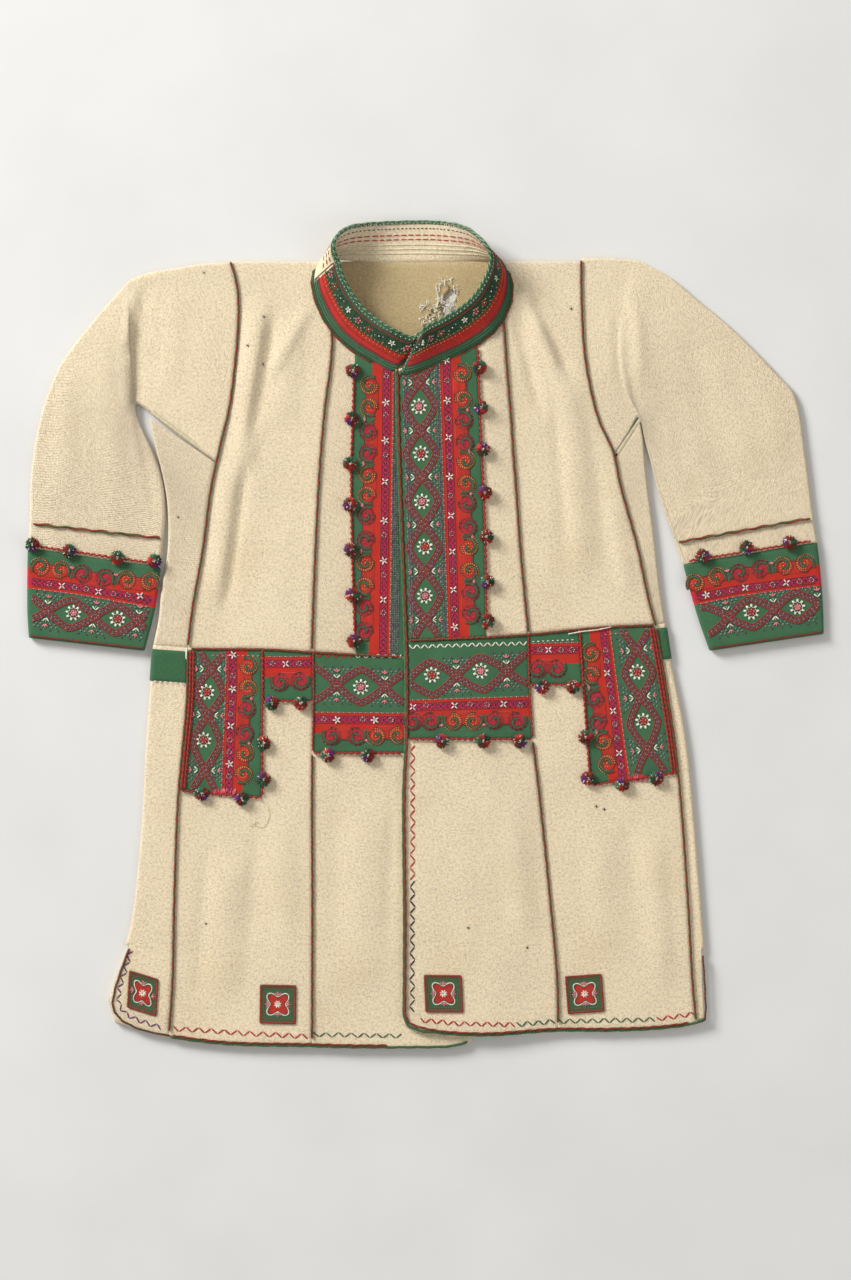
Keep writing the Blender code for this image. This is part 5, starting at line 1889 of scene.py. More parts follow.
def side_fold(rows: Sequence[SideRow], seam: Curve, outward: int) -> tuple[Array, Array]:
    """Makes the grids of a panel folded round the side.

    Each section runs from its seam on top towards the fold, turns on a half
    circle of the edge radius and comes back beneath.

    Args:
        rows: Its sections.
        seam: The seam that they leave.
        outward: −1 to the left, 1 to the right.

    Returns:
        The outer and the inner grid.
    """
    y = np.array([row.seam_y for row in rows])
    at = fine_sections(rows, np.abs(np.diff(y)))
    seam_y, fold_x, fold_y = (Curve.by_section(rows, name)(at) for name in ("seam_y", "fold_x", "fold_y"))
    start = np.stack([seam(seam_y) + outward * SEAM / 2, seam_y], -1)
    run = np.stack([fold_x, fold_y], -1) - start
    length = np.linalg.norm(run, axis=1, keepdims=True)
    run /= length
    centre = length - EDGE_RADIUS
    top = centre * np.linspace(0, 1, 13)[None, :-1]
    angle = np.linspace(np.pi / 2, -np.pi / 2, 9)[None, :]
    back = centre * np.linspace(1, 0, 8)[None, 1:]
    grids = []
    for drop in (0.0, WALL):
        radius = EDGE_RADIUS - drop
        reach = np.concatenate([top, centre + radius * np.cos(angle), back], 1)
        x = start[:, :1] + run[:, :1] * reach
        y = start[:, 1:] + run[:, 1:] * reach
        share = np.clip(1 - reach / centre, 0, 1)
        uneven = (Lay.left(x, y) - FRONT_TOP) * smooth(share / 0.35)
        z = np.full_like(x, FRONT_TOP - drop) + uneven
        turn = np.broadcast_to(EDGE_RADIUS + radius * np.sin(angle), (len(at), angle.size))
        z[:, 12 : 12 + angle.size] = turn
        z[:, 12 + angle.size :] = drop
        grids.append(np.stack([x, y, z], -1))
    return grids[0], grids[1]


@dataclass
class Sleeve:
    """A flattened tube: a sleeve or its cuff."""

    dyes: Dyehouse
    node: str
    rows: Sequence[SleeveRow]
    seam: Line
    wall: float
    creased: bool = True
    top_steps: int = 40
    arc_steps: int = 6
    low_steps: int = 12

    def grids(self) -> tuple[Array, Array]:
        """Makes the rings of the tube.

        A ring crosses the top, z = 2r + swell · sin(π s)^0.8, turns on a half
        circle of radius r, comes back on the floor and turns again.

        Returns:
            The outer and the inner grid, sections by places round the ring.
        """
        middle = np.array([[(r.inner_x + r.outer_x) / 2, (r.inner_y + r.outer_y) / 2] for r in self.rows])
        at = fine_sections(self.rows, np.linalg.norm(np.diff(middle, axis=0), axis=1))
        names = ("inner_x", "inner_y", "outer_x", "outer_y", "bow", "hollow")
        x0, y0, x1, y1, bow, hollow = (Curve.by_section(self.rows, name)(at)[:, None] for name in names)
        radius = self.wall + HOLLOW / 2
        run = np.hypot(x1 - x0, y1 - y0)
        dir_x, dir_y = (x1 - x0) / run, (y1 - y0) / run
        share = np.linspace(0, 1, self.top_steps + 1)[None, :]
        arc = np.linspace(np.pi / 2, -np.pi / 2, 2 * self.arc_steps + 1)[None, 1:-1]
        low = np.linspace(1, 0, self.low_steps + 1)[None, :]
        first = self.rows[0]

        def place(reach: Array) -> tuple[Array, Array]:
            """Gives the plan places at a reach across the sleeve.

            Args:
                reach: Distances across the sleeve.

            Returns:
                x and y.
            """
            part = reach / run
            seam_y = first.inner_y + (first.outer_y - first.inner_y) * part
            seam_x = first.inner_x + (first.outer_x - first.inner_x) * part
            shift = (self.seam(seam_y) - seam_x) * bow
            return x0 + dir_x * reach + shift, y0 + dir_y * reach

        grids = []
        for r, drop in ((radius, 0.0), (radius - self.wall, self.wall)):
            span = run - 2 * radius
            reach = [radius + span * share, run - radius + r * np.cos(arc)]
            reach += [radius + span * low, radius - r * np.cos(arc) + 0 * run]
            x, y = place(np.concatenate(reach, 1))
            swell = np.maximum(0, (hollow - HOLLOW) * np.sin(np.pi * share) ** 0.8)
            top_x, top_y = x[:, : share.size], y[:, : share.size]
            z_top = 2 * radius + swell + self.uneven(top_x, top_y, share) - drop
            turn = np.broadcast_to(radius + r * np.sin(arc), (len(at), arc.size))
            flat = np.full((len(at), low.size), drop)
            z = np.concatenate([z_top, turn, flat, turn[:, ::-1]], 1)
            grids.append(np.stack([x, y, z], -1))
        return grids[0], grids[1]

    def uneven(self, x: Array, y: Array, share: Array) -> Array:
        """Gives the creases and unevenness of the top, none at the folds.

        Args:
            x: Places across.
            y: Places up.
            share: Share of the way across the top.

        Returns:
            The heights.
        """
        if not self.creased:
            return np.zeros(x.shape)
        rise = np.maximum(Lay.relief(x, y) + rise_of(SLEEVE_CREASES, x, y), -1.3)
        return rise * smooth(np.minimum(share, 1 - share) / 0.09)

    def build(self, finishes: Sequence[bpy.types.Material], slot: str, cut: Optional[Array] = None) -> Array:
        """Lays the tube and gives its outer grid.

        Args:
            finishes: Finish of the outer face and of the inner one.
            slot: The record's material slot.
            cut: Pattern coordinates of the outer grid.

        Returns:
            Its outer grid.
        """
        outer, inner = self.grids()
        lay_cloth(self.node, outer, inner, finishes, slot, True, cut)
        return outer


COLLAR_PLAIN = (152.0, 355.0)


@dataclass
class Collar:
    """The stand collar that leans inwards, its right end over its left one."""

    dyes: Dyehouse
    rise_steps: int = 14
    red_row: float = 14.0

    def grids(self) -> tuple[Array, Array]:
        """Makes the collar's faces.

        Each section is base + t · (top − base), as long as the collar is
        high, and the inner face lies a wall towards the neck.

        Returns:
            The outer and the inner grid, from the neck seam up by sections.
        """
        foot = np.array([[r.base_x, r.base_y, r.base_z] for r in COLLAR])
        at = fine_sections(COLLAR, np.linalg.norm(np.diff(foot, axis=0), axis=1), 2.4)
        names = ("base_x", "base_y", "base_z", "top_x", "top_y")
        bx, by, bz, tx, ty = (Curve.by_section(COLLAR, name)(at) for name in names)
        base = np.stack([bx, by, bz], -1)
        plan = np.stack([tx - bx, ty - by, np.zeros_like(bx)], -1)
        rise = np.sqrt(np.maximum(0, COLLAR_HEIGHT**2 - (plan**2).sum(1)))
        lean = plan + np.stack([0 * rise, 0 * rise, rise], -1)
        along = np.gradient(2 * base + lean, axis=0)
        inside = np.cross(along, lean)
        inside /= np.linalg.norm(inside, axis=1, keepdims=True)
        lift = np.maximum(0, -inside[:, 2:]) * COLLAR_WALL * np.array([[0, 0, 1.0]])
        t = np.linspace(0, 1, self.rise_steps + 1)[:, None, None]
        outer = (base + lift)[None] + lean[None] * t
        wave = 0.5 * np.sin(at * 2.1)[None, :, None] * np.sin(np.pi * t)
        outer = outer + inside[None] * wave
        return outer, outer + inside[None] * COLLAR_WALL

    def build(self) -> tuple[Array, Array]:
        """Lays the collar and gives its two faces.

        Returns:
            Its outer and inner grids.
        """
        outer, inner = self.grids()
        length = np.linalg.norm(np.diff(outer, axis=1), axis=-1).mean(0)
        u = np.concatenate([[0], np.cumsum(length)])[None, :] * np.ones((len(outer), 1))
        v = np.linspace(0, COLLAR_HEIGHT, len(outer))[:, None] * np.ones((1, outer.shape[1]))
        strips = ((-40.0, Thread.GREEN), (-6.2, Thread.RED), (6.2, Thread.DEEP_GREEN))
        ground = Zoned("collar_ground", strips=strips, plain=COLLAR_PLAIN)
        finishes = [ground.material(), self.dyes.wool]
        cut = np.stack([v - self.red_row, u], -1)
        lay_cloth("collar", outer, inner, finishes, "green_cloth", cut=cut)
        return outer, inner


# ---------------------------------------------------------------- bands


class Spot(NamedTuple):
    """A motif's place in the photograph's pixels and its thread."""

    across: float
    down: float
    thread: Thread = Thread.OCHRE


@dataclass(frozen=True)
class Band:
    """An embroidered strip: its purple row and what is sewn beside it."""

    node: str
    row: tuple[tuple[float, float], ...]
    lobes: tuple[Spot, ...] = ()
    stars: tuple[tuple[float, float], ...] = ()
    rings: tuple[tuple[float, float], ...] = ()
    flowers: tuple[Spot, ...] = ()
    crossings: tuple[tuple[float, float], ...] = ()
    ends: tuple[tuple[float, float], ...] = ()
    lattice_reach: float = 15.5
    lobes_side: int = 1
    grey_rows: tuple[float, ...] = ()


OCHRE, PINK, RED = Thread.OCHRE, Thread.PINK, Thread.RED
CHEST_LEFT_BAND = Band(
    "chest_band_left",
    ((386.5, 366), (386, 420), (384.8, 500), (383.8, 580), (382.6, 655)),
    (
        Spot(369.6, 386, OCHRE),
        Spot(369.4, 407, OCHRE),
        Spot(368.4, 432, PINK),
        Spot(368.0, 453, PINK),
        Spot(367.4, 475, OCHRE),
        Spot(367.0, 495, OCHRE),
        Spot(366.2, 516, PINK),
        Spot(365.8, 540, PINK),
        Spot(365.2, 563, OCHRE),
        Spot(365.0, 586, OCHRE),
        Spot(364.4, 607, PINK),
        Spot(364.0, 631, PINK),
    ),
    ((386.2, 403), (385.7, 441), (385.1, 482), (384.6, 521), (384.0, 561), (383.4, 600)),
    ((386.3, 376), (386.0, 415), (385.5, 455), (384.2, 535), (383.8, 575), (383.2, 613)),
    lobes_side=-1,
    grey_rows=(-8.0, -9.8, -11.6, -13.4, -15.2),
)
CHEST_RIGHT_BAND = Band(
    "chest_band_right",
    ((446, 352), (447.5, 400), (450, 480), (452.6, 560), (455.4, 646)),
    (
        Spot(462.0, 374, OCHRE),
        Spot(462.8, 400, OCHRE),
        Spot(463.8, 421, PINK),
        Spot(464.6, 443, PINK),
        Spot(465.4, 461, OCHRE),
        Spot(466.2, 484, OCHRE),
        Spot(467.0, 504, PINK),
        Spot(467.8, 527, PINK),
        Spot(468.6, 547, OCHRE),
        Spot(469.4, 571, OCHRE),
        Spot(470.2, 592, PINK),
        Spot(471.0, 614, PINK),
    ),
    (
        (446.2, 361),
        (447.5, 401),
        (448.6, 438),
        (449.9, 477),
        (451.1, 516),
        (452.3, 552),
        (453.5, 590),
        (454.8, 627),
    ),
    ((446.8, 381), (448.0, 419), (449.2, 457), (450.5, 496), (451.7, 534), (452.9, 571), (454.1, 609)),
    (
        Spot(419, 407, PINK),
        Spot(421, 454, RED),
        Spot(422, 502, PINK),
        Spot(425, 547, RED),
        Spot(425, 596, PINK),
    ),
    ((419.2, 383), (420, 431), (421.6, 477.5), (423.4, 525), (425, 571.5), (426, 620)),
    ((418.6, 359), (427, 642)),
    grey_rows=(-8.4, -10.2, -41.6, -43.4),
)
SKIRT_CENTRE_LEFT_BAND = Band(
    "skirt_piece_centre_left",
    ((313, 719), (360, 719.6), (405, 720)),
    (Spot(332, 736, PINK), Spot(356.5, 736, PINK), Spot(376, 736, OCHRE), Spot(398, 735, OCHRE)),
    ((337, 720), (375, 720)),
    ((324, 719), (363, 719), (391, 719.6)),
    (Spot(361, 687, PINK),),
    ((337, 685), (385, 687)),
    ((314, 686), (407, 686)),
    17.0,
    -1,
)
SKIRT_CENTRE_RIGHT_BAND = Band(
    "skirt_piece_centre_right",
    ((402, 707.4), (454, 705.5), (503, 704), (533, 703)),
    (
        Spot(413, 721, PINK),
        Spot(430, 721, PINK),
        Spot(453, 721, OCHRE),
        Spot(473, 721, OCHRE),
        Spot(494, 720, PINK),
        Spot(516.5, 721, PINK),
    ),
    ((413, 707), (454.5, 705.5), (503.5, 704)),
    ((426, 705), (470, 704), (520, 705), (487, 704.4)),
    (Spot(432, 675, RED), Spot(480.5, 671, PINK)),
    ((456.5, 676), (506.5, 671)),
    ((409, 676.5), (531, 669)),
    17.0,
    -1,
)
SKIRT_SMALL_LEFT_BAND = Band(
    "skirt_piece_small_left",
    ((262, 663.4), (286, 663.6), (314, 663)),
    (Spot(280, 682, PINK), Spot(300, 681, PINK)),
    ((286, 664),),
    ((273, 663.5), (299, 663.4)),
    lobes_side=-1,
)
SKIRT_SMALL_RIGHT_BAND = Band(
    "skirt_piece_small_right",
    ((526, 650.6), (548.5, 650), (581, 649.4)),
    (Spot(538, 668.5, PINK), Spot(556, 668.5, PINK)),
    ((548.5, 650),),
    ((540, 650), (561, 650), (572, 649.6)),
    lobes_side=-1,
)
SKIRT_TALL_LEFT_BAND = Band(
    "skirt_piece_tall_left",
    ((233.4, 640), (232.4, 700), (230.4, 745), (228.6, 792)),
    (
        Spot(248.6, 666, OCHRE),
        Spot(248, 688, OCHRE),
        Spot(247, 709, PINK),
        Spot(245, 733, PINK),
        Spot(245, 753, OCHRE),
        Spot(243.5, 774, OCHRE),
    ),
    ((233, 689), (231, 726), (230, 764), (233.2, 655)),
    ((233, 676), (232, 703), (231, 714), (230, 740), (229.6, 752), (229, 776)),
    (Spot(207, 692, RED), Spot(204, 740, RED)),
    ((211, 669), (208, 715), (205, 770)),
    ((213, 650), (203, 792)),
    14.0,
)
SKIRT_TALL_RIGHT_BAND = Band(
    "skirt_piece_tall_right",
    ((602, 624), (604, 639), (612, 700), (618, 748), (624, 788)),
    (
        Spot(590.6, 653, OCHRE),
        Spot(591, 675, OCHRE),
        Spot(595, 699, PINK),
        Spot(598, 722, PINK),
        Spot(603, 741, OCHRE),
        Spot(607, 763, OCHRE),
    ),
    ((607, 673), (613, 711), (619, 753)),
    ((605.4, 650), (606.4, 661), (609.4, 685), (611.2, 698), (614.6, 724), (616.6, 738), (621, 766)),
    (Spot(637, 672, RED), Spot(643, 721, RED)),
    ((636.5, 649.5), (640, 697), (647, 749)),
    ((634, 628), (651, 776)),
    14.5,
    -1,
)
CUFF_LEFT_BAND = Band(
    "cuff_left",
    ((26, 580.6), (35, 582), (75, 587), (115, 594), (150, 600), (156, 601)),
    (
        Spot(41, 567, OCHRE),
        Spot(61, 570, OCHRE),
        Spot(83, 574, PINK),
        Spot(105, 578, PINK),
        Spot(127, 580, OCHRE),
        Spot(150, 582, OCHRE),
    ),
    ((62.5, 586), (99, 592), (140.5, 596)),
    ((50, 584), (87, 589), (128, 595), (75, 587.4), (114, 593.8)),
    (Spot(74, 613, PINK), Spot(118, 619, RED)),
    ((47.5, 611), (94.6, 617), (138, 621)),
    ((27, 609), (150, 623)),
    14.5,
)
CUFF_RIGHT_BAND = Band(
    "cuff_right",
    ((690, 598.6), (738, 589), (780, 583.6), (823, 578.6)),
    (
        Spot(695, 583, OCHRE),
        Spot(716, 577, OCHRE),
        Spot(739, 573, PINK),
        Spot(760, 569, PINK),
        Spot(783, 566, OCHRE),
        Spot(804, 563.4, OCHRE),
    ),
    ((706, 595.2), (745, 588), (786, 583)),
    ((718, 593), (731, 590.4), (758, 586.4), (772, 584.6), (799, 581.4), (811, 580)),
    (Spot(751, 612, RED), Spot(797, 607, PINK)),
    ((728, 617), (774, 609.4), (818, 604)),
    ((706, 622), (826, 603)),
    14.5,
)


def row_coordinates(plan: Array, path: Array) -> Array:
    """Gives places as (distance from a path, length along it).

    The nearest of the path's segments gives the foot of the normal, and the
    distance is positive on the path's left.

    Args:
        plan: Places, any shape by 2.
        path: The path, counts by 2.

    Returns:
        The same shape by 2.
    """
    flat = plan.reshape(-1, 1, 2)
    start, run = path[None, :-1], np.diff(path, axis=0)[None]
    length = np.linalg.norm(run, axis=-1)
    share = np.clip(((flat - start) * run).sum(-1) / length**2, 0, 1)
    foot = start + run * share[..., None]
    apart = np.linalg.norm(flat - foot, axis=-1)
    near = apart.argmin(1)
    pick = np.arange(len(flat))
    away = (flat - start)[pick, near]
    along = run[0, near] / length[0, near][:, None]
    side = along[:, 0] * away[:, 1] - along[:, 1] * away[:, 0]
    reached = np.concatenate([[0], np.cumsum(length[0])])[near] + (share * length)[pick, near]
    return np.stack([side, reached], -1).reshape(*plan.shape[:-1], 2)


@dataclass
class Bands:
    """The cloth strips sewn on the coat, under their embroidery."""

    dyes: Dyehouse

    def overlay(self, node: str, grid: Array, row: Optional[Array], side: int, slot: str, on: str) -> None:
        """Lays a strip on the cloth: 0.3 mm over it and 1 mm thick.

        Args:
            node: The solid that it stands for.
            grid: Grid of the cloth under it.
            row: Path of the purple row, or None for plain green cloth.
            side: Which side of the row has scrolls.
            slot: The record's material slot.
            on: Not used.
        """
        cut = None
        if row is not None:
            cut = row_coordinates(grid[..., :2], row) * np.array([side, 1.0])
        finish = self.dyes.band if row is not None else self.dyes.green
        outer, inner = raised(grid, ON_CLOTH), raised(grid, GAP)
        lay_cloth(node, outer, inner, [finish, finish], slot, cut=cut)

    def strip(
        self, band: Band, left: Line, right: Line, top: Line, bottom: Line, height: Field, slot: str, on: str
    ) -> None:
        """Lays an embroidered strip between four lines."""
        grid = panel_grid(left, right, top, bottom, height, 2.4)
        self.overlay(band.node, grid, marks(*band.row), band.lobes_side, slot, on)

    def build(self) -> None:
        """Lays the chest bands, the skirt pieces, the side bands and squares."""
        left_waist, right_waist = moved(waist_left, GAP / 2), moved(waist_right, GAP / 2)
        self.strip(
            CHEST_LEFT_BAND,
            chest_left,
            moved(under_edge, -BAND_INSET),
            moved(neck_left, -NECK_INSET),
            left_waist,
            Lay.left,
            "red_cloth",
            "front_centre_left",
        )
        self.strip(
            CHEST_RIGHT_BAND,
            moved(upper_edge, BAND_INSET),
            chest_right,
            moved(neck_right, -NECK_INSET),
            right_waist,
            Lay.right,
            "green_cloth",
            "front_centre_right",
        )
        high = moved(waist_left, -2.0)
        self.strip(
            SKIRT_CENTRE_LEFT_BAND,
            moved(skirt_princess_left, 1.2),
            moved(under_edge, -BAND_INSET),
            high,
            level(LOW_CENTRE_LEFT),
            Lay.left,
            "red_cloth",
            "skirt_centre_left",
        )
        self.strip(
            SKIRT_TALL_LEFT_BAND,
            moved(skirt_side_left, 2.0),
            level(TALL_LEFT_EDGE),
            high,
            low_tall_left,
            Lay.left,
            "red_cloth",
            "skirt_side_left",
        )
        self.strip(
            SKIRT_SMALL_LEFT_BAND,
            level(TALL_LEFT_EDGE + 2.6),
            moved(skirt_princess_left, -1.2),
            high,
            level(LOW_SMALL_LEFT),
            Lay.left,
            "red_cloth",
            "skirt_side_left",
        )
        high = moved(waist_right, -2.0)
        self.strip(
            SKIRT_CENTRE_RIGHT_BAND,
            moved(upper_edge, BAND_INSET),
            moved(skirt_princess_right, -0.6),
            high,
            level(LOW_CENTRE_RIGHT),
            Lay.right,
            "red_cloth",
            "skirt_centre_right",
        )
        self.strip(
            SKIRT_SMALL_RIGHT_BAND,
            moved(skirt_princess_right, 0.6),
            moved(tall_right_edge, -2.6),
            high,
            level(LOW_SMALL_RIGHT),
            Lay.left,
            "red_cloth",
            "skirt_side_right",
        )
        self.strip(
            SKIRT_TALL_RIGHT_BAND,
            tall_right_edge,
            moved(skirt_side_right, -2.0),
            high,
            low_tall_right,
            Lay.left,
            "red_cloth",
            "skirt_side_right",
        )
        self.side_band("side_band_left", GORE_LEFT[:2], skirt_side_left, -1)
        self.side_band("side_band_right", GORE_RIGHT[:2], skirt_side_right, 1)
        heights = (Lay.left, Lay.left, Lay.right, Lay.left)
        hosts = ("gore_left", "skirt_side_left", "skirt_centre_right", "skirt_side_right")
        for square, height, host in zip(SQUARES, heights, hosts):
            self.square(square, height, host)

    def square(self, square: SquareRow, height: Field, host: str) -> None:
        """Lays a corner square, its sides leaning as the cloth does.

        Args:
            square: Its row of the table.
            height: The cloth's height.
            host: The piece that it lies on.
        """
        s = np.linspace(-1, 1, 14)[None, :]
        t = np.linspace(1, -1, 14)[:, None]
        y = square.y + t * square.half_height + square.slope * s * square.half_width
        x = square.x + s * square.half_width + square.lean * t * square.half_height
        grid = np.stack([x, y, height(x, y)], -1)
        self.overlay(square.name, grid, None, 1, "green_cloth", host)

    def side_band(self, node: str, rows: Sequence[SideRow], seam: Curve, outward: int) -> None:
        """Lays a green strip on the side panel, as far as its fold.

        Args:
            node: The strip's solid.
            rows: The two sections that it lies between.
            seam: The seam that it starts from.
            outward: −1 to the left, 1 to the right.
        """
        outer, _ = side_fold(rows, seam, outward)
        count = len(outer)
        keep = outer[max(1, int(count * 0.04)) : int(count * 0.96), :17]
        angle = np.concatenate([np.full(12, np.pi / 2), np.linspace(np.pi / 2, 0, 5)])
        away = np.stack([outward * np.cos(angle), 0 * angle, np.sin(angle)], -1)[None]
        keep = keep.copy()
        keep[:, 0, 0] += outward * 1.8
        lay_cloth(
            node,
            keep + away * ON_CLOTH,
            keep + away * GAP,
            [self.dyes.green, self.dyes.green],
            "green_cloth",
        )


# ---------------------------------------------------------------- cords


@dataclass(frozen=True)
class Rope:
    """Plies of yarn twisted round a path."""

    radius: float = 1.3
    pitch: float = 17.0
    threads: tuple[Thread, ...] = (Thread.BROWN, Thread.OLIVE, Thread.CORD_RED)
    step: float = 1.9
    sides: int = 5
    wave: float = 0.15
    wave_length: float = 19.0
    ply_offset: float = 0.4
    ply_size: float = 0.62
    steps_a_turn: float = 4.3

    def mesh(self, path: Array) -> Mesh:
        """Twists the plies round a path.

        A ply's axis is path + 0.4·r·(side·cos a + up·sin a) with
        a = 2π·s / pitch + its share of a turn, and its tube has radius 0.62·r.

        Args:
            path: Centre line, counts by 3.

        Returns:
            The tubes, closed at their ends, with their dyes.
        """
        step = min(self.step, self.pitch / self.steps_a_turn)
        spots = spaced(path, step)
        along = np.arange(len(spots)) * step
        run = np.gradient(spots, axis=0)
        run /= np.linalg.norm(run, axis=1, keepdims=True)
        side = np.cross(run, np.array([[0.0, 0.0, 1.0]]))
        side /= np.linalg.norm(side, axis=1, keepdims=True) + 1e-9
        up = np.cross(side, run)
        spots = spots + side * (self.wave * np.sin(2 * np.pi * along / self.wave_length))[:, None]
        points, faces, dyes, start = [], [], [], 0
        for number, thread in enumerate(self.threads):
            turn = 2 * np.pi * (along / self.pitch + number / len(self.threads))
            off = side * np.cos(turn)[:, None] + up * np.sin(turn)[:, None]
            axis = spots + off * self.radius * (self.ply_offset if len(self.threads) > 1 else 0.0)
            angle = turn[:, None] + 2 * np.pi * np.arange(self.sides)[None] / self.sides
            tube = side[:, None] * np.cos(angle)[..., None] + up[:, None] * np.sin(angle)[..., None]
            size = self.radius * (self.ply_size if len(self.threads) > 1 else 1.0)
            size = size * np.where((along <= 0) | (along >= along[-1]), 0.25, 1.0)
            points.append((axis[:, None] + tube * size[:, None, None]).reshape(-1, 3))
            ids = start + np.arange(len(spots) * self.sides).reshape(len(spots), self.sides)
            ids = np.concatenate([ids, ids[:, :1]], 1)
            faces.append(grid_faces(ids))
            shade = 1 + 0.12 * np.sin(along * 1.7 + number)[:, None]
            dyes.append(np.repeat(np.clip(thread.light[None] * shade, 0, 1), self.sides, 0))
            start += len(spots) * self.sides
        joined = np.concatenate(faces)
        points_all = np.concatenate(points)
        if volume_of(points_all, joined) < 0:
            joined = joined[:, ::-1]
        return Mesh(points_all, joined, None, np.concatenate(dyes))


WAVY_EDGE = Rope(1.35, 6.0, (Thread.RED, Thread.DARK_RED), 1.15, 5, 0.55, 6.3)


def down_seam(seam: Line, height: Field, top: float, bottom: float, inset: float = 0.0) -> Array:
    """Gives points down a seam between two heights y.

    Args:
        seam: x of the seam at a height y.
        height: The cloth's height.
        top: Height y of the first point.
        bottom: Height y of the last point.
        inset: How far beside the seam.

    Returns:
        Counts by 3.
    """
    y = np.linspace(top, bottom, max(2, int(abs(top - bottom) / 2.5)))
    x = seam(y) + inset
    return np.stack([x, y, height(x, y)], -1)


def on_cloth(plan: Array, height: Field) -> Array:
    """Gives plan points lifted onto the cloth at close steps."""
    fine = spaced(plan, 2.5)
    return np.column_stack([fine, height(fine[:, 0], fine[:, 1])])


@dataclass
class Cords:
    """The twisted cords over the seams and along the edges."""

    dyes: Dyehouse
    edge_inset: float = 2.0
    neck_reach: float = 0.9

    def lay(self, node: str, path: Array, rope: Optional[Rope] = None) -> bpy.types.Object:
        """Lays a cord on a path of points on the cloth.

        Args:
            node: The solid that it stands for.
            path: Points along the path.
            rope: The rope, or None for the coat's usual one.

        Returns:
            The object.
        """
        lifted = path + np.array([0.0, 0.0, GAP + 0.25 + CORD_RADIUS])
        made = (rope or Rope()).mesh(lifted).build(node + "_plies", [self.dyes.yarn])
        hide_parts(node)
        return made

    def neck(self, node: str, rows: Sequence[CollarRow]) -> None:
        """Lays the cord round the foot of a part of the collar.

        Args:
            node: The solid that it stands for.
            rows: The collar's sections that it passes.
        """
        base = np.array([[r.base_x, r.base_y, r.base_z - 0.3] for r in rows])
        top = np.array([[r.top_x, r.top_y] for r in rows])
        away = base[:, :2] - top
        away /= np.linalg.norm(away, axis=1, keepdims=True)
        base[:, :2] += away * self.neck_reach
        at = np.linspace(0, len(rows) - 1, 60)
        path = np.stack([np.interp(at, np.arange(len(rows)), base[:, k]) for k in range(3)], -1)
        self.lay(node, path, Rope(1.5, 5.0, (Thread.GREEN, Thread.GREEN, Thread.OLIVE)))
        outer = path.copy()
        outer[:, :2] += np.stack([np.interp(at, np.arange(len(rows)), away[:, k]) for k in range(2)], -1) * 2.3
        outer[:, 2] -= 0.5
        made = Rope(1.3).mesh(outer + [0, 0, GAP + 1.2]).build(node + "_brown_plies", [self.dyes.yarn])

    def build(self, sleeves: dict[str, Array]) -> None:
        """Lays every cord.

        Args:
            sleeves: The sleeves' outer grids by name.
        """
        edge_rope = Rope(1.3, 22.0, (Thread.BROWN, Thread.CORD_RED))
        self.lay("cord_armhole_left", down_seam(armhole_left, Lay.left, 391.0, -11.5))
        self.lay("cord_armhole_right", down_seam(armhole_right, Lay.left, 392.5, 9.0))
        self.lay("cord_princess_left", down_seam(princess_left, Lay.left, 319.5, -15.5))
        self.lay("cord_princess_right", down_seam(princess_right, Lay.left, 330.0, 2.5))
        self.lay("cord_side_left", down_seam(skirt_side_left, Lay.left, -17.0, -416.0))
        self.lay("cord_side_right", down_seam(skirt_side_right, Lay.left, 6.0, -404.0))
        self.lay("cord_skirt_left", down_seam(skirt_princess_left, Lay.left, -126.0, -424.0))
        self.lay("cord_skirt_right", down_seam(skirt_princess_right, Lay.left, -113.0, -407.0))
        y = np.linspace(279.0, -399.0, 220)
        edge = np.column_stack([upper_edge(y) + self.edge_inset, y])
        x = np.linspace(12.0, 276.0, 100)
        hem = np.column_stack([x, hem_right(x) + 3.0])
        plan = np.concatenate([edge, [[-17.6, -406.6], [-9.0, -410.8]], hem])
        self.lay("cord_front_edge", on_cloth(plan, Lay.right), edge_rope)
        x = np.linspace(-265.5, -40.0, 90)
        self.lay("cord_hem_left", on_cloth(np.column_stack([x, hem_left(x) + 3.0]), Lay.left), edge_rope)
        self.neck("cord_neck_left", COLLAR[3:11])
        self.neck("cord_neck_right", COLLAR[20:30])
        for name, grid in sleeves.items():
            path = sleeve_line(name, grid, 0.02)
            self.lay("cord_" + name, path, Rope(1.6, 60.0, (Thread.CORD_RED, Thread.OLIVE), wave=0.5))


def sleeve_line(name: str, grid: Array, share: float) -> Array:
    """Gives the line across a sleeve's top, a share of the way from its last
    section but one to its last one.

    Args:
        name: The sleeve's name.
        grid: Its outer grid.
        share: Share of the way.

    Returns:
        Counts by 3.
    """
    rows = SLEEVE_LEFT if name.endswith("left") else SLEEVE_RIGHT
    middles = [np.array([row.inner_x + row.outer_x, row.inner_y + row.outer_y]) / 2 for row in rows[-2:]]
    step = float(np.linalg.norm(middles[1] - middles[0]))
    count = max(1, int(round(step / PITCH)))
    at = len(grid) - 1 - count + share * count
    low = min(int(at), len(grid) - 2)
    part = at - low
    top = slice(0, Sleeve.top_steps + 1)
    return grid[low, top] * (1 - part) + grid[low + 1, top] * part


# ---------------------------------------------------------------- motifs


def start_angle(outwards: Array, away: Array) -> float:
    """Gives the angle at which a scroll's channel enters it."""
    return math.atan2(*(outwards * 0.85 - away * 0.55)[::-1])


def turned(vector: Array, angle: float) -> Array:
    """Gives a plan vector turned anticlockwise by an angle."""
    c, s = math.cos(angle), math.sin(angle)
    return np.array([vector[0] * c - vector[1] * s, vector[0] * s + vector[1] * c])


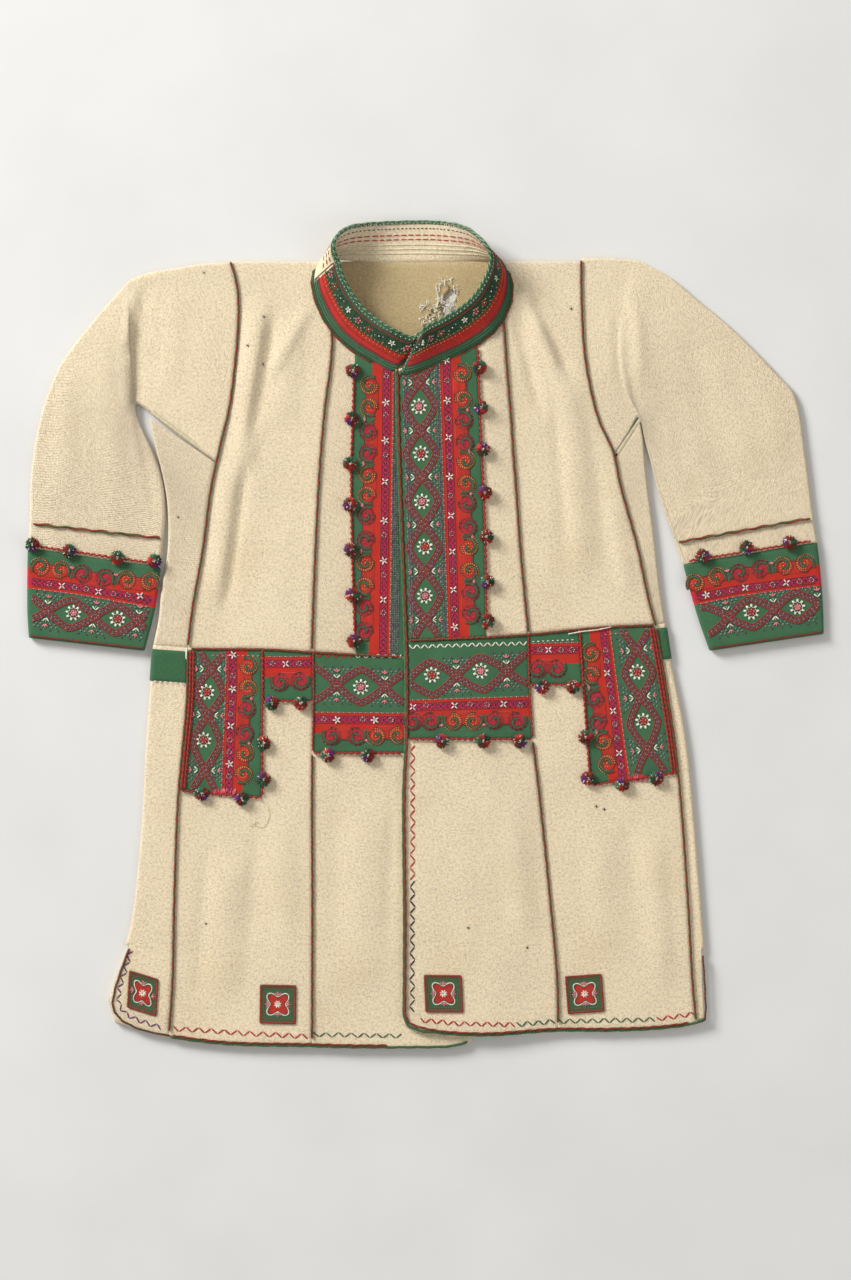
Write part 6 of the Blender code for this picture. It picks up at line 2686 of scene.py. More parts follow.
def ring_points(centre: Array, radius: Any, count: int, start: float = 0.0, sweep: float = 2 * np.pi) -> Array:
    """Gives points on an arc about a centre, its two ends among them."""
    angle = start + sweep * np.linspace(0, 1, count)
    return centre + np.column_stack([np.cos(angle), np.sin(angle)]) * np.reshape(radius, (-1, 1))


class Motifs(Needlework):
    """The motifs that the coat's bands repeat."""

    angular = 0.6

    def lobe(self, centre: Array, away: Array, outwards: Array, dots: Thread, radius: float = 9.4) -> None:
        """Sews a scroll: a red disc with a green channel curled into it.

        The channel's radius falls from 1.06 to 0.16 of the lobe's over 360°,
        from the gap between two pairs round by the red band.

        Args:
            centre: Middle of the lobe.
            away: Way from the purple row to the lobe.
            outwards: Way from its partner to the lobe.
            dots: Thread of the dots.
            radius: The lobe's radius.
        """
        red = Thread.MAGENTA.light * 0.45 + Thread.RED.light * 0.45 if dots is PINK else Thread.RED.light
        across = np.arange(-radius + 0.6, radius, 1.05)
        half = np.sqrt(radius**2 - across**2)
        first = centre + np.outer(across, outwards) - np.outer(half, away)
        self.satin(first, first + 2 * np.outer(half, away), red, 1.5)
        bed = ring_points(centre, radius - 1.5, 34, start_angle(outwards, away), 2 * np.pi)
        self.line(bed, Thread.DARK_RED, 1.3, 2.4, 0.1)
        start = start_angle(outwards, away)
        sense = 1.0 if away[0] * outwards[1] - away[1] * outwards[0] < 0 else -1.0
        share = np.linspace(0, 1, 26)
        spiral = ring_points(centre, radius * (1.06 - 0.90 * share**0.9), 26, start, sense * 1.95 * np.pi)
        self.line(spiral, Thread.GREEN, 2.3, 2.0, 0.42)
        self.line(beside(spiral, 1.35), Thread.BROWN, 0.8, 2.0, 0.6)
        self.line(beside(spiral, -1.35), Thread.BROWN, 0.8, 2.0, 0.6)
        rim = ring_points(centre, radius, 34, start + sense * 0.35, sense * 1.66 * np.pi)
        self.line(rim, Thread.BROWN, 0.9, 2.2, 0.3)
        tone = Thread.NAVY if dots is PINK else OCHRE
        second = Thread.ROSE if dots is PINK else OCHRE
        inner = ring_points(centre, radius - 1.5, 34, start + sense * 0.5, sense * 1.55 * np.pi)
        self.dots(inner, (tone, second), 2.4, 1.4)
        self.dots(beside(spiral, -2.6 * sense)[4:-4], (second, tone), 2.4, 1.3)
        core = ring_points(centre, radius * 0.40, 12, start + sense * 2.2, sense * 1.7 * np.pi)
        self.dots(core, (second, tone), 2.4, 1.3)
        self.knots(centre[None], second, 1.5, 0.6)

    def bridge(self, middle: Array, away: Array, along: Array, half: float) -> None:
        """Sews the red that joins a pair of scrolls to the band's red.

        Args:
            middle: Middle of the motif.
            away: Way from the purple row.
            along: Way along the purple row.
            half: Half its length.
        """
        depth = np.arange(-9.0, 3.5, 1.05)
        spots = middle + np.outer(depth, away)
        wide = half * (1 - 0.55 * smooth((depth + 2.0) / 5.5))
        self.satin(spots - np.outer(wide, along), spots + np.outer(wide, along), Thread.RED.light, 1.5)
        tips = middle + np.outer(np.full(9, 4.0), away) + np.outer(np.linspace(-half * 0.45, half * 0.45, 9), along)
        self.line(tips, Thread.BROWN, 0.9, 2.0, 0.3)

    def notch(self, middle: Array, away: Array, along: Array) -> None:
        """Sews the green point that runs into the red between two pairs.

        Args:
            middle: Middle of the motif.
            away: Way from the purple row.
            along: Way along the purple row.
        """
        depth = np.arange(0, 5.0, 0.9)
        half = 3.4 * (1 - depth / 5.4) ** 1.4
        spots = middle - np.outer(depth, away)
        self.satin(spots - np.outer(half, along), spots + np.outer(half, along), Thread.GREEN, 1.2, 0.2)

    def flower(self, centre: Array, thread: Thread, radius: float = 8.6, petals: int = 9) -> None:
        """Sews a round flower: dark ring, pale petals and a dyed middle.

        Args:
            centre: Its middle.
            thread: Its dye.
            radius: Its radius.
            petals: Number of petals.
        """
        angle = 2 * np.pi * (np.arange(petals) + self.random.uniform(0, 0.5)) / petals
        ways = np.column_stack([np.cos(angle), np.sin(angle)])
        across = np.column_stack([-ways[:, 1], ways[:, 0]])
        for shift in (-0.6, 0.6):
            start, end = centre + ways * 4.9 + across * shift, centre + ways * radius + across * shift * 0.6
            self.sew(start, end, Thread.CREAM, 1.35, 0.25, 0.5)
        gaps = np.column_stack([np.cos(angle + np.pi / petals), np.sin(angle + np.pi / petals)])
        self.knots(centre + gaps * 6.2, Thread.NAVY, 1.1, 0.15)
        self.knots(centre + gaps * 5.0, Thread.CREAM, 1.2, 0.3)
        self.line(ring_points(centre, 4.1, 13), Thread.BROWN, 1.0, 2.0, 0.3)
        spots = np.concatenate([ring_points(centre, 2.7, 9)[:-1], ring_points(centre, 1.1, 5), centre[None]])
        self.knots(spots, thread, 2.1, 0.3)
        self.knots(ring_points(centre, 2.9, 6, 0.4)[:-1], Thread.CREAM, 1.0, 0.7)

    def tulip(self, centre: Array, way: Array, thread: Thread, size: float = 3.4) -> None:
        """Sews a small cup of three fanned stitches between two dark leaves.

        Args:
            centre: Its middle.
            way: The way that it points.
            thread: Its dye.
            size: Size in millimetres.
        """
        foot = centre - way * size * 0.6
        for angle in (-0.8, 0.0, 0.8):
            self.sew(foot[None], (foot + turned(way, angle) * size * 1.35)[None], thread, 1.35, 0.5)
        for angle in (-1.35, 1.35):
            tip = turned(way, angle) * size * 1.15
            self.sew(foot[None], (foot + tip)[None], Thread.DEEP_GREEN, 1.1, 0.3)

    def barb(self, centre: Array, way: Array, thread: Thread, size: float = 5.4) -> None:
        """Sews an arrowhead, its point against its way, over dark stitches.

        Args:
            centre: Its middle.
            way: The way that it points.
            thread: Its dye.
            size: Size in millimetres.
        """
        point = centre - way * size * 0.45
        for angle in (-0.72, 0.72):
            self.sew(point[None], (point + turned(way, angle) * size)[None], thread, 1.45, 0.5)
        self.sew((point + way * 1.6)[None], (point + way * size * 0.95)[None], Thread.PALE_GREEN, 1.1, 0.4)
        for angle in (-1.25, 1.25):
            self.sew(point[None], (point + turned(way, angle) * size * 0.8)[None], Thread.NAVY, 1.0, 0.3)

    def rosette(self, centre: Array) -> None:
        """Sews a small ring of pale and green dots on the purple row.

        Args:
            centre: Its middle.
        """
        spots = ring_points(centre, 2.3, 8)[:-1]
        self.knots(spots[::2], Thread.CREAM, 1.15, 0.3)
        self.knots(spots[1::2], Thread.PALE_GREEN, 1.15, 0.3)
        self.knots(centre[None], Thread.GREEN, 1.5, 0.3)

    def diamonds(self, path: Array, keep: Callable[[Array], Array]) -> None:
        """Sews the dark dots of the purple row, in crossing slanted rows.

        Args:
            path: The purple row.
            keep: Test of which places are on the band.
        """
        spots = spaced(path, 1.9)
        phase = np.arange(len(spots)) * 1.9 / 11.5 * 2 * np.pi
        for sign in (1, -1):
            run = np.gradient(spots, axis=0)
            run /= np.linalg.norm(run, axis=1, keepdims=True)
            wave = 2.9 * np.arcsin(np.sin(phase)) / (np.pi / 2) * sign
            side = spots + np.column_stack([-run[:, 1], run[:, 0]]) * wave[:, None]
            side = side[keep(side)]
            self.knots(side[::2], Thread.NAVY, 1.7, 0.3)
            self.knots(side[1::2], Thread.PURPLE, 1.6, 0.3)

    def twin_line(self, path: Array, keep: Callable[[Array], Array]) -> None:
        """Sews one strand of the lattice: two cords with dots between.

        Args:
            path: Path of the strand.
            keep: Test of which places are on the band.
        """
        fine = spaced(path, 2.0)
        kept = keep(fine)
        both = kept[:-1] & kept[1:]
        bed = Thread.LILAC.light * 0.28 + Thread.DARK_RED.light * 0.3 + Thread.OLIVE.light * 0.25
        self.sew(fine[:-1][both], fine[1:][both] + np.diff(fine, axis=0)[both] * 0.3, bed, 5.6, 0.0, 0.25)
        for by in (-2.9, 2.9):
            side = beside(fine, by)
            ok = keep(side)
            inside = ok[:-1] & ok[1:]
            run = np.diff(side, axis=0)[inside]
            lean = np.column_stack([-run[:, 1], run[:, 0]]) * 0.1
            start = side[:-1][inside]
            self.sew(start - run * 0.18 - lean, start + run * 1.18 + lean, Thread.CORD_RED, 1.75, 0.3)
        tones = np.array([Thread.LILAC.light * 1.5, Thread.DARK_RED.light, Thread.LILAC.light, Thread.CORD_RED.light])
        fine = spaced(path, 2.3)
        for by in (-1.2, 1.2):
            spots = beside(fine, by)
            spots = spots[keep(spots)]
            self.knots(spots, tones[(np.arange(len(spots)) + 2 * (by > 0)) % 4], 1.7, 0.45)

    def lattice(self, knots: Array, reach: float, keep: Callable[[Array], Array]) -> None:
        """Sews the two sinuous strands that cross at each of the knots.

        Between two knots a strand leaves the straight line between them by
        ± reach · (g · (1 − |2s − 1|) + (1 − g) · sin π s), where g is the share of
        straight line in its curve, and crosses over at each knot.

        Args:
            knots: Places where the strands cross, in order.
            reach: How far a strand swings out.
            keep: Test of which places are on the band.
        """
        for sign in (1.0, -1.0):
            parts, swing = [], sign
            for a, b in zip(knots[:-1], knots[1:]):
                run = b - a
                length = np.linalg.norm(run)
                side = np.array([-run[1], run[0]]) / length
                s = np.linspace(0, 1, 24)[:-1, None]
                swell = self.angular * (1 - abs(2 * s - 1)) + (1 - self.angular) * np.sin(np.pi * s)
                near = min(1.0, length / 40.0)
                parts.append(a + run * s + side * reach * near * swing * swell)
                swing = -swing
            parts.append(knots[-1:])
            self.twin_line(np.concatenate(parts), keep)


@dataclass
class Embroidery:
    """The needlework of one band, on its strip of cloth."""

    band: Band
    height: Field
    edge: Callable[[Array], Array]
    seed: int
    tulip_near: float = 9.5
    tulip_far: float = 15.5

    def sides(self, spot: Array, path: Array) -> tuple[Array, Array]:
        """Gives the ways along and across the purple row nearest a place.

        Args:
            spot: The place.
            path: The purple row.

        Returns:
            The two unit ways.
        """
        fine = spaced(path, 2.0)
        near = int(np.linalg.norm(fine - spot, axis=1).argmin())
        run = np.gradient(fine, axis=0)[near]
        run /= np.linalg.norm(run)
        return run, np.array([-run[1], run[0]]) * self.band.lobes_side

    def build(self, yarn: bpy.types.Material) -> None:
        """Sews the whole band and builds it as one piece.

        Args:
            yarn: The stitches' finish.
        """
        work = Motifs(PlanGround(self.height, 0.0), self.seed)
        path = marks(*self.band.row)
        self.row_work(work, path)
        self.lobe_work(work, path)
        self.lattice_work(work, path)
        made = work.build(self.band.node + "_stitching", yarn)

    def inside(self, spots: Array) -> Array:
        """Gives which places lie on the strip, clear of its edges."""
        return self.edge(spots)

    def kept(self, spots: Array) -> Array:
        """Gives the places that lie on the strip."""
        return spots[self.inside(spots)]

    def row_work(self, work: Motifs, path: Array) -> None:
        """Sews the purple row: edges, dark dots, stars and rosettes.

        Args:
            work: What gathers the stitches.
            path: The purple row.
        """
        for by, thread in ((-3.9, Thread.DARK_RED), (3.9, Thread.DARK_RED)):
            line = self.kept(beside(spaced(path, 2.2), by))
            if len(line) > 2:
                work.line(line, thread, 0.9)
        line = self.kept(beside(spaced(path, 1.9), -7.3 * self.band.lobes_side))
        if len(line) > 2:
            tones = np.array([Thread.LILAC.light, Thread.CREAM.light * 0.8, Thread.PINK.light])
            work.knots(line, tones[np.arange(len(line)) % 3], 1.15)
        for by in self.band.grey_rows:
            line = self.kept(beside(spaced(path, 1.9), by * PICTURE_PITCH * self.band.lobes_side))
            if len(line) > 2:
                tones = np.array([Thread.LILAC.light, Thread.PURPLE.light, Thread.LILAC.light * 1.5])
                work.knots(line, tones[work.random.integers(0, 3, len(line))], 1.3)
        work.diamonds(path, self.inside)
        for spot in self.kept(marks(*self.band.stars)):
            work.star(spot, 4.6, 4 + int(spot[1]) % 2)
        if self.band.rings:
            for spot in self.kept(marks(*self.band.rings)):
                work.rosette(spot)

    def lobe_work(self, work: Motifs, path: Array) -> None:
        """Sews the pairs of scrolls and the green points between them.

        Args:
            work: What gathers the stitches.
            path: The purple row.
        """
        lobes = self.band.lobes
        for i, spot in enumerate(lobes):
            mate = lobes[i ^ 1] if i ^ 1 < len(lobes) else lobes[i - 1]
            centre = Mark(spot.across, spot.down).plan
            partner = Mark(mate.across, mate.down).plan
            _, away = self.sides(centre, path)
            outwards = centre - partner
            outwards = outwards - away * (outwards @ away)
            apart = float(np.linalg.norm(outwards))
            outwards /= apart
            if i % 2 == 0:
                work.bridge((centre + partner) / 2, away, outwards, min(apart / 2, 10.0))
            work.lobe(centre, away, outwards, spot.thread)
            if i % 2 == 0 and i + 2 < len(lobes):
                after = lobes[i + 2]
                middle = (partner + Mark(after.across, after.down).plan) / 2
                work.notch(middle - away * 3.0, away, outwards)
                work.tulip(middle + away * 4.5, away, Thread.PINK, 2.6)

    def lattice_work(self, work: Motifs, path: Array) -> None:
        """Sews the lattice, its flowers and the tulips at its crossings.

        Args:
            work: What gathers the stitches.
            path: The purple row.
        """
        band = self.band
        if not band.crossings:
            return
        knots = marks(band.ends[0], *band.crossings, band.ends[1])
        if len(band.crossings) > 1:
            knots[0], knots[-1] = 2 * knots[1] - knots[2], 2 * knots[-2] - knots[-3]
        work.lattice(knots, band.lattice_reach * PICTURE_PITCH, self.inside)
        for spot in band.flowers:
            work.flower(Mark(spot.across, spot.down).plan, spot.thread)
        for spot in marks(*band.crossings):
            _, away = self.sides(spot, path)
            for side in (1, -1):
                near = spot + away * side * self.tulip_near
                far = spot + away * side * self.tulip_far
                if self.inside(far[None])[0]:
                    work.tulip(far, away * side, Thread.PINK)
                if self.inside(near[None])[0]:
                    work.barb(near, away * side, Thread.CREAM)
                self.mesh_dots(work, spot, away * side)

    def mesh_dots(self, work: Motifs, spot: Array, way: Array) -> None:
        """Sews lilac dots in slanting rows beside the tulips of a crossing.

        Args:
            work: What gathers the stitches.
            spot: The crossing.
            way: Way from the crossing.
        """
        along = np.array([-way[1], way[0]])
        far = np.array([7.5, 10.5, 13.5, 16.5, 19.5, 13.5, 16.5, 19.5])
        out = np.array([5.0, 7.0, 5.0, 7.0, 5.0, 9.6, 11.6, 13.8])
        for sign in (1, -1):
            spots = spot + np.outer(far, way) + np.outer(out * sign, along)
            spots = self.kept(spots)
            tones = np.array([Thread.LILAC.light * 1.5, Thread.PURPLE.light, Thread.LILAC.light * 1.2])
            work.knots(spots, tones[np.arange(len(spots)) % 3], 2.0, 0.4)


def clear_of(left: Line, right: Line, top: Line, bottom: Line, inset: float = 1.6) -> Callable[[Array], Array]:
    """Gives a test of which plan places lie between four lines.

    Args:
        left: x of the left edge.
        right: x of the right edge.
        top: y of the upper edge.
        bottom: y of the lower edge.
        inset: How far inside they must be.

    Returns:
        The test.
    """

    def inside(spots: Array) -> Array:
        """Gives which places pass.

        Args:
            spots: Plan places, counts by 2.

        Returns:
            True where a place passes.
        """
        x, y = spots[:, 0], spots[:, 1]
        across = (x > left(y) + inset) & (x < right(y) - inset)
        return across & (y < top(x) - inset) & (y > bottom(x) + inset)

    return inside


# ---------------------------------------------------------------- trimmings


@dataclass(frozen=True)
class Edging:
    """A twisted edging on the cloth, with the pompons that it carries."""

    node: str
    height: Field
    path: Array
    pompons: Array
    rope: Rope = WAVY_EDGE


@dataclass
class Pompon:
    """A tuft of cut yarn in wedges of colour round a pale heart, which is a painted highlight on its top."""

    radius: float = 8.3
    strands: int = 190
    sectors: tuple[Thread, ...] = (
        Thread.RED,
        Thread.DEEP_GREEN,
        Thread.BROWN,
        Thread.DARK_RED,
        Thread.GREEN,
        Thread.PURPLE,
        Thread.CORD_RED,
    )

    def sew(self, work: Needlework, centre: Array, random: np.random.Generator) -> None:
        """Sets the strands over a dome.

        Their ways follow a sunflower spiral, cos θ = 1 − i / n and φ = i · 2.4,
        shaken a little, and the dome is lowered to 0.72 of a ball's height.

        Args:
            work: What gathers them.
            centre: The pompon's heart.
            random: Source of their unevenness.
        """
        i = np.arange(self.strands)
        rise = 1 - (i + 0.5) / self.strands * 1.12
        around = i * 2.39996 + random.uniform(-0.16, 0.16, self.strands)
        flat = np.sqrt(np.clip(1 - rise**2, 0, 1))
        ways = np.column_stack([flat * np.cos(around), flat * np.sin(around), rise * 0.72])
        turn = random.uniform(0, 2 * np.pi)
        bent = (around + turn + 0.5 * (1 - flat)) % (2 * np.pi) / (2 * np.pi)
        order = random.permutation(len(self.sectors))[:5]
        dyes = np.array([self.sectors[k].light for k in order])[(bent * 5).astype(int) % 5]
        dyes = dyes * random.uniform(0.6, 1.6, (self.strands, 1))
        # Cream strands at the dome's top are a painted highlight; one strand in twenty at random is cream as well.
        highlight_and_cream_strands = (rise > 0.975) | (random.uniform(0, 1, self.strands) < 0.05)
        dyes[highlight_and_cream_strands] = Thread.CREAM.light
        reach = self.radius * random.uniform(0.86, 1.08, (self.strands, 1))
        up = np.cross(ways, random.normal(size=ways.shape))
        up /= np.linalg.norm(up, axis=1, keepdims=True)
        work.free(centre + ways * 1.2, centre + ways * reach, up, 1.5, 0.75, np.clip(dyes, 0, 1))


def plan_of(x: Any, y: Any) -> Array:
    """Gives plan points from places across and up."""
    x, y = np.broadcast_arrays(np.asarray(x, float), np.asarray(y, float))
    return np.column_stack([x, y])


@dataclass
class Trimmings:
    """The edgings and pompons, the waist cords and the bindings."""

    dyes: Dyehouse

    def edgings(self) -> tuple[Edging, ...]:
        """Gives the edgings that carry pompons, as the solids have them.

        Returns:
            The edgings, in the order of their seeds.
        """
        y_left, y_right = np.linspace(284, -14, 120), np.linspace(300, 4, 120)
        at_left = np.array([276.7, 226.3, 179.0, 136.0, 88.7, 41.5, -6.8])
        at_right = np.array([279.8, 237.8, 193.7, 148.6, 102.4, 55.1, 14.2])
        x_left, x_right = np.linspace(-172, -256, 40), np.linspace(176, 264, 40)
        y_tall = np.linspace(3, -157, 60)
        return (
            Edging(
                "pompons_chest_left",
                Lay.left,
                plan_of(chest_left(y_left) - 1.0, y_left),
                plan_of(chest_left(at_left) - 2.2, at_left),
            ),
            Edging(
                "pompons_chest_right",
                Lay.right,
                plan_of(chest_right(y_right) + 1.0, y_right),
                plan_of(chest_right(at_right) + 2.2, at_right),
            ),
            Edging(
                "pompons_small_left",
                Lay.left,
                plan_of((-170, -120), LOW_SMALL_LEFT - 1.0),
                plan_of((-161.0, -130.6), -72.0),
            ),
            Edging(
                "pompons_tall_left_side",
                Lay.left,
                plan_of(-171.2, (-17.0, -169.0)),
                plan_of(-169.6, (-114.0, -152.0)),
            ),
            Edging(
                "pompons_tall_left_low",
                Lay.left,
                plan_of(x_left, low_tall_left(x_left) - 1.0),
                plan_of((-234.7, -192.7), (-167.0, -172.0)),
            ),
            Edging(
                "pompons_centre_left",
                Lay.left,
                plan_of((-117, -26), LOW_CENTRE_LEFT - 1.0),
                plan_of((-102.4, -60.4), -126.6),
            ),
            Edging(
                "pompons_centre_right",
                Lay.right,
                plan_of((-17, 111), LOW_CENTRE_RIGHT - 1.0),
                plan_of((17.3, 60.4, 99.2), -111.6),
            ),
            Edging(
                "pompons_small_right",
                Lay.left,
                plan_of((110, 164), LOW_SMALL_RIGHT - 1.0),
                plan_of((122.3, 154.9), -54.8),
            ),
            Edging(
                "pompons_tall_right_side",
                Lay.left,
                plan_of(tall_right_edge(y_tall) - 1.0, y_tall),
                plan_of((167.6, 170.4), (-107.6, -150.7)),
            ),
            Edging(
                "pompons_tall_right_low",
                Lay.left,
                plan_of(x_right, low_tall_right(x_right) - 1.0),
                plan_of((206.3, 242.0), (-157.0, -151.0)),
            ),
        )

    def rope(self, name: str, path: Array, rope: Rope, node: Optional[str] = None, slot: str = "brown_cord") -> None:
        """Lays one twisted cord over points on the cloth.

        Args:
            name: The piece's name.
            path: Points along the path.
            rope: The rope.
            node: The solid that it stands for, or None.
            slot: Not used.
        """
        lifted = path + np.array([0.0, 0.0, ON_CLOTH + rope.radius * 0.6])
        made = rope.mesh(lifted).build(name, [self.dyes.yarn])
        if node:
            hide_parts(node)

    def pompons(self, node: str, spots: Sequence[Array], seed: int) -> None:
        """Sets the pompons of one edging.

        Args:
            node: The solid that they stand for.
            spots: Their hearts.
            seed: Seed of their unevenness.
        """
        work = Needlework(None, seed)
        random = np.random.default_rng(seed + 500)
        for spot in spots:
            Pompon().sew(work, spot, random)
        made = work.build(node + "_tufts", self.dyes.yarn)
        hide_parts(node)

    def build(self, sleeves: dict[str, Array]) -> None:
        """Lays every edging, binding and pompon.

        Args:
            sleeves: The sleeves' outer grids by name.
        """
        for number, edging in enumerate(self.edgings()):
            path = on_cloth(edging.path, edging.height)
            self.rope(edging.node + "_edging", path, edging.rope, edging.node, "dark_red_yarn")
            plan = edging.pompons
            lift = edging.height(plan[:, 0], plan[:, 1]) + 3.6
            self.pompons(edging.node, np.column_stack([plan, lift]), 70 + number)
        self.cuffs(sleeves)
        self.piece_edges()
        self.waist()
        self.bindings()

    def cuffs(self, sleeves: dict[str, Array]) -> None:
        """Lays the edging over each cuff's top and its pompons.

        Args:
            sleeves: The sleeves' outer grids by name.
        """
        plans = {
            "left": ((-412.0, 95.0), (-373.3, 88.7), (-322.9, 81.4), (-284.0, 78.0)),
            "right": ((290.3, 83.5), (336.5, 91.9), (381.7, 97.1)),
        }
        for number, (side, plan) in enumerate(plans.items()):
            path = sleeve_line("sleeve_" + side, sleeves["sleeve_" + side], 0.9)[1:-1]
            node = "pompons_cuff_" + side
            self.rope(node + "_edging", path, WAVY_EDGE, node, "dark_red_yarn")
            spots = [np.array([x, y - 1.0, 11.0]) for x, y in plan]
            self.pompons(node, spots, 90 + number)
            outer = CUFF_LEFT[-1] if side == "left" else CUFF_RIGHT[-1]
            ends = np.array([[outer.inner_x, outer.inner_y + 1.5], [outer.outer_x, outer.outer_y + 1.5]])
            run = spaced(ends, 3.0)[1:-1]
            self.rope(
                "cuff_hem_" + side,
                np.column_stack([run, np.full(len(run), 6.6)]),
                Rope(1.0, 5.0, (Thread.DARK_RED, Thread.BROWN)),
            )

    def piece_edges(self) -> None:
        """Lays the twisted edges between and beside the skirt pieces."""
        thin = Rope(1.1, 5.0, (Thread.RED, Thread.BROWN), 1.1, 5, 0.35, 6.0)
        thick = Rope(1.5, 5.6, (Thread.RED, Thread.BROWN, Thread.DARK_RED), 1.1, 5, 0.3, 7.0)
        y_left, y_right = np.linspace(-18.5, -122, 60), np.linspace(0.5, -107, 60)
        self.rope("edge_centre_left", on_cloth(plan_of(skirt_princess_left(y_left) + 0.2, y_left), Lay.left), thin)
        self.rope("edge_centre_right", on_cloth(plan_of(skirt_princess_right(y_right), y_right), Lay.left), thin)
        y = np.linspace(-17, -162, 80)
        for name, by in (("a", 3.0), ("b", 6.0)):
            plan = plan_of(skirt_side_left(y) + by, y)
            self.rope("edge_tall_left_" + name, on_cloth(plan, Lay.left), thick)
        y = np.linspace(7, -145, 80)
        for name, by in (("a", -3.0), ("b", -6.0)):
            plan = plan_of(skirt_side_right(y) + by, y)
            self.rope("edge_tall_right_" + name, on_cloth(plan, Lay.left), thick)

    def waist(self) -> None:
        """Lays the cord over the waist seam, in its two halves."""
        waist = Rope(1.3, 6.0, (Thread.BROWN, Thread.RED, Thread.OLIVE))
        x = np.linspace(-246, -27, 90)
        self.rope("waist_cord_left", on_cloth(plan_of(x, waist_left(x) - 0.6), Lay.left), waist)
        x = np.linspace(-17, 240, 100)
        self.rope("waist_cord_right", on_cloth(plan_of(x, waist_right(x) - 0.6), Lay.right), waist)

    def bindings(self) -> None:
        """Lays the binding outside the edge cords: fronts, hems and vents."""
        green = Rope(1.6, 9.0, (Thread.GREEN, Thread.GREEN, Thread.OLIVE))
        y = np.linspace(277, -400, 220)
        x = np.linspace(-6, 294, 110)
        plan = np.concatenate([plan_of(upper_edge(y) + 0.4, y), [[-18.6, -410.0]], plan_of(x, hem_right(x) + 0.9)])
        self.rope("binding_right", on_cloth(plan, Lay.right) - [0, 0, 1.6], green)
        x = np.linspace(-268, 44, 120)
        self.rope("binding_left", on_cloth(plan_of(x, hem_left(x) + 0.9), Lay.left) - [0, 0, 1.4], green)
        gore = marks(
            (170.6, 1035.4),
            (150, 1031.6),
            (136, 1027.4),
            (123, 1020.6),
            (115, 1012),
            (112.6, 1002),
            (116, 986),
            (122.8, 966),
            (129.6, 948),
        )
        brown = Rope(1.3, 5.0, (Thread.DARK_RED, Thread.GREEN, Thread.BROWN))
        self.rope("binding_gore_left", on_cloth(gore, Lay.left) - [0, 0, 1.4], brown)
        gore = marks((695.6, 1022.4), (704.6, 1019.6), (705.4, 1008), (704.4, 985), (702.4, 955))
        self.rope("binding_gore_right", on_cloth(gore, Lay.left) - [0, 0, 1.4], brown)


# ---------------------------------------------------------------- hand sewing


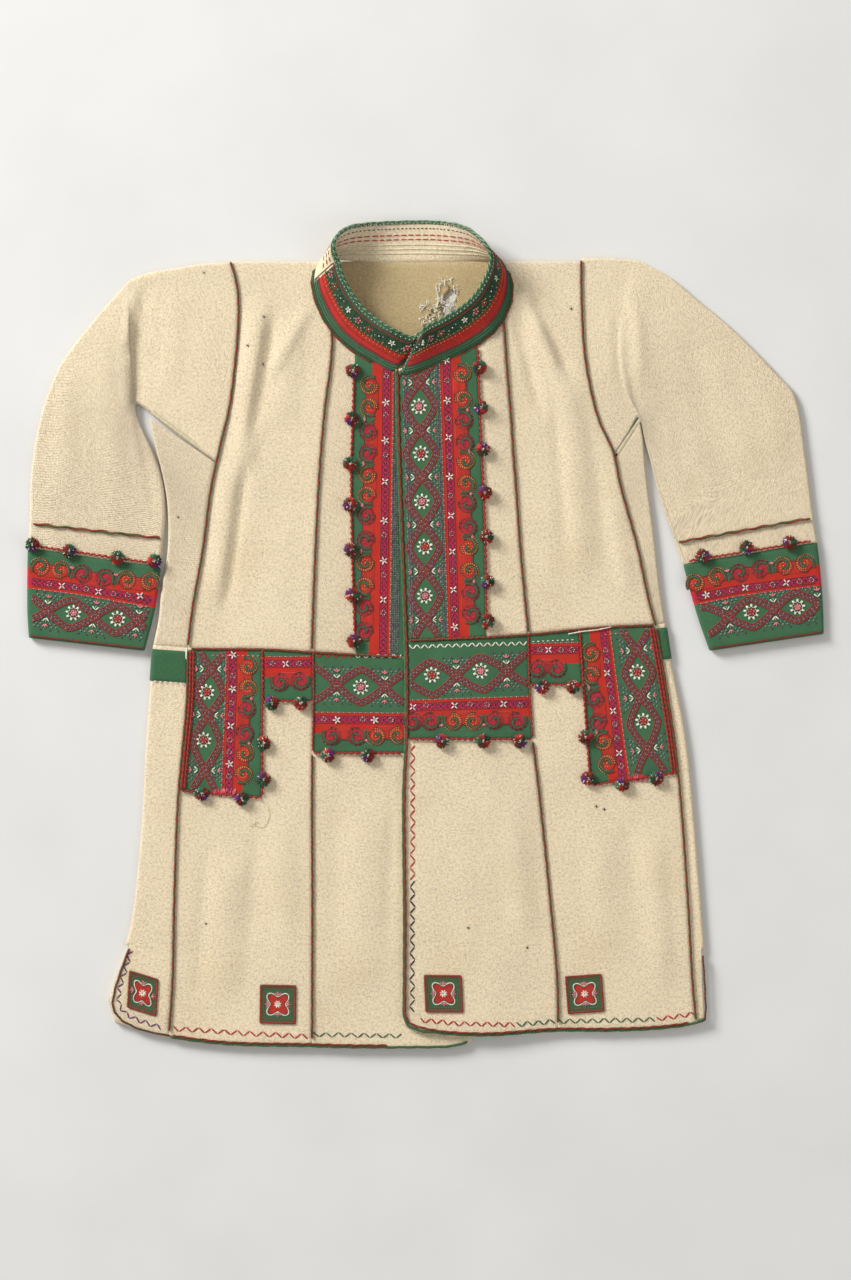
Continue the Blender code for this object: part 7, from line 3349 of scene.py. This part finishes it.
@dataclass
class CollarWork:
    """The needlework on the stand collar, outside and inside."""

    outer: Array
    inner: Array
    yarn: bpy.types.Material

    def row(self, length: float, height: float, step: float) -> Array:
        """Gives places along the collar at one height."""
        along = np.arange(3.0, length - 3.0, step)
        return plan_of(along, np.full(len(along), height))

    def build(self) -> None:
        """Sews both faces."""
        length = float(np.linalg.norm(np.diff(self.outer, axis=1), axis=-1).sum(1).mean())
        work = Motifs(GridGround(self.outer, length, COLLAR_HEIGHT, -1.0), 31)
        self.outside(work, length)
        work.build("collar_stitching", self.yarn)
        work = Motifs(GridGround(self.inner, length, COLLAR_HEIGHT, 1.0), 32)
        self.inside(work, length)
        work.build("collar_lining_stitching", self.yarn)
        for share, name in ((0.3, "outer"), (0.75, "inner")):
            path = self.outer[-1] * (1 - share) + self.inner[-1] * share + [0.0, 0.0, 0.2]
            made = Rope(1.15, 7.0, (Thread.GREEN, Thread.GREEN, Thread.PALE_GREEN)).mesh(path)
            made.build("collar_rim_" + name, [self.yarn])

    def outside(self, work: Motifs, length: float) -> None:
        """Sews the outer face from its top edge down to its foot.

        Args:
            work: What gathers the stitches.
            length: The collar's length.
        """
        spots = self.row(length, 42.2, 2.3)
        lean = np.array([1.2, -6.2])
        work.sew(spots, spots + lean, Thread.GREEN, 2.2, 0.2)
        work.knots(spots[::2] + lean * 0.5 + [1.1, 0.0], Thread.CREAM.light * 0.8, 1.35, 0.9)
        ends = np.arange(2.0, 42.0, 2.1)
        for near, sign in ((0.8, 1), (length - 0.8, -1)):
            spots = plan_of(np.full(len(ends), near), ends)
            work.sew(spots, spots + [5.4 * sign, -0.8], Thread.GREEN, 2.2, 0.4)
            work.knots(spots[::2] + [2.7 * sign, 0.7], Thread.CREAM.light * 0.8, 1.35, 1.1)
        for first, last in ((6.0, COLLAR_PLAIN[0]), (COLLAR_PLAIN[1], length - 6.0)):
            self.band(work, first, last)
        for height in (31.0, 25.0, 18.0):
            line = plan_of(np.arange(COLLAR_PLAIN[0] + 3, COLLAR_PLAIN[1] - 3, 2.0), height)
            work.dashes(line, Thread.CORD_RED, 6.0, 1.6, 1.4)
        end = np.arange(2.0, 36.0, 2.0)
        for near in COLLAR_PLAIN:
            work.line(plan_of(np.full(len(end), near), end), Thread.CORD_RED, 1.4)

    def band(self, work: Motifs, first: float, last: float) -> None:
        """Sews the rows and the florets of one embroidered end.

        Args:
            work: What gathers the stitches.
            first: Where the end starts along the collar.
            last: Where it stops.
        """
        edges = ((34.8, Thread.CORD_RED, 1.4), (20.6, Thread.BROWN, 1.0), (7.6, Thread.BROWN, 1.0))
        for height, thread, width in edges:
            work.line(plan_of((first, last), height), thread, width)
        for height, threads in (
            (21.8, (OCHRE, Thread.GREEN)),
            (18.4, (OCHRE, RED)),
            (15.0, (Thread.NAVY, RED, Thread.PURPLE)),
            (9.4, (Thread.PURPLE, Thread.NAVY)),
        ):
            work.dots(plan_of((first, last), height), threads, 2.3, 1.35)
        work.line(plan_of((first, last), 5.0), Thread.GREEN, 2.2, 2.4)
        work.line(plan_of((first, last), 2.0), Thread.GREEN, 2.0, 2.4)
        spots = plan_of(np.arange(first + 5, last - 3, 14.7), 28.0)
        cycle = (Thread.RED, Thread.PINK, Thread.CREAM, Thread.NAVY)
        for number, spot in enumerate(spots):
            self.floret(work, spot, cycle[number % 4])
        stems = spots[:-1] + np.array([7.3, 0.0])
        for sign in (1, -1):
            rise = np.array([0.0, 4.4 * sign])
            work.knots(stems + rise, Thread.NAVY if sign > 0 else Thread.PINK, 1.7)
            work.knots(stems + rise * 0.4, Thread.DEEP_GREEN, 1.5)

    def floret(self, work: Motifs, spot: Array, thread: Thread) -> None:
        """Sews a small flower of five petals with two leaves.

        Args:
            work: What gathers the stitches.
            spot: The place.
            thread: Its dye.
        """
        if thread is Thread.CREAM:
            work.star(spot, 3.6, 5)
            return
        petals = ring_points(spot, 2.6, 6)[:-1]
        work.knots(petals, thread, 2.3)
        work.knots(spot[None], Thread.CREAM if thread is not Thread.PINK else RED, 1.6, 0.5)
        leaves = spot + np.array([[-4.6, 1.4], [4.6, -1.4]])
        work.knots(leaves, Thread.PALE_GREEN, 1.7)

    def inside(self, work: Motifs, length: float) -> None:
        """Sews the lining: dark and red running stitches and the overcasting.

        Args:
            work: What gathers the stitches.
            length: The collar's length.
        """
        spots = self.row(length, 41.4, 2.3)
        work.sew(spots, spots + np.array([0.8, -2.6]), Thread.GREEN, 1.9, 0.2)
        work.knots(spots[::2] + [0.4, -1.2], Thread.CREAM, 1.2, 0.7)
        work.dashes(self.row(length, 34.5, 2.0), Thread.NAVY, 2.6, 1.7, 1.2)
        for height in (27.6, 23.0):
            work.dashes(self.row(length, height, 2.0), RED, 6.6, 0.9, 1.3)
        for height in (17.6, 13.0, 8.4):
            work.line(self.row(length, height, 2.0), Thread.WOOL, 2.4, 3.0, 0.0)


@dataclass
class SquareWork:
    """The flower of one corner square."""

    square: SquareRow
    height: Field
    seed: int

    def lean(self, spots: Array) -> Array:
        """Gives places measured from the middle as plan places."""
        x = self.square.x + spots[:, 0] + self.square.lean * spots[:, 1]
        return plan_of(x, self.square.y + spots[:, 1] + self.square.slope * spots[:, 0])

    def outline(self, share: float, grow: float = 0.0) -> Array:
        """Gives the flower's outline, r = share · (6.2 + 7 · sin² 2a) + grow.

        Args:
            share: Share of the whole size.
            grow: Added to the radius.

        Returns:
            Counts by 2.
        """
        angle = np.linspace(0, 2 * np.pi, 72)
        radius = share * (6.2 + 7.0 * np.sin(2 * angle) ** 2) + grow
        size = min(1.0, self.square.half_width / 18.6)
        return plan_of(radius * np.cos(angle) * size, radius * np.sin(angle))

    def build(self, yarn: bpy.types.Material) -> None:
        """Sews the square's two borders and its flower.

        Args:
            yarn: The stitches' finish.
        """
        work = Motifs(PlanGround(over(self.height, ON_CLOTH)), self.seed)
        half = np.array([self.square.half_width, self.square.half_height])
        box = np.array([[-1, -1], [1, -1], [1, 1], [-1, 1], [-1, -1]], float)
        work.line(self.lean(spaced(box * (half - 0.6), 2.0)), Thread.CORD_RED, 2.4, 2.2, 0.2)
        work.line(self.lean(spaced(box * (half - 2.3), 2.0)), Thread.OLIVE, 1.3, 2.2, 0.1)
        work.dashes(self.lean(spaced(box * (half - 4.2), 2.0)), Thread.CORD_RED, 2.0, 1.2, 1.4, 0.2)
        for share in (0.12, 0.28, 0.44, 0.60, 0.76, 0.90):
            work.line(self.lean(self.outline(share)), Thread.RED, 2.2, 2.0, 0.1)
        work.line(self.lean(self.outline(1.0)), Thread.BROWN, 1.1, 2.0, 0.3)
        work.line(self.lean(self.outline(1.0, 1.7)), Thread.CREAM, 1.15, 1.9, 0.3)
        for angle in np.arange(4) * np.pi / 2:
            way = np.array([math.cos(angle), math.sin(angle)])
            work.tulip(self.lean((way * 11.0)[None])[0], way, Thread.PINK, 3.4)
        middle = self.lean(np.zeros((1, 2)))[0]
        work.star(middle, 4.2, 8, Thread.CREAM)
        made = work.build(self.square.name + "_stitching", yarn)


@dataclass
class Wear:
    """Zigzags, mends, loose threads and moth holes of an old coat."""

    yarn: bpy.types.Material
    hole_places: tuple[tuple[float, float], ...] = (
        (264, 317),
        (248, 346),
        (263, 364),
        (204, 273),
        (178, 517),
        (571, 309),
        (627, 308),
        (206, 923),
        (468, 927),
        (527, 947),
        (596, 806),
        (604, 809),
    )

    def zigzags(self, work: Needlework, right: Needlework) -> None:
        """Sews the zigzags inside the hem, up the front and at the waist.

        Args:
            work: What gathers the stitches.
            right: What gathers those on the right front.
        """
        hem_marks = marks((173, 1028), (240, 1032.6), (308, 1036))
        work.zigzag(hem_marks, RED, 13.6, 5.6, 1.6)
        work.zigzag(marks((313, 1034), (402, 1035.4)), Thread.GREEN, 13.6, 5.2, 1.5)
        gore = marks((131, 950), (124.5, 972), (119.4, 990), (119.0, 1004), (126, 1013.6), (140, 1020.6), (162, 1027))
        work.zigzag(gore, Thread.PURPLE, 12.0, 5.4, 1.5)
        right.zigzag(marks((412.6, 745), (412.6, 880)), RED, 13.6, 5.6, 1.6)
        right.zigzag(marks((412.6, 880), (412.2, 1012)), Thread.NAVY, 13.6, 5.6, 1.6)
        right.zigzag(marks((420, 1019.4), (460, 1023), (515, 1024)), RED, 12.0, 5.4, 1.6)
        right.zigzag(marks((516, 1024), (555, 1021)), Thread.GREEN, 12.0, 5.4, 1.6)
        work.zigzag(marks((558, 1021), (655, 1019)), Thread.GREEN, 12.0, 5.4, 1.6)
        work.zigzag(marks((656, 1019), (696, 1013)), RED, 12.0, 5.4, 1.6)

    def waist(self, work: Needlework, right: Needlework) -> None:
        """Sews the waist's cream zigzag and pink running stitches.

        Args:
            work: What gathers the stitches.
            right: What gathers those on the right front.
        """
        for part in (work, right):
            part.ground.lift = ON_CLOTH
        right.zigzag(marks((409, 647), (470, 645), (527, 643.5)), Thread.CREAM, 8.4, 4.6, 1.3)
        work.zigzag(marks((315, 654.6), (352, 656)), RED, 8.4, 5.2, 1.5)
        work.zigzag(marks((354, 656), (402, 656.4)), Thread.CREAM, 8.4, 4.4, 1.2)
        work.dashes(marks((212, 655.4), (262, 656.0)), Thread.PINK, 3.0, 2.4, 1.1)
        work.dashes(marks((532, 641.6), (576, 639.6)), Thread.CREAM, 2.6, 2.4, 1.1)
        work.dashes(marks((604, 634.6), (630, 632.4)), Thread.PINK, 3.0, 2.2, 1.1)
        work.dashes(marks((154, 681), (185.5, 683.6)), Thread.CREAM, 3.4, 2.4, 1.2)
        work.sew(marks((187, 647)), marks((187, 661)), Thread.CREAM, 3.2, 0.2)
        work.line(marks((568, 634), (582, 631.4), (597, 629.8), (611, 627)), Thread.CREAM, 1.3, 3.0, 1.6)
        for part in (work, right):
            part.ground.lift = 0.0

    def frays(self, work: Needlework) -> None:
        """Leaves the pink frays under the two tall skirt pieces.

        Args:
            work: What gathers the stitches.
        """
        random = np.random.default_rng(8)
        for low, high, down in ((213, 236, 790.0), (628, 645, 776.0)):
            across = random.uniform(low, high, 46)
            start = marks(*[(a, down + random.uniform(-2.5, 1.0)) for a in across])
            fall = plan_of(random.normal(0, 1.6, 46), -random.uniform(3.0, 7.5, 46))
            tones = np.array([Thread.ROSE.light, Thread.PINK.light, Thread.RED.light])
            work.sew(start, start + fall, tones[random.integers(0, 3, 46)], 1.1, 1.6)

    def holes(self, work: Needlework, right: Needlework) -> None:
        """Marks the moth holes, each with dark knots of painted shade for its depth, and the darns.

        Args:
            work: What gathers the stitches.
            right: What gathers those on the right front.
        """
        for across, down in self.hole_places:
            part = right if 408 < across < 530 and down > 640 else work
            spot = Mark(across, down).plan
            # The two dark knots at each hole are painted shade for its depth, set in a ring of wool-coloured knots.
            part.knots(spot + np.array([[0, 0], [0.7, -0.9]]), Thread.BROWN.light * 0.35, 1.9, 0.0)
            part.knots(ring_points(spot, 1.9, 6)[:-1], Thread.WOOL.light * 0.8, 1.3, 0.0)
        darn = marks((254, 825), (260, 828), (266, 826), (270, 815), (268, 806))
        work.line(darn, Thread.WOOL, 1.2, 2.6, 0.2)
        work.zigzag(marks((250, 826), (258, 822)), Thread.WOOL, 4.0, 4.0, 1.0)

    def underarms(self, work: Needlework) -> None:
        """Closes the two seams under the arms with stitches in the wool's colour.

        Args:
            work: What gathers the stitches.
        """
        for seam in (marks((153, 413), (213, 457)), marks((640.5, 419), (617.5, 453.5))):
            path = spaced(seam, 1.6)
            along = seam[1] - seam[0]
            across = np.array([along[1], -along[0]]) / np.linalg.norm(along) * 2.3
            work.sew(path - across, path + across, Thread.WOOL.light * 0.86, 2.1, 0.0, 0.3)

    def rip(self) -> None:
        """Leaves the frayed threads round the rip in the back, and two navy knots of painted shade beside it."""
        work = Needlework(PlanGround(Lay.floor, 0.1), 55)
        random = np.random.default_rng(56)
        for across, down, wide, long, count in ((447, 292, 9, 14, 70), (428, 314, 9, 7, 46), (444, 308, 8, 8, 40)):
            angle = random.uniform(0, 2 * np.pi, count)
            ring = plan_of(np.cos(angle) * wide, np.sin(angle) * long) * random.uniform(0.85, 1.25, (count, 1))
            start = Mark(across, down).plan + ring
            bend = plan_of(random.normal(0, 2.6, count), random.normal(0, 3.4, count))
            dye = np.clip(Thread.CREAM.light * random.uniform(0.95, 1.25, (count, 1)), 0, 1)
            work.sew(start, start + bend, dye, 0.9, 0.9, 0.6)
        # Two navy knots by the small holes are painted shade for their depth.
        for across, down in ((430, 315), (452, 312)):
            work.knots(Mark(across, down).plan[None], Thread.NAVY, 2.6, 0.0)
        work.build("rip_threads_and_painted_shade", self.yarn)

    def build(self) -> None:
        """Sews everything that this class names."""
        work = Needlework(PlanGround(Lay.left), 51)
        right = Needlework(PlanGround(Lay.right), 52)
        self.zigzags(work, right)
        self.holes(work, right)
        self.waist(work, right)
        self.frays(work)
        self.underarms(work)
        work.build("hand_sewing_left_with_painted_shade", self.yarn)
        right.build("hand_sewing_right_with_painted_shade", self.yarn)
        self.rip()


# ---------------------------------------------------------------- studio


@dataclass
class Studio:
    """Soft light and a long lens straight above, at the photograph's frame."""

    distance: float = 6.0
    sensor: float = 36.0
    key_power: float = 420.0
    fill_power: float = 28.0
    ambient: float = 0.47

    def lamp(self, name: str, place: tuple[float, float, float], size: float, power: float) -> None:
        """Hangs a square soft lamp that faces the coat.

        Args:
            name: Its name.
            place: Its place in metres.
            size: Its side in metres.
            power: Its power in watts.
        """
        data = bpy.data.lights.new(name, "AREA")
        data.size = size
        data.energy = power
        made = bpy.data.objects.new(name, data)
        made.location = place
        length = math.sqrt(sum(part * part for part in place))
        tilt = math.acos(place[2] / length)
        made.rotation_euler = (tilt, 0.0, math.atan2(place[0], -place[1]))
        bpy.context.scene.collection.objects.link(made)

    def build(self) -> None:
        """Makes the world, the lamps and the camera."""
        world = bpy.data.worlds.new("soft_room")
        world.use_nodes = True
        world.node_tree.nodes["Background"].inputs["Color"].default_value = (1.0, 0.99, 0.97, 1.0)
        world.node_tree.nodes["Background"].inputs["Strength"].default_value = self.ambient
        bpy.context.scene.world = world
        self.lamp("key", (-3.7, 3.2, 2.7), 1.9, self.key_power)
        self.lamp("fill", (2.6, -1.2, 3.0), 2.6, self.fill_power)
        data = bpy.data.cameras.new("camera")
        data.sensor_fit = "VERTICAL"
        data.sensor_height = self.sensor
        data.sensor_width = self.sensor
        seen = PICTURE_HEIGHT * PICTURE_PITCH * MM
        data.lens = self.sensor * self.distance / seen
        data.clip_end = 50.0
        camera = bpy.data.objects.new("camera", data)
        down = Mark(PICTURE_MIDDLE[0], FRAME_DOWN).plan * MM
        camera.location = (down[0], down[1], self.distance)
        bpy.context.scene.collection.objects.link(camera)
        bpy.context.scene.camera = camera
        bpy.context.scene.view_settings.view_transform = "Standard"


class Needleroom:
    """Sews every band with the edges of its own strip."""

    def __init__(self, dyes: Dyehouse) -> None:
        """Takes the yarn."""
        self.yarn = dyes.yarn

    def bands(self) -> None:
        """Sews the chest bands, the skirt pieces and the cuffs."""
        on_left, on_right, on_cuff = over(Lay.left, ON_CLOTH), over(Lay.right, ON_CLOTH), flat(CUFF_FACE)
        left_waist, right_waist = waist_left, waist_right
        sets = (
            (CHEST_LEFT_BAND, on_left, clear_of(chest_left, upper_edge, moved(neck_left, -NECK_INSET), left_waist)),
            (
                CHEST_RIGHT_BAND,
                on_right,
                clear_of(moved(upper_edge, BAND_INSET), chest_right, moved(neck_right, -NECK_INSET), right_waist),
            ),
            (
                SKIRT_CENTRE_LEFT_BAND,
                on_left,
                clear_of(skirt_princess_left, upper_edge, moved(left_waist, -2), level(LOW_CENTRE_LEFT)),
            ),
            (
                SKIRT_TALL_LEFT_BAND,
                on_left,
                clear_of(moved(skirt_side_left, 3), level(TALL_LEFT_EDGE), moved(left_waist, -2), low_tall_left),
            ),
            (
                SKIRT_SMALL_LEFT_BAND,
                on_left,
                clear_of(
                    level(TALL_LEFT_EDGE + 3), skirt_princess_left, moved(left_waist, -2), level(LOW_SMALL_LEFT)
                ),
            ),
            (
                SKIRT_CENTRE_RIGHT_BAND,
                on_right,
                clear_of(
                    moved(upper_edge, BAND_INSET),
                    skirt_princess_right,
                    moved(right_waist, -2),
                    level(LOW_CENTRE_RIGHT),
                ),
            ),
            (
                SKIRT_SMALL_RIGHT_BAND,
                on_left,
                clear_of(
                    skirt_princess_right, moved(tall_right_edge, -2.6), moved(right_waist, -2), level(LOW_SMALL_RIGHT)
                ),
            ),
            (
                SKIRT_TALL_RIGHT_BAND,
                on_left,
                clear_of(tall_right_edge, moved(skirt_side_right, -3), moved(right_waist, -2), low_tall_right),
            ),
            (CUFF_LEFT_BAND, on_cuff, cuff_edges(CUFF_LEFT)),
            (CUFF_RIGHT_BAND, on_cuff, cuff_edges(CUFF_RIGHT)),
        )
        for number, (band, height, edge) in enumerate(sets):
            Embroidery(band, height, edge, 40 + number).build(self.yarn)


def cuff_edges(rows: Sequence[SleeveRow]) -> Callable[[Array], Array]:
    """Gives the test of which places lie on a cuff, clear of its folds.

    Args:
        rows: The cuff's sections.

    Returns:
        The test.
    """
    first, last = rows[0], rows[-1]
    sign = 1.0 if first.outer_x > first.inner_x else -1.0

    def between(a: tuple[float, float], b: tuple[float, float], key: Array) -> Array:
        """Gives the line through two points (value, key) at a key."""
        return a[0] + (key - a[1]) * (b[0] - a[0]) / (b[1] - a[1])

    def inside(spots: Array) -> Array:
        """Gives which places pass.

        Args:
            spots: Plan places, counts by 2.

        Returns:
            True where a place passes.
        """
        x, y = spots[:, 0], spots[:, 1]
        near = between((first.inner_x, first.inner_y), (last.inner_x, last.inner_y), y)
        far = between((first.outer_x, first.outer_y), (last.outer_x, last.outer_y), y)
        top = between((first.inner_y, first.inner_x), (first.outer_y, first.outer_x), x)
        low = between((last.inner_y, last.inner_x), (last.outer_y, last.outer_x), x)
        across = (sign * (x - near) > 3.6) & (sign * (far - x) > 3.6)
        return across & (y < top + 6.0) & (y > low + 2.0)

    return inside


def main() -> None:
    """Builds the floor, the coat and the studio in order."""
    logging.basicConfig(level=logging.INFO, format="%(message)s")
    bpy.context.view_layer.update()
    dyes = Dyehouse()
    Floor().lay()
    Body(dyes).build()
    sleeves = {
        "sleeve_left": Sleeve(dyes, "sleeve_left", SLEEVE_LEFT, moved(armhole_left, -SEAM), WALL),
        "sleeve_right": Sleeve(dyes, "sleeve_right", SLEEVE_RIGHT, moved(armhole_right, SEAM), WALL),
    }
    sections = {n: s.build([dyes.wool, dyes.inside], "cream_wool") for n, s in sleeves.items()}
    cuffs = ((CUFF_LEFT_BAND, CUFF_LEFT, armhole_left), (CUFF_RIGHT_BAND, CUFF_RIGHT, armhole_right))
    for band, rows, seam in cuffs:
        cuff = Sleeve(dyes, band.node, rows, seam, CUFF_WALL, False)
        cut = row_coordinates(cuff.grids()[0][..., :2], marks(*band.row)) * np.array([band.lobes_side, 1.0])
        cuff.build([dyes.band, dyes.inside], "red_cloth", cut)
    faces = Collar(dyes).build()
    Bands(dyes).build()
    Cords(dyes).build(sections)
    Needleroom(dyes).bands()
    Trimmings(dyes).build(sections)
    CollarWork(*faces, dyes.yarn).build()
    for number, (square, height) in enumerate(zip(SQUARES, (Lay.left, Lay.left, Lay.right, Lay.left))):
        SquareWork(square, height, 60 + number).build(dyes.yarn)
    Wear(dyes.yarn).build()
    Studio().build()


if __name__ == "__main__":
    main()
